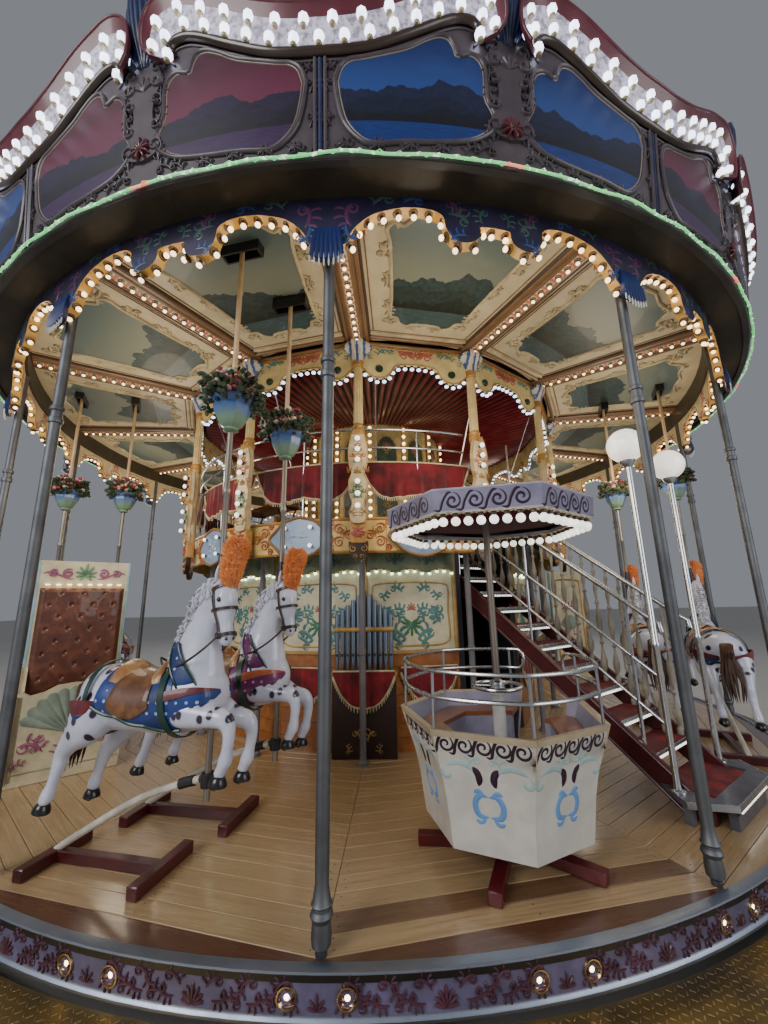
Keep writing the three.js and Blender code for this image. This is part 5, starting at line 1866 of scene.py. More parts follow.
class Limb:
    """A body part on a smooth middle line, with an oval section that changes along it."""

    def __init__(self, points, wide, deep, steps=40, side=(0, 1, 0)):
        line = smooth_line(points, steps)
        along = np.gradient(line, axis=0)
        along /= np.linalg.norm(along, axis=1, keepdims=True)
        self.line = line
        self.rise = np.cross(along, side)
        self.rise /= np.linalg.norm(self.rise, axis=1, keepdims=True)
        self.side = np.cross(self.rise, along)
        shape = smooth_line(np.stack([wide, deep], -1), steps)
        self.wide, self.deep = shape[:, 0], shape[:, 1]

    def spot(self, share, angle, out=0.0):
        """Points on the skin: the angle is 0 on top and a quarter turn on the +y side."""
        place = np.clip(share, 0, 1) * (len(self.line) - 1)
        index = np.minimum(place.astype(int), len(self.line) - 2)
        rest = place - index

        def at(values):
            mixed = values[index].T * (1 - rest).T + values[index + 1].T * rest.T
            return mixed.T
        wide = np.maximum(at(self.wide), 1e-4) + out
        deep = np.maximum(at(self.deep), 1e-4) + out
        return (at(self.line) + at(self.side) * (np.sin(angle) * wide)[..., None]
                + at(self.rise) * (np.cos(angle) * deep)[..., None])

    def skin(self, sides=18, mark=0):
        """The whole part, closed at both ends of its middle line."""
        shares, angles = np.linspace(0, 1, len(self.line)), np.linspace(0, 2 * math.pi, sides + 1)
        grid = self.spot(*np.meshgrid(shares, angles, indexing="ij"))
        grid = np.concatenate([0 * grid[:1] + self.line[0], grid, 0 * grid[:1] + self.line[-1]])
        return sheet(grid, mark).outward()

    def wrap(self, shares, angles, out, thick=0.012, mark=0, steps=(20, 24)):
        """A shell over part of the skin. The angles, and how far it stands out, may depend on the place."""
        s, r = np.meshgrid(np.linspace(0, 1, steps[0]), np.linspace(0, 1, steps[1]), indexing="ij")
        share = shares[0] + (shares[1] - shares[0]) * s
        low, high = (edge(s) if callable(edge) else edge for edge in angles)
        angle = low + (high - low) * r
        height = out(s, r) if callable(out) else out + 0 * s
        outer = self.spot(share, angle, height)
        inner = self.spot(share, angle, height - thick)
        outer[0], outer[-1] = (outer[0] + inner[0]) / 2, (outer[-1] + inner[-1]) / 2
        return shell_between(outer, inner, mark)

    def band(self, share, wide, out=0.006, lean=0.0, mark=0):
        """A strap round the part; the lean slides its upper side back along the part."""
        angle = np.linspace(0, 2 * math.pi, 37)[:-1]
        where = share + lean * np.cos(angle)
        line = self.spot(where, angle, out)
        middle = line - self.spot(where, angle, out - 0.05)
        return strap(line, wide, 0.006, middle, mark, True)


def shell_between(outer, inner, mark=0):
    """A closed shell between two grids of the same shape."""
    walls = ((inner[0], outer[0]), (outer[-1], inner[-1]), (outer[:, 0], inner[:, 0]),
             (inner[:, -1], outer[:, -1]))
    sheets = [outer, inner[:, ::-1]] + [np.stack(wall) for wall in walls]
    return join(sheet(grid, mark) for grid in sheets).outward()


def strap(line, wide, thick, normal, mark=0, loop=False):
    """A flat strap along a line, its face turned to the normals."""
    line = np.asarray(line, float)
    along = np.roll(line, -1, 0) - np.roll(line, 1, 0) if loop else np.gradient(line, axis=0)
    side = np.cross(along, normal)
    side /= np.linalg.norm(side, axis=1, keepdims=True) + 1e-12
    out = np.asarray(normal) / (np.linalg.norm(normal, axis=1, keepdims=True) + 1e-12)
    section = [(-0.5, 0), (-0.44, 1), (0.44, 1), (0.5, 0), (-0.5, 0)]
    grid = np.stack([line + side * x * wide + out * y * thick for x, y in section], 1)
    if loop:
        grid = np.concatenate([grid, grid[:1]])
    else:
        grid = capped(grid)
    return sheet(grid, mark).outward()


BARREL = Limb(
    [(-0.95, 0, 0.96), (-0.9, 0, 0.99), (-0.8, 0, 1.01), (-0.66, 0, 1.0), (-0.5, 0, 0.985), (-0.36, 0, 0.985),
     (-0.2, 0, 1.01), (-0.06, 0, 1.04), (0.04, 0, 1.06), (0.09, 0, 1.07)],
    [0.03, 0.14, 0.205, 0.215, 0.215, 0.21, 0.2, 0.175, 0.13, 0.04],
    [0.03, 0.15, 0.205, 0.2, 0.182, 0.185, 0.205, 0.2, 0.14, 0.04], 60)
NECK = Limb(
    [(-0.2, 0, 1.0), (-0.15, 0, 1.14), (-0.125, -0.005, 1.3), (-0.1, -0.015, 1.44), (-0.06, -0.025, 1.58),
     (-0.01, -0.035, 1.69), (0.05, -0.045, 1.72)],
    [0.15, 0.15, 0.115, 0.085, 0.07, 0.06, 0.05], [0.2, 0.21, 0.165, 0.125, 0.1, 0.085, 0.06], 44)
HEAD_TURN = -0.5


def head_path(points):
    """The head is turned outwards about the top of the neck."""
    return np.asarray(points, float) @ spin(HEAD_TURN).T + [0.02, -0.03, 0]


HEAD_SIDE = tuple(spin(HEAD_TURN) @ np.array([0.0, 1.0, 0.0]))
HEAD = Limb(
    head_path([(0.02, 0, 1.79), (0.045, 0, 1.74), (0.07, 0, 1.66), (0.08, 0, 1.57), (0.1, 0, 1.48),
               (0.118, 0, 1.41), (0.12, 0, 1.365), (0.118, 0, 1.345)]),
    [0.02, 0.055, 0.075, 0.066, 0.045, 0.045, 0.038, 0.012],
    [0.02, 0.07, 0.1, 0.092, 0.064, 0.056, 0.046, 0.014], 44, HEAD_SIDE)
FORE_WIDE = [0.08, 0.08, 0.062, 0.055, 0.038, 0.033, 0.042, 0.034, 0.036]
FORE_DEEP = [0.1, 0.095, 0.068, 0.06, 0.042, 0.036, 0.045, 0.036, 0.038]
HIND_WIDE = [0.12, 0.12, 0.1, 0.065, 0.045, 0.04, 0.034, 0.042, 0.036]
LEGS = [
    Limb([(-0.22, -0.1, 0.99), (-0.1, -0.125, 0.955), (0.06, -0.13, 0.94), (0.17, -0.13, 0.925),
          (0.21, -0.13, 0.86),
          (0.205, -0.13, 0.76), (0.195, -0.13, 0.7), (0.175, -0.13, 0.655), (0.155, -0.13, 0.615)],
         FORE_WIDE, FORE_DEEP, 50),
    Limb([(-0.18, 0.1, 0.98), (-0.04, 0.125, 0.93), (0.08, 0.13, 0.88), (0.18, 0.13, 0.855),
          (0.215, 0.13, 0.79),
          (0.205, 0.13, 0.69), (0.19, 0.13, 0.63), (0.17, 0.13, 0.585), (0.155, 0.13, 0.55)],
         FORE_WIDE, FORE_DEEP, 50),
    Limb([(-0.74, -0.09, 1.02), (-0.77, -0.13, 0.93), (-0.83, -0.145, 0.84), (-0.92, -0.14, 0.755),
          (-0.985, -0.13, 0.68),
          (-1.005, -0.13, 0.6), (-1.035, -0.13, 0.5), (-1.06, -0.13, 0.43), (-1.09, -0.13, 0.38)],
         HIND_WIDE,
         [0.16, 0.16, 0.125, 0.075, 0.055, 0.045, 0.036, 0.045, 0.038], 50),
    Limb([(-0.72, 0.09, 1.02), (-0.73, 0.13, 0.92), (-0.77, 0.145, 0.81), (-0.84, 0.14, 0.71),
          (-0.9, 0.13, 0.63),
          (-0.93, 0.13, 0.56), (-0.955, 0.13, 0.47), (-0.975, 0.13, 0.41), (-0.99, 0.13, 0.37)],
         HIND_WIDE,
         [0.16, 0.15, 0.12, 0.08, 0.055, 0.045, 0.036, 0.045, 0.038], 50),
]


def horse_skin():
    """The parts are sunk in each other, fused by a voxel remesh and smoothed; the UV is the place along and
    up."""
    parts = [BARREL.skin(24), NECK.skin(20), HEAD.skin(20)] + [leg.skin(14) for leg in LEGS]
    brow = head_path([(0.12, -0.045, 1.66), (0.12, 0.045, 1.66), (0.04, -0.045, 1.58), (0.04, 0.045, 1.58)])
    ball = turned([(0, 0.03), (0.02, 0.022), (0.03, 0), (0.02, -0.022), (0, -0.03)], 10)
    parts.append(copies(ball, brow))
    raw = join(parts)
    mesh = bpy.data.meshes.new("raw")
    mesh.from_pydata(raw.points.tolist(), [], [list(dict.fromkeys(face)) for face in raw.faces.tolist()])
    body = bpy.data.objects.new("raw", mesh)
    bpy.context.scene.collection.objects.link(body)
    remesh = body.modifiers.new("fuse", "REMESH")
    remesh.mode = "VOXEL"
    remesh.voxel_size = 0.0135
    smooth = body.modifiers.new("ease", "SMOOTH")
    smooth.factor = 0.5
    smooth.iterations = 7
    done = body.evaluated_get(bpy.context.evaluated_depsgraph_get()).to_mesh()
    points = np.empty(len(done.vertices) * 3)
    done.vertices.foreach_get("co", points)
    faces = np.array([(*face.vertices, face.vertices[-1])[:4] for face in done.polygons])
    points = points.reshape(-1, 3)
    bpy.data.objects.remove(body)
    bpy.data.meshes.remove(mesh)
    uv = points[faces][..., [0, 2]]
    return Form(points, faces, uv, np.zeros(len(faces), int), np.full(len(faces), 0.5))


def hooves():
    """A hoof at each leg's end, leaning as the end does."""
    hoof = Limb([(0, 0, 0.012), (0.006, 0, 0), (0.022, 0, -0.045), (0.026, 0, -0.05)],
                [0.01, 0.036, 0.048, 0.01], [0.01, 0.038, 0.056, 0.01], 10)
    forms = []
    for leg in LEGS:
        end = leg.line[-1] - leg.line[-4]
        lean = math.atan2(end[0], -end[2])
        c, s = math.cos(lean), math.sin(lean)
        forms.append(hoof.skin(16, 1).at([[c, 0, -s], [0, 1, 0], [s, 0, c]], leg.line[-1]))
    return join(forms)


def ears():
    ear = Limb([(0, 0, 0), (0, 0, 0.03), (0.004, 0, 0.075), (0.01, 0, 0.11)], [0.015, 0.022, 0.016, 0.002],
               [0.012, 0.016, 0.012, 0.002], 10)
    spots = head_path([(0.03, -0.04, 1.765), (0.03, 0.04, 1.765)])
    return copies(ear.skin(10), spots)


def eyes():
    spots = head_path([(0.118, -0.062, 1.64), (0.118, 0.062, 1.64)])
    ball = turned([(0, 0.018), (0.012, 0.013), (0.018, 0), (0.012, -0.013), (0, -0.018)], 12, 2)
    nostrils = head_path([(0.168, -0.025, 1.395), (0.168, 0.025, 1.395)])
    # Each nostril is a small black bump in the eyes' finish: painted shade in place of its opening.
    nostril_shade = turned([(0, 0.012), (0.008, 0.006), (0.009, -0.006), (0, -0.012)], 8, 2)
    return join([copies(ball, spots), copies(nostril_shade, nostrils)])


def lock(start, ways, wide, steps=9):
    """A tapering strand of hair through a few points."""
    line = smooth_line(np.array(start) + np.array(ways), steps)
    size = wide * np.sin(np.linspace(0.25, 1, steps) * math.pi) ** 0.6 + 0.0015
    return swept(line, circle(1, 6) * [1, 0.6], (0.2, 0.3, 1), size)


def mane_and_tail():
    """Wavy locks from the crest to both sides, a forelock, and a tail of long locks."""
    dice = np.random.default_rng(4)
    forms = []
    for share in np.linspace(0.26, 0.99, 24):
        start = NECK.spot(np.array(share), np.array(0.0), -0.012)
        for side in (-1, 1):
            drop = 0.13 + 0.05 * dice.random()
            sway = dice.normal(0, 0.012, 3)
            ways = [(0, 0, 0), (-0.015 + sway[0], side * 0.022, 0.01),
                    (-0.025 + sway[1], side * 0.045, -drop * 0.3),
                    (-0.005 + sway[2], side * 0.055, -drop * 0.55), (-0.03, side * 0.062, -drop * 0.75)]
            forms.append(lock(start, ways, 0.014 + 0.005 * dice.random()))
    top = head_path([(0.06, 0, 1.79)])[0]
    for side in (-0.03, 0.0, 0.03):
        ways = [(0, side * 0.4, 0), (0.05, side, -0.01), (0.08, side * 1.3, -0.06),
                (0.075, side * 0.9, -0.11)]
        forms.append(lock(top, ways, 0.014))
    hair = join(forms)
    tail = []
    for side in np.linspace(-0.045, 0.045, 9):
        sway = dice.normal(0, 0.016, 2)
        ways = [(0.03, side * 0.2, 0.0), (-0.05, side * 0.7, 0.03), (-0.1, side + sway[0], -0.1),
                (-0.1, side * 1.6 + sway[1], -0.3), (-0.13 + sway[0], side * 1.5, -0.52)]
        tail.append(lock((-0.93, 0, 1.06), ways, 0.03, 14).marked(1))
    return join([hair] + tail)


def tack():
    """Saddle, cloth, breast strap, breeching and bridle. Marks: 0 leather, 1 cloth, 2 strap, 3 edge, 4 dark,
    5 seat."""
    quarter = math.pi / 2
    forms = []

    def scallop(s):
        return quarter * (1.04 + 0.5 * s ** 1.4) + 0.07 * np.abs(np.sin(s * math.pi * 3))
    for sign in (1, -1):
        forms.append(BARREL.wrap((0.3, 0.7), (0.0, lambda s: sign * scallop(s)), 0.014, 0.012, 1))
        flap = (0.0, lambda s: sign * (quarter + 0.25 * np.sin(s * math.pi)))
        forms.append(BARREL.wrap((0.38, 0.6), flap, 0.028, 0.012, 0))
        edge = np.linspace(0, 1, 50)
        line = BARREL.spot(0.3 + 0.4 * edge, sign * scallop(edge), 0.018)
        forms.append(tube(line, 0.011, 7, (0.2, 0.1, 1), 3))

    def seat_out(s, r):
        side = np.abs(r - 0.5) * 2
        cantle = 0.03 * np.exp(-((s - 0.06) / 0.16) ** 2) * (1 - side ** 2)
        pommel = 0.05 * np.exp(-((s - 0.95) / 0.12) ** 2) * (1 - side ** 1.5)
        return 0.022 + cantle + pommel
    forms.append(BARREL.wrap((0.33, 0.63), (-0.9, 0.9), seat_out, 0.02, 5, (30, 30)))
    forms.append(BARREL.band(0.66, 0.045, 0.022, 0.0, 3))

    def rump_out(s, _):
        return 0.014 + 0.055 * np.sin(math.pi * s) ** 0.7
    for low, high, wavy, mark in ((0.94, 1.16, 0.0, 2), (1.16, 1.4, 0.1, 1)):
        for sign in (1, -1):
            edges = (lambda s: sign * quarter * low + 0 * s,
                     lambda s: sign * quarter * (high + wavy * np.sin(s * math.pi * 4)) + 0 * s)
            forms.append(BARREL.wrap((0.03, 0.3), edges[::sign], rump_out, 0.012, mark))
    forms.append(BARREL.band(0.255, 0.03, 0.02, -0.02, 3))

    def points(s):
        return 0.14 * np.abs(np.sin(s * math.pi * 4))
    for sign in (1, -1):
        for limb, shares, edges, out, mark in (
            (BARREL, (0.68, 0.995), (lambda s: sign * (1.5 - 0.1 * s),
                                     lambda s: sign * (1.85 - 0.1 * s + points(s))), 0.018, 1),
            (BARREL, (0.64, 0.995), (lambda s: sign * (1.2 + 0.1 * s), lambda s: sign * (1.48 - 0.06 * s)),
             0.024, 2),
            (NECK, (0.03, 0.4), (lambda s: sign * (2.1 - 1.7 * s), lambda s: sign * (2.9 - 1.9 * s)), 0.016,
             1),
        ):
            forms.append(limb.wrap(shares, edges, out, 0.012, mark))
        share = np.linspace(0, 1, 30)
        for first, fall in ((2.1, 1.7), (2.9, 1.9)):
            line = NECK.spot(0.03 + 0.37 * share, sign * (first - fall * share), 0.018)
            forms.append(tube(line, 0.008, 6, (0.2, 0.1, 1), 3))
        bit = HEAD.spot(np.array(0.7), np.array(sign * quarter), 0.008)
        rein = bezier([bit, bit + [-0.12, sign * 0.1, -0.16], (-0.3, sign * 0.13, 1.14), (-0.42, 0.0, 1.26)],
                      22)
        forms.append(tube(rein, 0.007, 6, (0.1, 1, 0.2), 4))
        along, side = np.linspace(0.2, 0.7, 12), np.full(12, sign * quarter)
        cheek = HEAD.spot(along, side, 0.006)
        forms.append(strap(cheek, 0.02, 0.005, cheek - HEAD.spot(along, side, -0.04), 4))
        loop = [(math.cos(a), 0, math.sin(a)) for a in np.linspace(0, 2 * math.pi, 13)[:-1]]
        forms.append(tube(bit + 0.02 * np.array(loop), 0.004, 5, (0, 1, 0), 3, True))
    for share, wide in ((0.2, 0.024), (0.42, 0.02), (0.7, 0.024)):
        forms.append(HEAD.band(share, wide, 0.006, 0.0, 4))
    return join(forms)


def plume():
    """A feather plume: a core and fine barbs that stand out from it and lean up."""
    dice = np.random.default_rng(7)
    wide = [0.018, 0.038, 0.052, 0.06, 0.05, 0.012]
    core = Limb([(0, 0, 0), (0.005, 0, 0.06), (0.015, 0, 0.15), (0.035, 0, 0.24), (0.047, 0, 0.295),
                 (0.055, 0, 0.335)], wide, wide, 24)
    count = 1100
    share, angle = dice.random(count) * 0.96 + 0.02, dice.random(count) * 2 * math.pi
    root = core.spot(share, angle, -0.006)
    sway_x = 0.009 * dice.normal(size=count)
    sway_y = 0.009 * dice.normal(size=count)
    way = root - core.spot(share, angle, -0.03) + np.stack([sway_x, sway_y, 0.014 + 0 * share], -1)
    barb = turned([(0, 0), (0.0055, -0.012), (0.0045, -0.03), (0, -0.05)], 4)
    return join([core.skin(12), copies(barb, root, facing(way, (0.3, 1, 0.2)))])


def vase():
    """The fluted vase on the pole over the horse."""
    profile = [(0, 2.86), (0.034, 2.86), (0.06, 2.875), (0.05, 2.895), (0.08, 2.91), (0.125, 3.0),
               (0.14, 3.05), (0.135, 3.07),
               (0.155, 3.09), (0.165, 3.12), (0.15, 3.135), (0.13, 3.12), (0, 3.12)]
    return fluted(profile, 8, 0.08, 32)


def flowers(seed):
    """A crown of blossoms and leaves in the vase. Marks: 0 leaf, 1 pink, 2 deep red, 3 pale."""
    dice = np.random.default_rng(seed)
    forms = []
    petal = turned([(0, 0.018), (0.02, 0.015), (0.028, 0), (0.016, -0.018), (0, -0.02)], 6)
    for mark, count in ((1, 40), (2, 34), (3, 26)):
        angle = dice.random(count) * 2 * math.pi
        lift = dice.random(count)
        radius = (0.09 + 0.12 * np.sqrt(dice.random(count))) * (1 - 0.35 * lift)
        spots = np.stack([radius * np.cos(angle), radius * np.sin(angle), 3.12 + 0.2 * lift], -1)
        forms.append(copies(petal.marked(mark), spots, spin(angle)))
    blade = tube([(0, 0, 0), (0.02, 0, 0.01), (0.04, 0, 0.008), (0.055, 0, -0.006)], 0.017, 5)
    count = 190
    angle = dice.random(count) * 2 * math.pi
    lift = dice.random(count)
    radius = 0.08 + 0.12 * dice.random(count)
    spots = np.stack([radius * np.cos(angle), radius * np.sin(angle), 3.07 + 0.2 * lift], -1)
    forms.append(copies(blade, spots, spin(angle)))
    return join(forms)


def horse_pole():
    """The lifting pole: steel below with collars, a navy sleeve over the mane, and pale paint above."""
    low = [(0, 0.42), (0.02, 0.42), (0.02, 1.7), (0, 1.7)]
    sleeve = [(0, 1.7), (0.03, 1.7), (0.034, 1.8), (0.026, 1.93), (0.022, 1.95), (0, 1.95)]
    middle = [(0, 1.95), (0.0205, 1.95), (0.0205, 2.38), (0.027, 2.39), (0.027, 2.42), (0.0205, 2.43),
              (0.0205, 3.1), (0, 3.1)]
    high = [(0, 3.1), (0.02, 3.1), (0.02, 4.76), (0, 4.76)]
    return join(turned(profile, 14, mark) for profile,
                mark in ((low, 0), (sleeve, 1), (middle, 0), (high, 2)))


def floor_frame():
    """Dark red bars on the deck, and the white arm whose eye guides the pole."""
    forms = [bar((-1.08, 0, 0.0353), (-0.27, 0, 0.0353), 0.06, 0.07, 0.006)]
    for x in (-1.08, -0.27):
        forms.append(bar((x, -0.24, 0.037), (x, 0.24, 0.037), 0.075, 0.073, 0.006, (0, 0, 1)))
    arm = smooth_line([(-1.08, 0, 0.06), (-0.9, 0, 0.17), (-0.5, 0, 0.39), (-0.2, 0, 0.5), (-0.05, 0, 0.54)],
                      26)
    forms.append(tube(arm, 0.023, 10, (0, 1, 0), 1))
    forms.append(turned([(0.0207, 0.5), (0.04, 0.5), (0.042, 0.52), (0.042, 0.56), (0.04, 0.58),
                         (0.0207, 0.58), (0.0207, 0.5)], 16, 2))
    forms.append(tube(arm[-7:-2], 0.032, 10, (0, 1, 0), 2))
    return join(forms)


def hide(name):
    """Glossy white enamel with a bluish drift in soft patches, and dark drops with a lavender rim on chest
    and rump.
    """
    finish = Finish(name, Coat_Weight=0.7, Coat_Roughness=0.08)
    u, v, _ = finish.parts(finish.uv())
    cloud = finish.cloud(5, 4)
    base = finish.mix(cloud.between(0.3, 0.7), rgb("d9dbe8"), rgb("c3c6dc"))
    where = finish.vector(u * 10.5, v * 8, 0.0)
    settings = {"feature": "F1", "voronoi_dimensions": "2D"}
    cells = finish.node("ShaderNodeTexVoronoi", settings, {"Vector": where, "Scale": 1.0, "Randomness": 0.8})
    near = Wire(finish, cells.outputs["Distance"])
    fore = (u > -0.2) * (v < 1.07) * (v > 0.9)
    aft = (u < -0.66) * (v > 0.78)
    spotted = (fore + aft).least(1)
    drops = (1 - near.between(0.18, 0.23)) * spotted
    halo = (1 - near.between(0.2, 0.36)) * spotted
    base = finish.mix(halo * 0.35, base, rgb("8d86a8"))
    finish.set(Base_Color=finish.mix(drops, base, rgb("2d1238")), Roughness=0.22 + cloud * 0.15)
    finish.bump(finish.cloud(26, 4), 0.0015, 0.35)
    return finish.material


def leather(name, colour, worn, rough=0.38):
    """Painted leather: paler worn patches in a soft cloud, with fine creases."""
    finish = Finish(name, Coat_Weight=0.35)
    wear = finish.cloud(9, 5)
    crease = finish.cloud(70, 4)
    finish.set(Base_Color=finish.mix(wear.between(0.42, 0.72), rgb(colour), rgb(worn)))
    finish.set(Roughness=rough + crease * 0.2)
    finish.bump(crease, 0.001, 0.5)
    return finish.material


def vase_paint():
    """Blue enamel that turns grey-green towards the foot."""
    finish = Finish("vase_paint", Coat_Weight=0.4)
    _, _, z = finish.parts(finish.spot())
    cloud = finish.cloud(14, 3)
    share = (z + cloud * 0.08).between(DECK + 2.98, DECK + 3.08)
    finish.set(Base_Color=finish.mix(share, rgb("7d9a80"), rgb("4f6ea4")), Roughness=0.3 + cloud * 0.15)
    return finish.material


def dotted(name, colour, dot, deep):
    """Enamelled cloth with rows of light dots."""
    finish = Finish(name, Coat_Weight=0.4)
    x, y, z = finish.parts(finish.spot())
    off_x, off_y, off_z = (((value * 16).fract() - 0.5).math("POWER", 2) for value in (x, y, z))
    cell = off_x + off_z + off_y * 0.3
    cloud = finish.cloud(8, 3)
    base = finish.mix(cloud.between(0.3, 0.7), rgb(colour), rgb(deep))
    finish.set(Base_Color=finish.mix(1 - cell.between(0.02, 0.035), base, rgb(dot)),
               Roughness=0.35 + cloud * 0.1)
    finish.bump(finish.cloud(60, 3), 0.0008, 0.4)
    return finish.material


def horses():
    """Eight like horses on their poles; the coats' cloths take turns in two colours."""
    skin = join([horse_skin(), hooves(), ears(), eyes()])
    hair = mane_and_tail()
    gear = tack()
    feather = plume().at(shift=head_path([(0.12, 0, 1.7)])[0])
    pole = horse_pole()
    pot = vase()
    coat = hide("horse_white")
    hoof = enamel("hoof_black", "141216", 0.25, 0.2, 0.5)
    eye = enamel("eye_black", "0b0b0e", 0.1, 0.1, 0.8)
    hair_white = enamel("mane_white", "cfd0da", 0.35, 0.25)
    hair_brown = enamel("tail_brown", "4a2c1c", 0.45, 0.3)
    tan = leather("saddle_tan", "5c3418", "8a5a2c")
    seat = leather("saddle_seat", "9a6a3e", "d8bb92", 0.25)
    dark = leather("bridle_brown", "2d1a14", "4a2c22")
    maroon = leather("strap_maroon", "5a1a24", "7d2a34")
    orange = leather("strap_orange", "a8502a", "c8743e")
    green = enamel("edge_green", "12382e", 0.3)
    blue = dotted("cloth_blue", "1f3f86", "9fb6e0", "182c60")
    magenta = dotted("cloth_magenta", "7c2a66", "c77fb4", "551c48")
    feather_orange = velvet("plume_orange", "f7ae66", "e68a3c")
    steel = metal("ride_pole", "9a938a", 0.34)
    navy = enamel("sleeve_navy", "141c3c", 0.5)
    pale = enamel("pole_cream", "cbb087", 0.35)
    pot_paint = vase_paint()
    plants = [enamel("leaf_green", "3e4f38", 0.5, 0.4), enamel("flower_pink", "d08a84", 0.5, 0.3),
              enamel("flower_red", "8a2436", 0.5, 0.3), enamel("flower_pale", "cfc4ae", 0.5, 0.3)]
    frames = []
    for index, (bay, radius, past) in enumerate(HORSES):
        name = f"horse_{index + 1}"
        angle = horse_angle(bay, past)
        turn, spot = spin(angle), ring(radius, np.array(angle), 0)
        cloth, strap_paint = (blue, maroon) if index % 2 == 0 else (magenta, orange)
        for part, form, finishes, crease in (
            ("skin", skin, [coat, hoof, eye], 60),
            ("hair", hair, [hair_white, hair_brown], 60),
            ("tack", gear, [tan, cloth, strap_paint, green, dark, seat], 40),
            ("plume", feather, [feather_orange], 40),
            ("pole", pole, [steel, navy, pale], 40),
            ("vase", pot, [pot_paint], 40),
            ("flowers", flowers(index + 20), plants, 60),
        ):
            show(f"{name}_{part}", form.at(turn, spot), finishes, name, [name], crease)
        frames.append(floor_frame().at(turn, spot))
    red = enamel("frame_red", "4a1216", 0.35, 0.3)
    white = enamel("arm_white", "c9c2b2", 0.35, 0.3)
    show("horse_floor_frames", join(frames), [red, white, enamel("sleeve_black", "18171a", 0.5)],
         replaces=["lower_deck"])


# Spinning tubs, each drawn about its own middle with a corner on the outside

TUB_SIDES = 7
TUB_TURN = 2 * math.pi / TUB_SIDES
TUB_FLAT = math.cos(TUB_TURN / 2)
TUBS = [(4.28, math.radians(14.8), math.radians(-63)), (4.28, math.radians(194.8), 0.0)]
# Radius of a basket's corner at each height
BASKET = np.array([(0.54, 0.175), (0.56, 0.33), (0.58, 0.45), (0.605, 0.56), (0.64, 0.68), (0.672, 0.78),
                   (0.7, 0.845)])
DOOR_SIDE = 3
WALLED_SIDES = [side for side in range(TUB_SIDES) if side != DOOR_SIDE]
DOOR_HALF = 0.21
RAIL_LOW, RAIL_HIGH = 1.03, 1.18


def tub_place(x, y, out):
    """On the flat side at the middle of the heptagon's first side: x along it, y above the deck."""
    reach = np.interp(y, BASKET[:, 1], BASKET[:, 0]) * TUB_FLAT + out
    return upright(x, -reach, y) @ spin(TUB_TURN / 2).T


def canopy_place(x, y, out):
    """On the leaning board of the same side's canopy."""
    reach = 0.757 * TUB_FLAT + (y - 2.225) * 0.1 + out
    return upright(x, -reach, y) @ spin(TUB_TURN / 2).T


def all_sides(form, sides=range(TUB_SIDES)):
    return around(form, sides, TUB_TURN)


def faceted(profile, marks=0):
    """A profile of (corner radius, height) points carried round the heptagon."""
    profile = np.asarray(profile, float)
    angle = np.arange(TUB_SIDES + 1) * TUB_TURN
    grid = ring(profile[:, :1], angle[None], profile[:, 1:])
    if np.ndim(marks):
        marks = np.asarray(marks)[:, None]
    return sheet(grid, marks).outward()


def basket_wall(first, last, low=0.175, high=0.845):
    """A wall between two places along a side: painted outside, beige on the rim, lilac inside."""
    height = np.linspace(low, high, 14)
    radius = np.interp(height, BASKET[:, 1], BASKET[:, 0])
    half = radius * math.sin(TUB_TURN / 2)
    x0 = half * first if abs(first) == 1 else np.full(14, first)
    x1 = half * last if abs(last) == 1 else np.full(14, last)
    x = np.stack([x0, x1])
    outer = tub_place(x, height[None], 0.0)
    inner = tub_place(x * 0.94, height[None], -0.04)
    ledge = tub_place(x[:, -1:], high - 0.03, 0.006)
    lip = tub_place(x[:, -1:], high, 0.008) + [0, 0, 0.008]
    rows = capped(np.concatenate([outer, ledge, lip, inner[:, ::-1], outer[:, :1]], 1))
    marks = [0] * 13 + [1, 1, 1] + [2] * 13 + [0]
    return sheet(rows, np.array(marks)[None]).outward()


def basket():
    """Seven walls with a doorway in the side that faces the machine's middle, a floor and a seat ring."""
    walls = all_sides(basket_wall(-1, 1), WALLED_SIDES)
    jambs = [basket_wall(-1, -DOOR_HALF), basket_wall(DOOR_HALF, 1),
             basket_wall(-DOOR_HALF, DOOR_HALF, 0.175, 0.24)]
    door = join(jambs).at(spin(DOOR_SIDE * TUB_TURN))
    floor = faceted([(0.06, 0.18), (0.53, 0.18), (0.54, 0.22), (0.06, 0.22), (0.06, 0.18)]).marked(2)
    return join([walls, door, floor])


def seat_ring():
    """A brown seat just inside the rim with a lilac skirt under its inner edge, both open at the door."""
    def arc(inner, outer, low, high, mark):
        """A box section carried along six of the heptagon's sides and part of the seventh."""
        reach, last = 0.5 * TUB_TURN, 3 * TUB_TURN
        angle = np.concatenate([[-last - reach + 0.36], np.arange(-3, 4) * TUB_TURN, [last + reach - 0.36]])
        past = np.abs(angle) - last
        bend = np.where(np.abs(angle) > last + 0.01, np.cos(TUB_TURN / 2) / np.cos(reach - past), 1.0)
        radius = np.array([inner, outer, outer, inner, inner])[:, None] * bend[None]
        height = np.array([low, low, high, high, low])[:, None]
        return sheet(capped_columns(ring(radius, angle[None], height)), mark).outward()
    return join([arc(0.4, 0.605, 0.715, 0.745, 0), arc(0.395, 0.42, 0.24, 0.714, 1)])


def rail_path(height, steps=110):
    """A rounded heptagon between the sides of the doorway."""
    half = math.pi - 0.34
    angle = np.linspace(-half, half, steps)
    corner = np.cos(TUB_TURN / 2) / np.cos(np.mod(angle, TUB_TURN) - TUB_TURN / 2)
    return ring(0.668 * (corner * 0.35 + 0.65), angle, np.full(steps, height))


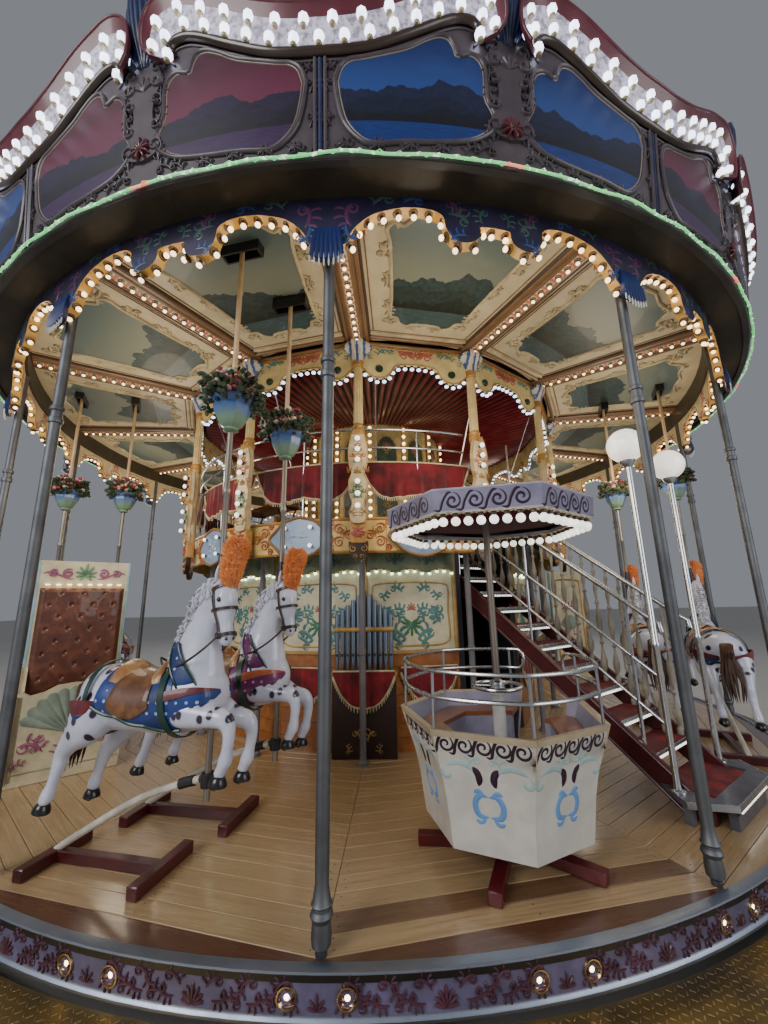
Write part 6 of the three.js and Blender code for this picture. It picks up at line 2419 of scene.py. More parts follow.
def tub_rails():
    """Both rails in one run: they meet in a half round at each side of the doorway."""
    low, high = rail_path(RAIL_LOW), rail_path(RAIL_HIGH)
    reach = (RAIL_HIGH - RAIL_LOW) / 2
    bend = np.linspace(-math.pi / 2, math.pi / 2, 11)[1:-1]
    ends = []
    for line, sign in ((low, 1), (low, -1)):
        last = line[-1] if sign == 1 else line[0]
        way = (line[-1] - line[-3]) if sign == 1 else (line[0] - line[2])
        way = way / np.linalg.norm(way) * 0.05
        ends.append(last + way * np.cos(bend)[:, None]
                    + np.array([0, 0, reach]) * (1 + np.sin(bend * sign))[:, None])
    path = np.concatenate([low, ends[0], high[::-1], ends[1]])
    forms = [tube(path, 0.0125, 10, (0, 0.001, 1), 0, True)]
    for side in range(TUB_SIDES):
        at = np.array([side * TUB_TURN])
        forms.append(tube(np.concatenate([ring(0.668, at, 0.8), ring(0.662, at, RAIL_HIGH)]), 0.01, 8,
                          (1, 0.3, 0)))
    return join(forms)


def basket_paint():
    """Each side: a row of five dark curls under the rim, pale swirls, a pair of crescents and a blue knot."""
    row = drawn(running_scroll(0.55, 5, 0.066), 0, 0.775)
    crescents = []
    for x in (-0.04, 0.04):
        crescents.append((bezier([(x * 2.2, 0.655), (x, 0.64), (x * 0.8, 0.59), (x * 1.3, 0.55)], 12), 0.042))
    arch = bezier([(0.05, 0.62), (0.1, 0.68), (0.17, 0.69), (0.24, 0.64)], 14)
    swirls = [(arch, 0.034), (curl((0.23, 0.6), 0.035, 1.3, 0.8, -1, 16, 0.3), 0.026)]
    swirls += drawn(scroll_leaf(), 0.1, 0.64, 0.11, -0.6, True)
    knot = [(smooth_line([(0.0, 0.495), (0.05, 0.5), (0.08, 0.45), (0.062, 0.39), (0.0, 0.385)], 20), 0.036),
            (smooth_line([(0.02, 0.5), (0.055, 0.525), (0.085, 0.51)], 8), 0.024),
            (smooth_line([(0.02, 0.375), (0.055, 0.35), (0.085, 0.365)], 8), 0.024)]
    forms = [carving(row, 0.003, tub_place, 0), carving(crescents, 0.003, tub_place, 0),
             paired(swirls, 0.0025, tub_place, 1), paired(knot, 0.003, tub_place, 2)]
    return all_sides(join(forms), WALLED_SIDES)


def tub_stand():
    """Red arms, a pale post, a thin pole, and a chrome wheel on three spokes."""
    forms = []
    for arm in range(5):
        angle = arm * 2 * math.pi / 5 + math.pi
        forms.append(bar((0, -0.05, 0.038 + DECK), (0, -0.6, 0.036 + DECK), 0.08, 0.07,
                         0.006).at(spin(angle)))
    for profile, sides, mark in (
        ([(0, 0.076), (0.15, 0.076), (0.15, 0.15), (0.12, 0.1745), (0, 0.1745)], 24, 0),
        ([(0, 0.1), (0.045, 0.1), (0.045, 0.94), (0.05, 0.945), (0.05, 0.96), (0, 0.965)], 20, 1),
        ([(0, 0.965), (0.05, 0.965), (0.055, 1.0), (0.05, 1.03), (0.03, 1.045), (0, 1.045)], 20, 2),
        ([(0, 1.045), (0.026, 1.045), (0.026, 2.1995), (0, 2.1995)], 16, 3),
    ):
        forms.append(turned(profile, sides, mark).at(shift=(0, 0, DECK)))
    angle = np.linspace(0, 2 * math.pi, 49)[:-1]
    forms.append(tube(ring(0.166, angle, 1.0), 0.014, 10, loop=True, mark=2))
    for spoke in range(3):
        way = np.array([spoke * 2 * math.pi / 3])
        forms.append(tube(np.concatenate([ring(0.04, way, 1.0), ring(0.163, way, 1.0)]), 0.008, 8, mark=2))
    return join(forms)


def tub_canopy():
    """A leaning painted board round a burgundy ceiling, with a low tent roof above."""
    board = faceted([(0.69, 2.15), (0.745, 2.15), (0.75, 2.16), (0.764, 2.295), (0.768, 2.305), (0.735, 2.31),
                     (0, 2.388),
                     (0, 2.378), (0.7, 2.3), (0.69, 2.2), (0.69, 2.15)], [1, 1, 0, 1, 1, 3, 2, 2, 2, 1])
    under = faceted([(0.03, 2.2), (0.69, 2.2), (0.69, 2.21), (0.03, 2.21), (0.03, 2.2)], 2)
    return join([board, under])


def canopy_paint():
    """A row of curls along each side of the canopy's board."""
    row = drawn(running_scroll(0.56, 4, 0.07), 0, 2.222)
    return all_sides(carving(row, 0.003, canopy_place, 0))


def canopy_lamps():
    x = np.linspace(-0.275, 0.275, 8)
    spots = upright(x, -0.719 * TUB_FLAT, 2.15) @ spin(TUB_TURN / 2).T
    dish = turned([(0, 0.002), (0.036, 0.002), (0.036, -0.006), (0, -0.006)], 12, 2)
    return all_sides(copies(join([bulb(0.03, 1.4, 10), dish]), spots))


def tubs():
    """Two tubs: the basket turns with its rails and paint, and the stand carries the canopy."""
    white = enamel("tub_white", "d2cfc6", 0.25, 0.12, 0.6)
    beige = enamel("rim_beige", "bfae90", 0.35)
    lilac = enamel("tub_lilac", "8e8a9c", 0.35)
    brown = enamel("seat_brown", "8a5230", 0.3, 0.25, 0.5)
    purple = enamel("scroll_purple", "2e1030", 0.3)
    sky = enamel("swirl_pale", "a9c3c4", 0.35)
    knot = enamel("knot_blue", "6f9fd8", 0.35)
    red = enamel("tub_red", "5c1418", 0.32, 0.25)
    post = enamel("post_white", "d6d2cc", 0.28)
    pole = metal("tub_pole", "8a8078", 0.36)
    fascia = enamel("canopy_lavender", "8d89a4", 0.35, 0.25)
    silver = enamel("canopy_lip", "b9b4bc", 0.3)
    burgundy = enamel("canopy_burgundy", "540c16", 0.85, 0.3, 0.0)
    for index, (radius, angle, turn) in enumerate(TUBS):
        name = f"tub_{index + 1}"
        spot = ring(radius, np.array(angle), -DECK)
        body = f"{name}_basket"
        for part, form, finishes, slot, replaced in (
            ("shell", basket(), [white, beige, lilac], "tub_white", [body]),
            ("seat", seat_ring(), [brown, lilac], "tub_white", [body]),
            ("rails", tub_rails(), [chrome], "rail_chrome", [body]),
            ("paint", basket_paint(), [purple, sky, knot], "tub_white", []),
        ):
            show(f"{body}_{part}", form.at(spin(angle + turn), spot), finishes, body, replaced)
        for part, form, finishes, slot, replaced in (
            ("stand_parts", tub_stand(), [red, post, chrome, pole], "tub_red", [f"{name}_stand"]),
            ("canopy_board", tub_canopy(), [fascia, silver, burgundy, fascia], "tub_lilac",
             [f"{name}_canopy"]),
            ("canopy_paint", canopy_paint(), [purple], "tub_lilac", []),
            ("canopy_lamps", canopy_lamps(), [socket_finish, white_lamp, beige], "tub_lilac", []),
        ):
            show(f"{name}_{part}", form.at(spin(angle), spot), finishes, replaces=replaced)


# Carriages, each drawn about its own middle: x forwards, -y to the outside

CARRIAGES = [(4.16, math.radians(-48.5)), (4.16, 4.5 * BAY), (4.16, 9.5 * BAY)]
CAR_HALF = 0.44
CAR_BACK, CAR_FRONT = -0.35, 0.35
PAD_FOOT = 0.46


def across_car(x, y, out):
    """On a board across the carriage: x runs to the inside, y is a height, and out points forwards."""
    return upright(out, x, y)


def car_side(x, y, out):
    """On the board at the carriage's outer side."""
    return upright(x, -(CAR_HALF + out), y)


def tufted(wide, high, pitch, swell, columns=90, rows=150):
    """A buttoned pad in its own plane: the filling stands highest between folds that cross at the buttons."""
    x = np.linspace(-wide / 2, wide / 2, columns)[None]
    y = np.linspace(0, high, rows)[:, None]
    a = x / pitch[0] + y / pitch[1]
    b = x / pitch[0] - y / pitch[1]
    far = np.sqrt(np.sin(a * math.pi) ** 2 + np.sin(b * math.pi) ** 2)
    folds = np.sqrt(np.abs(np.sin(a * math.pi) * np.sin(b * math.pi)) + 1e-9)
    puff = 1 - 0.5 * np.exp(-(far / 0.3) ** 2) - 0.07 * np.exp(-(folds / 0.12) ** 2)
    edge = np.minimum(wide / 2 - np.abs(x), np.minimum(y, high - y))
    rim = np.sqrt(np.clip(edge / 0.045, 0, 1))
    return x + 0 * y, y + 0 * x, swell * rim * (0.3 + 0.7 * puff)


def back_pad():
    """The tall buttoned back, with a button wherever two folds cross."""
    x, y, out = tufted(0.8, 1.36, (0.2, 0.26), 0.05)
    front = across_car(x, y + PAD_FOOT, CAR_BACK + 0.072 + out)
    back = across_car(x, y + PAD_FOOT, CAR_BACK + 0.072 + 0 * out)
    buttons = [(column * 0.1, row * 0.13) for row in range(1, 10) for column in range(-3, 4)
               if (row + column) % 2 == 0]
    across, up = np.array(buttons).T
    spots = across_car(across, up + PAD_FOOT, CAR_BACK + 0.1)
    button = turned([(0, 0.009), (0.008, 0.007), (0.012, 0), (0.008, -0.004), (0, -0.004)], 10, 1)
    button = button.at([[0, 0, 1], [0, 1, 0], [-1, 0, 0]])
    return join([shell_between(front, back), copies(button, spots)])


def seat_pad():
    """The seat cushion, crowned, with one fold across its middle."""
    half, deep = 0.4, 0.37
    x = np.linspace(-half, half, 46)[None]
    y = np.linspace(0, deep, 24)[:, None]
    edge = np.minimum(half - np.abs(x), np.minimum(y, deep - y))
    rise = (0.075 * np.clip(edge / 0.07, 0, 1) ** 0.5 + 0.012 * np.cos(x * 3)
            - 0.012 * np.exp(-(x / 0.012) ** 2))
    top = np.stack(np.broadcast_arrays(CAR_BACK + 0.075 + y, x + 0 * y, DECK + 0.43 - 0.03 + rise), -1)
    low = np.stack(np.broadcast_arrays(CAR_BACK + 0.075 + y, x + 0 * y, DECK + 0.372 + 0 * rise), -1)
    return shell_between(top, low)


def carriage_body():
    """Floor, back board, seat box, front board and the outer side's cut-out board. Marks: 0 cream, 1 blue
    edge."""
    forms = [block((CAR_BACK, -CAR_HALF, DECK + SEAT), (CAR_FRONT, CAR_HALF, DECK + 0.12), 0.006)]
    forms.append(block((CAR_BACK, -CAR_HALF, DECK + 0.12), (CAR_BACK + 0.07, CAR_HALF, DECK + 2.13), 0.008))
    forms.append(block((CAR_BACK + 0.07, -0.4, DECK + 0.12), (CAR_BACK + 0.45, 0.4, DECK + 0.37), 0.006))
    for side in (-1, 1):
        forms.append(block((CAR_BACK + 0.004, side * 0.432 - 0.012, DECK + 0.14),
                           (CAR_BACK + 0.074, side * 0.432 + 0.012, DECK + 2.12), 0.004).marked(1))
    front = [(0, 0.86), (0.14, 0.85), (0.24, 0.8), (0.34, 0.78), (0.4, 0.82), (0.44, 0.8), (0.44, 0.1),
             (0, 0.1)]
    forms.append(patch(both_sides(np.array(front)), (0, 0.45), across_car, CAR_FRONT, 0.05))
    side = [(-0.35, 0.05), (0.35, 0.05), (0.35, 0.78), (0.3, 0.8), (0.2, 0.72), (0.1, 0.68), (0, 0.7),
            (-0.12, 0.76), (-0.2, 0.86), (-0.26, 0.98), (-0.35, 1.0)]
    outline = np.array(side)
    forms.append(patch(outline, (0, 0.4), car_side, 0.0, 0.045))
    forms.append(round_rail(outline, 0.03, car_side, 2, True, -0.004))
    return join(forms)


def fluted_shell(place, foot, reach, ribs=11):
    """A fan shell: each rib's height and the scalloped edge follow the same rectified sine across the fan."""
    lean = np.linspace(-1.25, 1.25, ribs * 6 + 1)[None]
    out = np.linspace(0.05, 1, 10)[:, None]
    ridge = np.abs(np.sin((lean / 2.5 + 0.5) * ribs * math.pi))
    radius = reach * (0.93 + 0.07 * ridge) * out
    x, y = radius * np.sin(lean), foot + radius * np.cos(lean)
    top = place(x, y, 0.004 + 0.016 * (0.2 + 0.8 * ridge) * np.minimum(1, 3 * out))
    return shell_between(top, place(x, y, 0 * x - 0.001))


def carriage_carving():
    """Marks: 0 grey-green shell, 1 pink scrolls, 2 gold, 3 green leaf."""
    forms = []
    scrolls = leaf_group([(0.19, 0.26, 0.22, 0.2), (0.3, 0.4, 0.15, 1.4, True), (0.1, 0.2, 0.16, -0.5, True),
                          (0.31, 0.17, 0.12, -0.2)])
    for place, foot, reach in ((raised(across_car, CAR_FRONT), 0.4, 0.43), (car_side, 0.22, 0.42)):
        base = drawn(palmette(5, 1.5), 0, foot - 0.01, 0.09, math.pi)
        forms += [fluted_shell(place, foot, reach), carving(base, 0.024, place, 2),
                  paired(scrolls, 0.014, place, 1)]
    head = raised(across_car, CAR_BACK + 0.07)
    vine = [(curl((x, 1.99), size, 2.6, 1.5, -1, 24, 0.12), 0.034) for x,
            size in ((0.17, 0.055), (0.3, 0.045))]
    vine.append((bezier([(0.1, 1.93), (0.22, 1.9), (0.3, 2.06), (0.4, 1.98)], 18), 0.024))
    forms.append(paired(vine, 0.014, head, 1))

    def rear(x, y, out):
        return across_car(-np.asarray(x), y, CAR_BACK - out)
    edge = smooth_line([(0, 0.3), (0.28, 0.3), (0.36, 0.38), (0.36, 1.1), (0.36, 1.85), (0.28, 1.95),
                        (0, 1.97)], 50)
    forms.append(round_rail(both_sides(edge), 0.03, rear, 2, True))
    forms.append(fluted_shell(rear, 0.95, 0.3))
    forms.append(paired(leaf_group([(0.02, 0.85, 0.26, -0.5), (0.04, 1.4, 0.26, 0.4, True)]), 0.012, rear, 1))
    crown = drawn(palmette(9, 2.4), 0, 1.97, 0.14) + [([(-0.07, 1.95), (0.07, 1.95)], 0.1)]
    forms.append(carving(crown, 0.022, head, 3))
    return join(forms)


def carriage_lamps():
    x = np.linspace(-0.34, 0.34, 8)
    lens = turned([(0, 0.006), (0.022, 0.006), (0.026, 0), (0.022, -0.006), (0, -0.008)], 10, 1)
    return copies(lens, across_car(x, 1.858 + 0 * x, CAR_BACK + 0.095 + 0 * x))


def carriages():
    """Three carriages with padded backs and seats."""
    board = enamel("carriage_cream", "cfc4a2", 0.35, 0.2)
    blue = enamel("carriage_edge", "8fb8c8", 0.35)
    beige = enamel("carriage_lip", "a08a66", 0.35)
    tan = leather("carriage_leather", "54291a", "74412b", 0.36)
    button = leather("button_leather", "6e4028", "9a6a44", 0.25)
    shell_green = enamel("shell_green", "8a9a8c", 0.35, 0.25)
    pink = enamel("scroll_pink", "9a5a78", 0.35, 0.25)
    green = enamel("leaf_shell", "6d9478", 0.35, 0.25)
    for index, (radius, angle) in enumerate(CARRIAGES):
        name = f"carriage_{index + 1}"
        spot = ring(radius, np.array(angle), -DECK)
        for part, form, finishes, replaced, crease, fill in (
            ("body", carriage_body(), [board, blue, beige], [name], 35, None),
            ("back_pad", back_pad(), [tan, button], [name], 60, 0.8),
            ("seat_pad", seat_pad(), [tan], [name], 60, 0.7),
            ("carving", carriage_carving(), [shell_green, pink, gold, green], [], 35, None),
            ("lamps", carriage_lamps(), [socket_finish, brass_lamp], [], 35, None),
        ):
            piece = show(f"{name}_{part}", form.at(spin(angle), spot), finishes, "turntable",
                         replaced, crease)


# Stair: drawn about angle 0, straight out from the axis, and turned to its bay

RISERS = 13
RISER = UPPER_DECK / RISERS
STAIR_SLOPE = 0.774
GOING = RISER / STAIR_SLOPE
LANDING_EDGE = 1.66
STAIR_HALF = 0.35
RAIL_SIDE = 0.325


def tread_edge(step):
    return LANDING_EDGE + (RISERS - step) * GOING


def nosing(radius):
    return UPPER_DECK - (radius - LANDING_EDGE) * STAIR_SLOPE


def at_stair(form):
    return form.at(spin(STAIR_ANGLE))


def treads():
    """Open treads. Marks: 0 red mat, 1 chrome nosing, 2 dark lamp rail."""
    forms = []
    for step in range(2, RISERS):
        edge, height = tread_edge(step), DECK + step * RISER
        overlap = 0.02 if step < RISERS - 1 else 0
        back = -tread_edge(step + 1) + overlap
        forms.append(block((-STAIR_HALF, -edge, height - 0.03), (STAIR_HALF, back, height), 0.003))
        nose = [(x, -edge - 0.004, height - 0.013) for x in (-STAIR_HALF, STAIR_HALF)]
        forms.append(bar(*nose, 0.012, 0.03, 0.003, mark=1))
        lamp_rail = [(x, -edge + 0.026, height - 0.052) for x in (-STAIR_HALF + 0.01, STAIR_HALF - 0.01)]
        forms.append(bar(*lamp_rail, 0.016, 0.04, 0.003, mark=2))
    forms.append(block((-STAIR_HALF, -4.699, DECK + RISER - 0.04), (STAIR_HALF, -tread_edge(2), DECK + RISER),
                       0.003))
    return at_stair(join(forms))


def tread_lamps():
    """A row of small round bulbs under the nosing of each tread."""
    x = np.linspace(-STAIR_HALF + 0.035, STAIR_HALF - 0.035, 15)
    small = turned([(0, 0.012), (0.008, 0.0095), (0.0125, 0.003), (0.0125, -0.004), (0.008, -0.01),
                    (0, -0.012)], 8, 1)
    rows = [np.stack([x, 0 * x - tread_edge(step) + 0.01, 0 * x + DECK + step * RISER - 0.05], -1)
            for step in range(2, RISERS)]
    rows.append(np.stack([x, 0 * x - 4.824, 0 * x + DECK + RISER - 0.066], -1))
    return at_stair(copies(small, np.concatenate(rows)))


def bottom_tread():
    """A winged lowest tread with a chrome edge on legs. Marks: 0 dark plate, 1 chrome."""
    def top(x, y, out):
        return np.stack(np.broadcast_arrays(x, -np.asarray(y), DECK + RISER + out), -1).astype(float)
    wing = np.array([(0.4, 4.7), (0.41, 4.84), (0.62, 4.6), (0.4, 4.36)])
    slab = patch(wing, (0.47, 4.62), top, 0.0, 0.04)
    front = block((-0.405, -4.84, DECK + RISER - 0.04), (0.405, -4.7005, DECK + RISER), 0.003)
    edge = np.array([(0.62, 4.6), (0.41, 4.84), (-0.41, 4.84), (-0.62, 4.6)])
    line = np.stack([edge[:, 0], -edge[:, 1], np.full(4, DECK + RISER - 0.02)], -1)
    rim = [bar(line[index], line[index + 1], 0.012, 0.046, 0.003, mark=1) for index in range(3)]
    legs = [block((side * 0.48 - 0.03, -4.59, DECK + SEAT), (side * 0.48 + 0.03, -4.53, DECK + RISER - 0.04),
                  0.003)
            for side in (-1, 1)]
    toe = block((-0.35, -4.81, DECK + SEAT), (0.35, -4.75, DECK + RISER - 0.04), 0.003)
    strip = bar((-0.35, -4.81, DECK + RISER - 0.068), (0.35, -4.81, DECK + RISER - 0.068), 0.012, 0.044,
                0.003, mark=2)
    return at_stair(join([slab, mirror(slab), front, toe, strip] + rim + legs))


def stringer(side):
    """A board beside the treads with a raised edge along its top and its bottom."""
    deep = 0.24
    foot = 4.69
    toe = LANDING_EDGE + (UPPER_DECK - deep) / STAIR_SLOPE
    end = LANDING_EDGE + SEAT
    outline = np.array([(-foot, SEAT), (-toe, SEAT), (-end, nosing(end) - deep), (-end, nosing(end) - 0.005),
                        (-foot, nosing(foot) - 0.005)])
    inner = STAIR_HALF + SEAT

    def place(x, y, out):
        return upright(side * (inner + 0.04 + out), x, y)
    board = patch(outline, (-3.4, 0.95), place, 0.0, 0.04)
    lines = [np.array([(-foot + 0.01, nosing(foot) - 0.02), (-end - 0.01, nosing(end) - 0.02)]),
             np.array([(-toe, 0.02), (-end - 0.01, nosing(end) - deep + 0.02)])]
    edges = [round_rail(line, 0.028, place, 0) for line in lines]
    return at_stair(join([board] + edges))


def slope_tube(side, above, radius):
    """A rail at a height over the nosings; the top rail also bends down at its foot."""
    ends = [(side, -r, DECK + nosing(r) + above) for r in (4.44, 1.9)]
    low = [(side, -4.5, DECK + nosing(4.44) + above - 0.1), (side, -4.49, DECK + nosing(4.44) + above - 0.03)]
    path = np.array(low + ends if above > 1 else ends)
    return tube(path, radius, 12, (1, 0, 0))


def handrail():
    """Three rails on posts that stand on the treads."""
    forms = [slope_tube(-RAIL_SIDE, above, radius) for above,
             radius in ((1.12, 0.022), (0.66, 0.014), (0.3, 0.014))]
    for step in (2, 6, 10):
        spot = tread_edge(step) - 0.09
        post = [(-RAIL_SIDE, -spot, DECK + step * RISER + SEAT),
                (-RAIL_SIDE, -spot, DECK + nosing(spot) + 1.12)]
        flange = turned([(0, SEAT), (0.036, SEAT), (0.034, 0.01), (0.018, 0.016), (0, 0.016)], 16)
        forms += [tube(post, 0.016, 10, (1, 0, 0)), flange.at(shift=post[0])]
    return at_stair(join(forms))


def baluster(high):
    """A turned baluster: a foot, a long vase, a ringed waist and a tapered neck."""
    share = [(0, 0), (0.026, 0), (0.026, 0.04), (0.011, 0.06), (0.03, 0.11), (0.034, 0.16), (0.012, 0.25),
             (0.009, 0.29),
             (0.024, 0.31), (0.009, 0.33), (0.024, 0.42), (0.03, 0.5), (0.01, 0.62), (0.024, 0.645),
             (0.009, 0.67), (0.022, 0.76), (0.01, 0.87), (0.022, 0.92), (0.01, 0.94), (0.014, 1), (0, 1)]
    return turned([(radius, rise * high) for radius, rise in share], 12, 1)


def balustrade():
    """Two balusters to a tread under one rail. Marks: 0 chrome, 1 cream."""
    forms = [slope_tube(RAIL_SIDE, 1.12, 0.022)]
    for step in range(2, RISERS - 1):
        for back in (0.05, 0.172):
            spot = tread_edge(step) - back
            if spot > 1.95:
                foot = step * RISER + SEAT
                forms.append(baluster(nosing(spot) + 1.1 - foot).at(shift=(RAIL_SIDE, -spot, DECK + foot)))
    return at_stair(join(forms))


def globe_lamp(side):
    """A round opal lamp on a stem beside the stair. Marks: 0 chrome, 1 opal glass."""
    foot, globe, radius = RISER + SEAT, 2.91, 0.15
    stem = turned([(0, foot), (0.06, foot), (0.058, foot + 0.012), (0.03, foot + 0.02), (0.026, foot + 0.06),
                   (0.024, foot + 0.1), (0.024, 1.2), (0.03, 1.21), (0.03, 1.24), (0.024, 1.25),
                   (0.024, globe - 0.2), (0.034, globe - 0.19), (0.06, globe - 0.16), (0.066, globe - 0.14),
                   (0, globe - 0.13)], 20)
    angle = np.linspace(0.14, 1, 15)[:-1] * math.pi
    sphere = [(radius * math.sin(a), globe - radius * math.cos(a)) for a in angle]
    glass = turned([(0, globe - radius)] + sphere + [(0, globe + radius)], 28, 1)
    return at_stair(join([stem, glass]).at(shift=(side * 0.47, -4.5, DECK)))


def mat(name, colour, deep):
    """Ribbed red step mat, scuffed deeper red in a soft cloud."""
    finish = Finish(name)
    x, y, _ = finish.parts(finish.spot())
    rib = ((x * math.cos(STAIR_ANGLE) + y * math.sin(STAIR_ANGLE)) * 120).wave()
    scuff = finish.cloud(7, 5)
    finish.set(Base_Color=finish.mix(scuff.between(0.35, 0.75), rgb(deep), rgb(colour)),
               Roughness=0.5 + scuff * 0.25)
    finish.bump(rib, 0.0012, 0.6)
    return finish.material


def stair():
    """The stair up to the balcony, from its treads to the two globe lamps at its foot."""
    red = mat("stair_mat", "8a2028", "4c0e14")
    riser = enamel("stair_riser", "2a2226", 0.45)
    show("stair_steps", treads(), [red, chrome, riser], replaces=["stair_treads"])
    show("stair_lamps", tread_lamps(), [socket_finish, white_lamp])
    plate = enamel("bottom_plate", "55545c", 0.35, 0.3)
    show("stair_foot", bottom_tread(), [plate, chrome, riser],
         replaces=["stair_bottom_tread"])
    wood = enamel("stringer_red", "4f151b", 0.35, 0.25)
    show("stringer_left", stringer(-1), [wood], replaces=["stair_stringer_left"])
    show("stringer_right", stringer(1), [wood], replaces=["stair_stringer_right"])
    show("stair_rails", handrail(), [chrome], replaces=["stair_handrail"])
    pale = enamel("baluster_cream", "97907f", 0.35, 0.3)
    show("stair_balusters", balustrade(), [chrome, pale],
         replaces=["stair_balustrade"])
    opal = glow("opal_glass", "fff6e6", 1.1)
    show("globe_left", globe_lamp(-1), [chrome, opal], replaces=["globe_lamp_left"])
    show("globe_right", globe_lamp(1), [chrome, opal], replaces=["globe_lamp_right"])


# Stage under the upper floor, with the organ, the posts and the drum above

STAGE_FACE = STAGE_OUT * math.cos(HALF_BAY)
STAGE_HALF = STAGE_OUT * math.sin(HALF_BAY)


def stage_walls():
    """Planks below, a cream board above and a fillet at each corner. Marks: 0 cream, 1 planks, 2 gold, 3
    dark."""
    place = flat_bay(STAGE_FACE)
    forms = [block((-STAGE_HALF, -STAGE_FACE, DECK + 1.04), (STAGE_HALF, -STAGE_FACE + 0.055, DECK + 2.3992),
                   0.002)]
    for row in range(7):
        low = 0.001 + row * 0.146
        forms.append(block((-STAGE_HALF, -STAGE_FACE - 0.004, DECK + low),
                           (STAGE_HALF, -STAGE_FACE + 0.05, DECK + low + 0.142), 0.004, 1))
    forms.append(block((-STAGE_HALF, -STAGE_FACE - 0.03, DECK + 1.02),
                       (STAGE_HALF, -STAGE_FACE + 0.05, DECK + 1.055), 0.004, 2))
    for x in (-STAGE_HALF + 0.02, STAGE_HALF - 0.02):
        forms.append(round_rail(np.array([(x, 1.06), (x, 2.39)]), 0.05, place, 2))
    return every_bay(join(forms), CLOSED_BAYS)


def stair_well():
    """The dark sides and back of the well behind the stair."""
    foot, head = DECK + SEAT, DECK + 2.3997
    forms = []
    for side in (-1, 1):
        wall, jamb = side * 0.49, side * 0.535
        forms.append(block((wall - 0.03, -STAGE_FACE, foot), (wall + 0.03, -1.27, head), 0.002))
        forms.append(block((jamb - 0.02, -STAGE_FACE - 0.004, foot), (jamb + 0.02, -STAGE_FACE + 0.03, head),
                           0.002))
    forms.append(block((-0.46, -1.3, foot), (0.46, -1.24, head), 0.002))
    return at_stair(join(forms))


def stage_paint():
    """Teal scrolls on each cream board about a green shell. Marks: 0 teal, 1 green, 2 gold line, 3 rose."""
    place = flat_bay(STAGE_FACE)
    scrolls = leaf_group([
        (0.08, 1.16, 0.22, 0.3), (0.27, 1.2, 0.2, 0.9, True), (0.36, 1.34, 0.22, 1.5),
        (0.33, 1.56, 0.2, 1.9, True),
        (0.16, 1.34, 0.16, 1.2), (0.22, 1.5, 0.16, 0.4, True), (0.1, 1.7, 0.16, 0.2),
        (0.28, 1.74, 0.14, 2.6, True),
    ])
    forms = [paired([(line, wide * 1.7) for line, wide in scrolls], 0.005, place, 0)]
    forms.append(carving(drawn(palmette(9, 2.0), 0, 1.36, 0.16, math.pi), 0.012, place, 1))
    forms.append(carving(drawn(palmette(7, 1.6), 0, 1.5, 0.09), 0.01, place, 3))
    curve = smooth_line([(0, 1.1), (0.3, 1.1), (0.42, 1.13), (0.46, 1.2), (0.45, 1.5), (0.46, 1.72),
                         (0.4, 1.8), (0, 1.82)], 40)
    forms.append(round_rail(both_sides(curve), 0.02, place, 2, True))
    return every_bay(join(forms), CLOSED_BAYS)


def board_scallop(x):
    """Height of the lamp board's lower edge: three arches to a bay."""
    return 1.93 + 0.05 * np.abs(np.cos(x / STAGE_HALF * math.pi * 1.5)) ** 0.8


def lamp_board():
    """A scalloped greenish board at the top of each panel with lamps under its edge."""
    place = flat_bay(STAGE_FACE + 0.05)
    x = np.linspace(-STAGE_HALF + 0.03, STAGE_HALF - 0.03, 61)
    low = board_scallop(x)
    top = 2.18 + 0 * x
    height = np.stack([low, top, top, low, low], 1)
    out = np.array([[0, 0, -0.03, -0.03, 0]]) + 0 * height
    board = sheet(capped(place(x[:, None] + 0 * out, height, out))).outward()
    edge = np.stack([x, low], -1)
    leaves = leaf_group([(0.1, 2.04, 0.15, 0.1), (0.3, 2.04, 0.15, 0.1, True)])
    forms = [board, round_rail(edge, 0.014, place, 1), paired(leaves, 0.008, place, 2)]
    return every_bay(join(forms), CLOSED_BAYS)


def lamp_board_lamps():
    x = np.linspace(-STAGE_HALF + 0.05, STAGE_HALF - 0.05, 12)
    spots = flat_bay(STAGE_FACE + 0.035)(x, board_scallop(x), 0 * x)
    return every_bay(copies(bulb(0.022, 1.0, 8), spots), CLOSED_BAYS)


def case_place(x, y, out):
    """On the front of the organ's case."""
    return upright(x, -(STAGE_OUT + SEAT + 0.12 + out), y)


def organ():
    """Grey-blue pipes with mouths on a carved case. Marks: 0 pipe, 1 case, 2 gold, 3 dark mouth, painted
    shade for each pipe's opening.
    """
    back = STAGE_OUT + SEAT
    forms = [block((-0.345, -back - 0.12, DECK + SEAT), (0.345, -back, DECK + 0.85), 0.008, 1),
             block((-0.36, -back - 0.135, DECK + 0.82), (0.36, -back, DECK + 0.86), 0.006, 2)]
    for index in range(11):
        x = index * 0.06 - 0.3
        high = 0.84 + 0.89 - 0.9 * abs(x)
        pipe = turned([(0, 0.861), (0.012, 0.861), (0.016, 0.88), (0.026, 1.0), (0.0265, high), (0.023, high),
                       (0.023, high - 0.02), (0, high - 0.02)], 16)
        # Each mouth is a dark bar on the pipe: painted shade in place of the opening.
        mouth = [(x + off, -back - 0.0845, DECK + 1.03) for off in (-0.012, 0.012)]
        lip = [(x + off, -back - 0.084, DECK + 1.05) for off in (-0.016, 0.016)]
        forms += [pipe.at(shift=(x, -back - 0.058, DECK)), bar(*mouth, 0.006, 0.028, 0.002, mark=3),
                  tube(lip, 0.004, 6, mark=2)]
    forms.append(round_rail(np.array([(-0.33, 1.3), (0.33, 1.3)]), 0.05, raised(case_place, -0.032), 2))
    scrolls = leaf_group([(0.04, 0.16, 0.14, 0.8), (0.2, 0.14, 0.1, 1.4, True)])
    return join(forms + [paired(scrolls, 0.01, case_place, 2)])


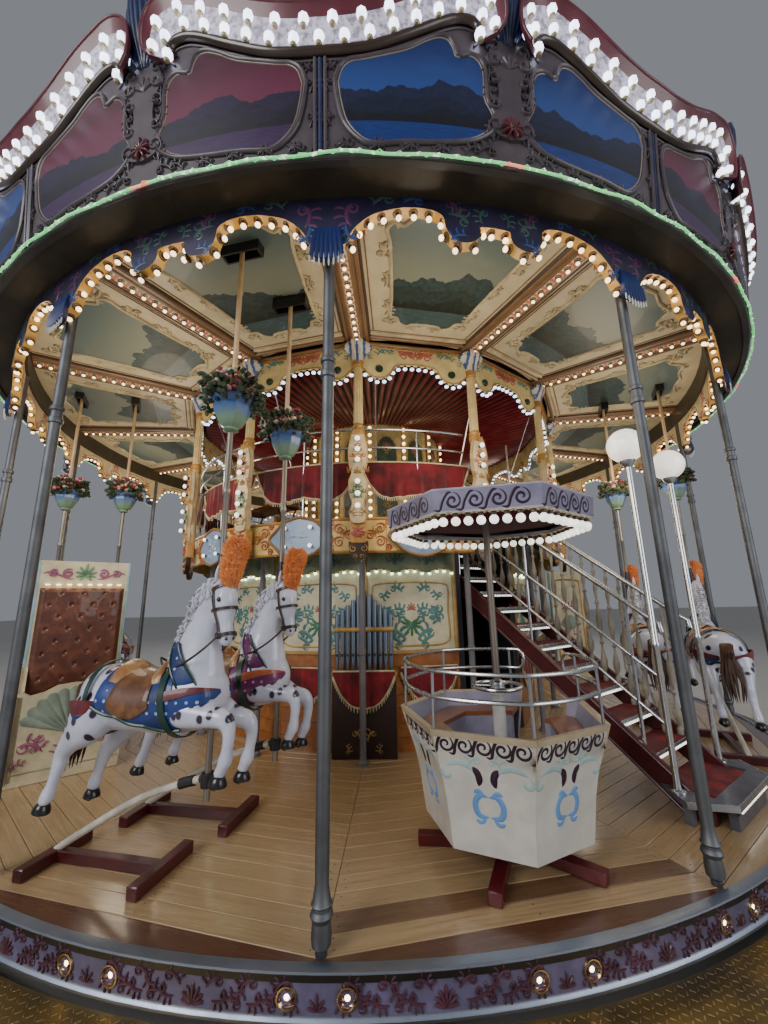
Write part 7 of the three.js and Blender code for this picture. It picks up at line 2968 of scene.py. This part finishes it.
def lower_posts():
    """Turned posts and the straight-sided beam on them. Marks: 0 grey, 1 dark."""
    post = turned([(0, SEAT), (0.06, SEAT), (0.058, 0.03), (0.04, 0.045), (0.034, 0.07), (0.034, 1.05),
                   (0.042, 1.06), (0.042, 1.1), (0.034, 1.11), (0.034, 2.2), (0.046, 2.22), (0.05, 2.3),
                   (0, 2.3)], 18)
    half = POST_RING * math.sin(HALF_BAY)
    reach = POST_RING * math.cos(HALF_BAY)
    top = bar((-half, -reach, DECK + 2.35), (half, -reach, DECK + 2.35), 0.1, 0.0985, 0.004, mark=1)
    return join([around(post.at(shift=(0, -POST_RING, DECK))), every_bay(top, CLOSED_BAYS)])


SWAG_TOP = 0.88


def low_drape_grid(inner, first, last, place, steps=80):
    """A swag pleated from both ends, between two places across the stage's foot."""
    share = np.linspace(-1, 1, steps)[None]
    down = np.linspace(0, 1, 14)[:, None]
    drop = min(0.45, 0.1 + (last - first) * 0.42)
    low = SWAG_TOP - 0.06 - (drop - 0.06) * (1 - np.abs(share) ** 2.6)
    height = SWAG_TOP + (low - SWAG_TOP) * down
    wide = last - first
    wave = np.sin(share * 24 * wide + down) * 0.6 + np.sin(share * 38 * wide) * 0.4
    out = 0.034 - inner + 0.014 * wave * (0.3 + 0.7 * down)
    return place((first + last) / 2 + share * wide / 2, height, out)


def low_drape(first, last, place):
    """The cloth, its trim, and the cloth's outer grid."""
    outer = low_drape_grid(0.0, first, last, place)
    form = hung(outer, low_drape_grid(CLOTH_THICK, first, last, place))
    line, _ = spaced(outer[-1], max(12, int(44 * (last - first))))
    thread = turned([(0, 0.004), (0.008, 0.0), (0.0085, -0.03), (0.004, -0.052), (0, -0.054)], 5)
    trim = join([tube(outer[0] + [0, 0, -0.008], 0.01, 6), tube(outer[-1], 0.01, 6), copies(thread, line)])
    return form, trim, outer


def low_drapes():
    """The drapes on the stage's plinth and on the organ's case."""
    cloth = velvet("plinth_velvet", "8a1222", "4a0810")
    fringe = enamel("plinth_fringe", "c2b48e", 0.7, 0.3, 0.0)
    reach = STAGE_HALF * 0.94

    def hang(name, first, last, place, turn):
        form, trim, grid = low_drape(first, last, place)
        edge = show(f"plinth_fringe_{name}", trim.at(turn), [fringe])
        piece = show(f"plinth_drape_{name}", form.at(turn), [cloth])
    place = flat_bay(STAGE_FACE)
    for bay in CLOSED_BAYS:
        first = -0.15 if bay == 0 else -reach
        last = 0.15 if bay == BAYS - 1 else reach
        hang(bay + 1, first, last, place, spin(bay_middle(bay)))
    hang("organ", -0.335, 0.335, case_place, spin(0))


DRUM_R = 1.18
DRUM_FACE = DRUM_R * math.cos(HALF_BAY)


def drum():
    """Flat-sided drum with an arched, carved panel on each side. Marks: 0 cream, 1 gold, 2 green, 3 rose."""
    half = DRUM_R * math.sin(HALF_BAY)
    place = flat_bay(DRUM_FACE)
    wall = block((-half, -DRUM_FACE, DECK + 2.4503), (half, -DRUM_FACE + 0.055, DECK + 4.56), 0.002)
    arch = [(0, 2.7), (0.16, 2.7), (0.17, 2.75), (0.17, 3.92), (0.16, 4.04), (0.12, 4.14), (0.06, 4.2),
            (0, 4.22)]
    outline = both_sides(np.array(arch))
    forms = [wall, patch(outline, (0, 3.4), place, 0.012, 0.014, 2),
             round_rail(outline, 0.03, place, 1, True, 0.004)]
    scrolls = leaf_group([(0.02, 2.85, 0.14, 0.9), (0.03, 3.1, 0.12, 1.1, True), (0.03, 3.35, 0.13, 1.0),
                          (0.03, 3.65, 0.13, 1.0, True), (0.02, 3.9, 0.12, 1.1)])
    face = raised(place, 0.012)
    forms += [paired(scrolls, 0.01, face, 1), carving(drawn(palmette(7, 1.4), 0, 4.0, 0.12), 0.014, face, 3)]
    return every_bay(join(forms))


def drum_lamps():
    height = np.arange(2.75, 4.4, 0.12)
    spots = ring(DRUM_R + 0.014, 0 * height, height)
    ends = ring(DRUM_R + 0.002, np.zeros(2), np.array([2.7, 4.42]))
    strip = bar(*ends, 0.07, 0.024, 0.003, (1, 0, 0), 2)
    lamps = copies(bulb(0.03, 1.0, 8), spots, facing(np.tile([0.0, -1.0, 0.0], (len(height), 1))))
    return around(join([strip, lamps]))


def slatted_bench(high):
    """A bench of varnished slats on bent iron legs: x along it, -y to the front. Marks: 0 slat, 1 iron."""
    forms = []
    for index in range(5):
        y = -0.2 + index * 0.085
        forms.append(bar((-0.5, y, high), (0.5, y, high), 0.07, 0.022, 0.004))
    for index in range(3):
        y, z = 0.2 + index * 0.012, high + 0.14 + index * 0.1
        forms.append(bar((-0.5, y, z), (0.5, y, z), 0.02, 0.075, 0.004))
    for x in (-0.4, 0.4):
        front = smooth_line([(x, -0.2, high - 0.015), (x, -0.12, high * 0.6), (x, -0.2, high * 0.3),
                             (x, -0.22, 0.012)], 14)
        rear = smooth_line([(x, 0.12, high - 0.015), (x, 0.08, high * 0.6), (x, 0.18, high * 0.3),
                            (x, 0.2, 0.012)], 14)
        top = smooth_line([(x, -0.22, high - 0.02), (x, 0.1, high - 0.02), (x, 0.19, high + 0.05),
                           (x, 0.225, high + 0.36)], 16)
        for line in (front, rear, top):
            forms.append(tube(line, 0.012, 8, (1, 0, 0), 1))
    return join(forms)


def upper_benches():
    angles = bay_middle(np.array([3, 6, 9, 12]))
    return copies(slatted_bench(0.43), ring(2.2, angles, UPPER_DECK), spin(angles))


def stage_and_floor():
    """The stage's panels, the stair's well, the organ, the posts, the drapes, the drum and the benches."""
    cream_board = enamel("stage_cream", "cfc6a4", 0.4, 0.2)
    planks = leather("stage_planks", "8a5226", "a86a34", 0.3)
    gilt = enamel("stage_gilt", "b08c4c", 0.35, 0.3)
    dark = enamel("well_dark", "1c1e2c", 0.5)
    show("stage_boards", stage_walls(), [cream_board, planks, gilt, dark],
         replaces=["stage_walls"])
    show("stair_well", stair_well(), [dark], replaces=["stage_walls"])
    teal = enamel("stage_teal", "4d7a76", 0.4, 0.3)
    green = enamel("stage_green", "3f7a5a", 0.4, 0.3)
    rose = enamel("stage_rose", "a8645c", 0.4, 0.3)
    show("stage_painting", stage_paint(), [teal, green, gilt, rose])
    show("lamp_board", lamp_board(), [enamel("board_green", "8a9a7c", 0.4, 0.3), gilt, teal])
    show("lamp_board_lamps", lamp_board_lamps(), [socket_finish, glow("green_lamp", "e6ffd6", 5.0)])
    pipe = metal("organ_pipe", "8894a6", 0.3)
    case = enamel("organ_case", "2c1714", 0.4, 0.3)
    show("organ", organ(), [pipe, case, gilt, enamel("pipe_mouth_painted_shade", "15151a", 0.5)],
         replaces=["organ_pipes"])
    grey = enamel("post_grey", "6f6c6e", 0.35, 0.2)
    beam_dark = enamel("beam_dark", "2a1d17", 0.4)
    show("lower_post_set", lower_posts(), [grey, beam_dark], replaces=["lower_posts"])
    low_drapes()
    wall = enamel("drum_cream", "b9a874", 0.35, 0.25)
    panel = enamel("drum_green", "3f5440", 0.4, 0.35)
    show("drum_panels", drum(), [wall, gilt, panel, rose], replaces=["upper_drum"])
    show("drum_lamps", drum_lamps(), [socket_finish, brass_lamp, gilt])
    slat = leather("bench_slat", "a8703a", "c48c50", 0.3)
    iron = enamel("bench_iron", "3a2418", 0.45)
    show("upper_benches", upper_benches(), [slat, iron])


# Roof and the parts kept from the solids


SPIRE_FOOT, SPIRE_TOP = 6.3 + SEAT, 6.97
# Radius, and height over the spire's foot
SPIRE = [(0.17, 0), (0.13, 0.03), (0.11, 0.06), (0.2, 0.12), (0.23, 0.18), (0.19, 0.26), (0.11, 0.33),
         (0.06, 0.36), (0.045, 0.4), (0.03, 0.5)]


def spire():
    """A gilt onion with a tapering point."""
    points = [(radius, SPIRE_FOOT + rise) for radius, rise in SPIRE] + [(0.012, SPIRE_TOP)]
    profile = smooth_line(points, 50).tolist()
    return turned([(0, SPIRE_FOOT)] + profile + [(0, SPIRE_TOP)], 28).at(shift=(0, 0, DECK))


def canvas():
    """Roof canvas in burgundy and cream gores, with a seam at each and a weave in the cloth."""
    finish = Finish("roof_canvas", Roughness=0.8)
    x, y, _ = finish.parts(finish.spot())
    turn = x.math("ARCTAN2", y * -1) / BAY
    gore = turn.floor().math("FLOORED_MODULO", 2)
    seam = 1 - ((turn.fract() - 0.5).size() * 2).between(0.96, 0.99)
    dirt = finish.cloud(3, 5)
    weave = finish.cloud(180, 2)
    colour = finish.mix(gore, rgb("6b1a26"), rgb("c9bb98"))
    colour = finish.tint(dirt.between(0.45, 0.8) * 0.5, colour, rgb("9a8a78"))
    finish.set(Base_Color=finish.tint(1 - seam, colour, (0.35, 0.3, 0.28)))
    finish.bump(weave, 0.001, 0.5)
    return finish.material


def roof_spots():
    """Canvas over the ridges of half the roof. Between two ridges it sags by a parabola across the gore times
    a sine down the slope, each ridge has a narrow raised welt, and the skirt hangs straight from the
    eaves."""
    step = np.array([0, 0.006, 0.014, 0.08, 0.2, 0.35, 0.5, 0.65, 0.8, 0.92, 0.986, 0.994])
    angle = np.append((np.arange(BAYS // 2)[:, None] + step).ravel(), BAYS // 2)[None] * BAY
    across = np.append(np.tile(step, BAYS // 2), 0)[None]
    slope = np.linspace(0, 1, 15)[:, None]
    corner = np.concatenate([[[0.17], [0.43]], 0.7 + 4.54 * slope, [[5.24]] * 3])
    height = np.concatenate([[[6.3], [6.225]], 6.15 - 1.25 * slope, [[4.8], [4.55], [4.291]]])
    sag = np.concatenate([[[0.0], [0.0]], np.sin(math.pi * slope), [[0.0]] * 3])
    welt = np.clip(1 - np.minimum(across, 1 - across) / 0.014, 0, 1) ** 0.5
    drop = 0.16 * across * (1 - across) * sag
    return ring(sided(corner, angle), angle, height - drop + 0.01 * welt * (corner > 0.5) * (height > 4.85))


def roof_cover():
    """The canvas and the same canvas 5 mm lower and further in, closed at the crown, the hem and both
    ends."""
    outer = roof_spots()
    inner = outer * np.array([0.999, 0.999, 1]) - np.array([0, 0, 0.005])
    inner[-1, :, 2] = outer[-1, :, 2]
    inner[:, [0, -1]] = outer[:, [0, -1]]
    return sheet(np.concatenate([outer, inner[::-1], outer[:1]])).outward()


def kept_parts():
    """The roof's canvas in two halves, the spire, and new materials on the solids that stay in view."""
    spots = roof_spots()
    cloth = canvas()
    for half in (1, 2):
        form = roof_cover().at(spin(half * math.pi))
        cover = show(f"roof_cover_{half}", form, [cloth], replaces=["roof"])
    show("spire", spire(), [gold], replaces=["roof_spire"])
    steel = metal("base_steel", "4c4a48", 0.5, 20, 0.6)
    floor = leather("upper_floor_wood", "4a2e1c", "6b4428", 0.4)
    for name, finish in (("base_frame", steel), ("upper_deck", floor)):
        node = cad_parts[name]
        node.data.materials.clear()
        node.data.materials.append(finish)


# Stage and light


def studio():
    """A plain pale floor, an even pale sky, and three soft lamps."""
    floor = sheet(np.array([[[-60, -60, -0.001], [-60, 60, -0.001]], [[60, -60, -0.001], [60, 60, -0.001]]],
                           float))
    mesh = bpy.data.meshes.new("floor")
    mesh.from_pydata(floor.points.tolist(), [], [[0, 2, 3, 1]])
    ground = bpy.data.objects.new("floor", mesh)
    mesh.materials.append(enamel("floor_paint", "b9b6b0", 0.7, 0.03, 0.0, 0.4))
    bpy.context.scene.collection.objects.link(ground)
    ground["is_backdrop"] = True
    world = bpy.data.worlds.new("sky")
    bpy.context.scene.world = world
    world.use_nodes = True
    world.node_tree.nodes["Background"].inputs["Color"].default_value = (0.62, 0.65, 0.72, 1)
    world.node_tree.nodes["Background"].inputs["Strength"].default_value = 0.35
    for name, power, size, place, aim in (
        ("key", 900, 6, (-7, -13, 7), (0, 0, 2)),
        ("fill", 500, 7, (10, -11, 5), (0, 0, 2)),
        ("back", 700, 8, (0, 14, 9), (0, 0, 2)),
    ):
        light = bpy.data.lights.new(name, "AREA")
        light.energy = power
        light.size = size
        lamp = bpy.data.objects.new(name, light)
        lamp.matrix_world = Matrix.Translation(place) @ aimed(place, aim)
        bpy.context.scene.collection.objects.link(lamp)
    for index in range(7):
        light = bpy.data.lights.new(f"inside_{index}", "POINT")
        light.energy = 45
        light.color = (1.0, 0.84, 0.62)
        light.shadow_soft_size = 0.5
        lamp = bpy.data.objects.new(f"inside_{index}", light)
        lamp.location = tuple(ring(4.0, np.array((2 * index + 0.5) * BAY), 3.2).tolist())
        bpy.context.scene.collection.objects.link(lamp)


def aimed(place, aim):
    """The turn that points -Z from a place to an aim."""
    back = np.subtract(place, aim).astype(float)
    back /= np.linalg.norm(back)
    side = np.cross([0, 0, 1], back)
    side /= np.linalg.norm(side)
    return Matrix(np.stack([side, np.cross(back, side), back], 1).tolist()).to_4x4()


deck_and_rim()
poles()
valance_and_soffit()
rounding_boards()
ceiling()
upper_floor()
horses()
tubs()
carriages()
stair()
stage_and_floor()
kept_parts()
studio()


def corners(box):
    return [list(map(float, corner)) for corner in box]


{"cad": corners(cad_box), "visual": corners(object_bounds())}
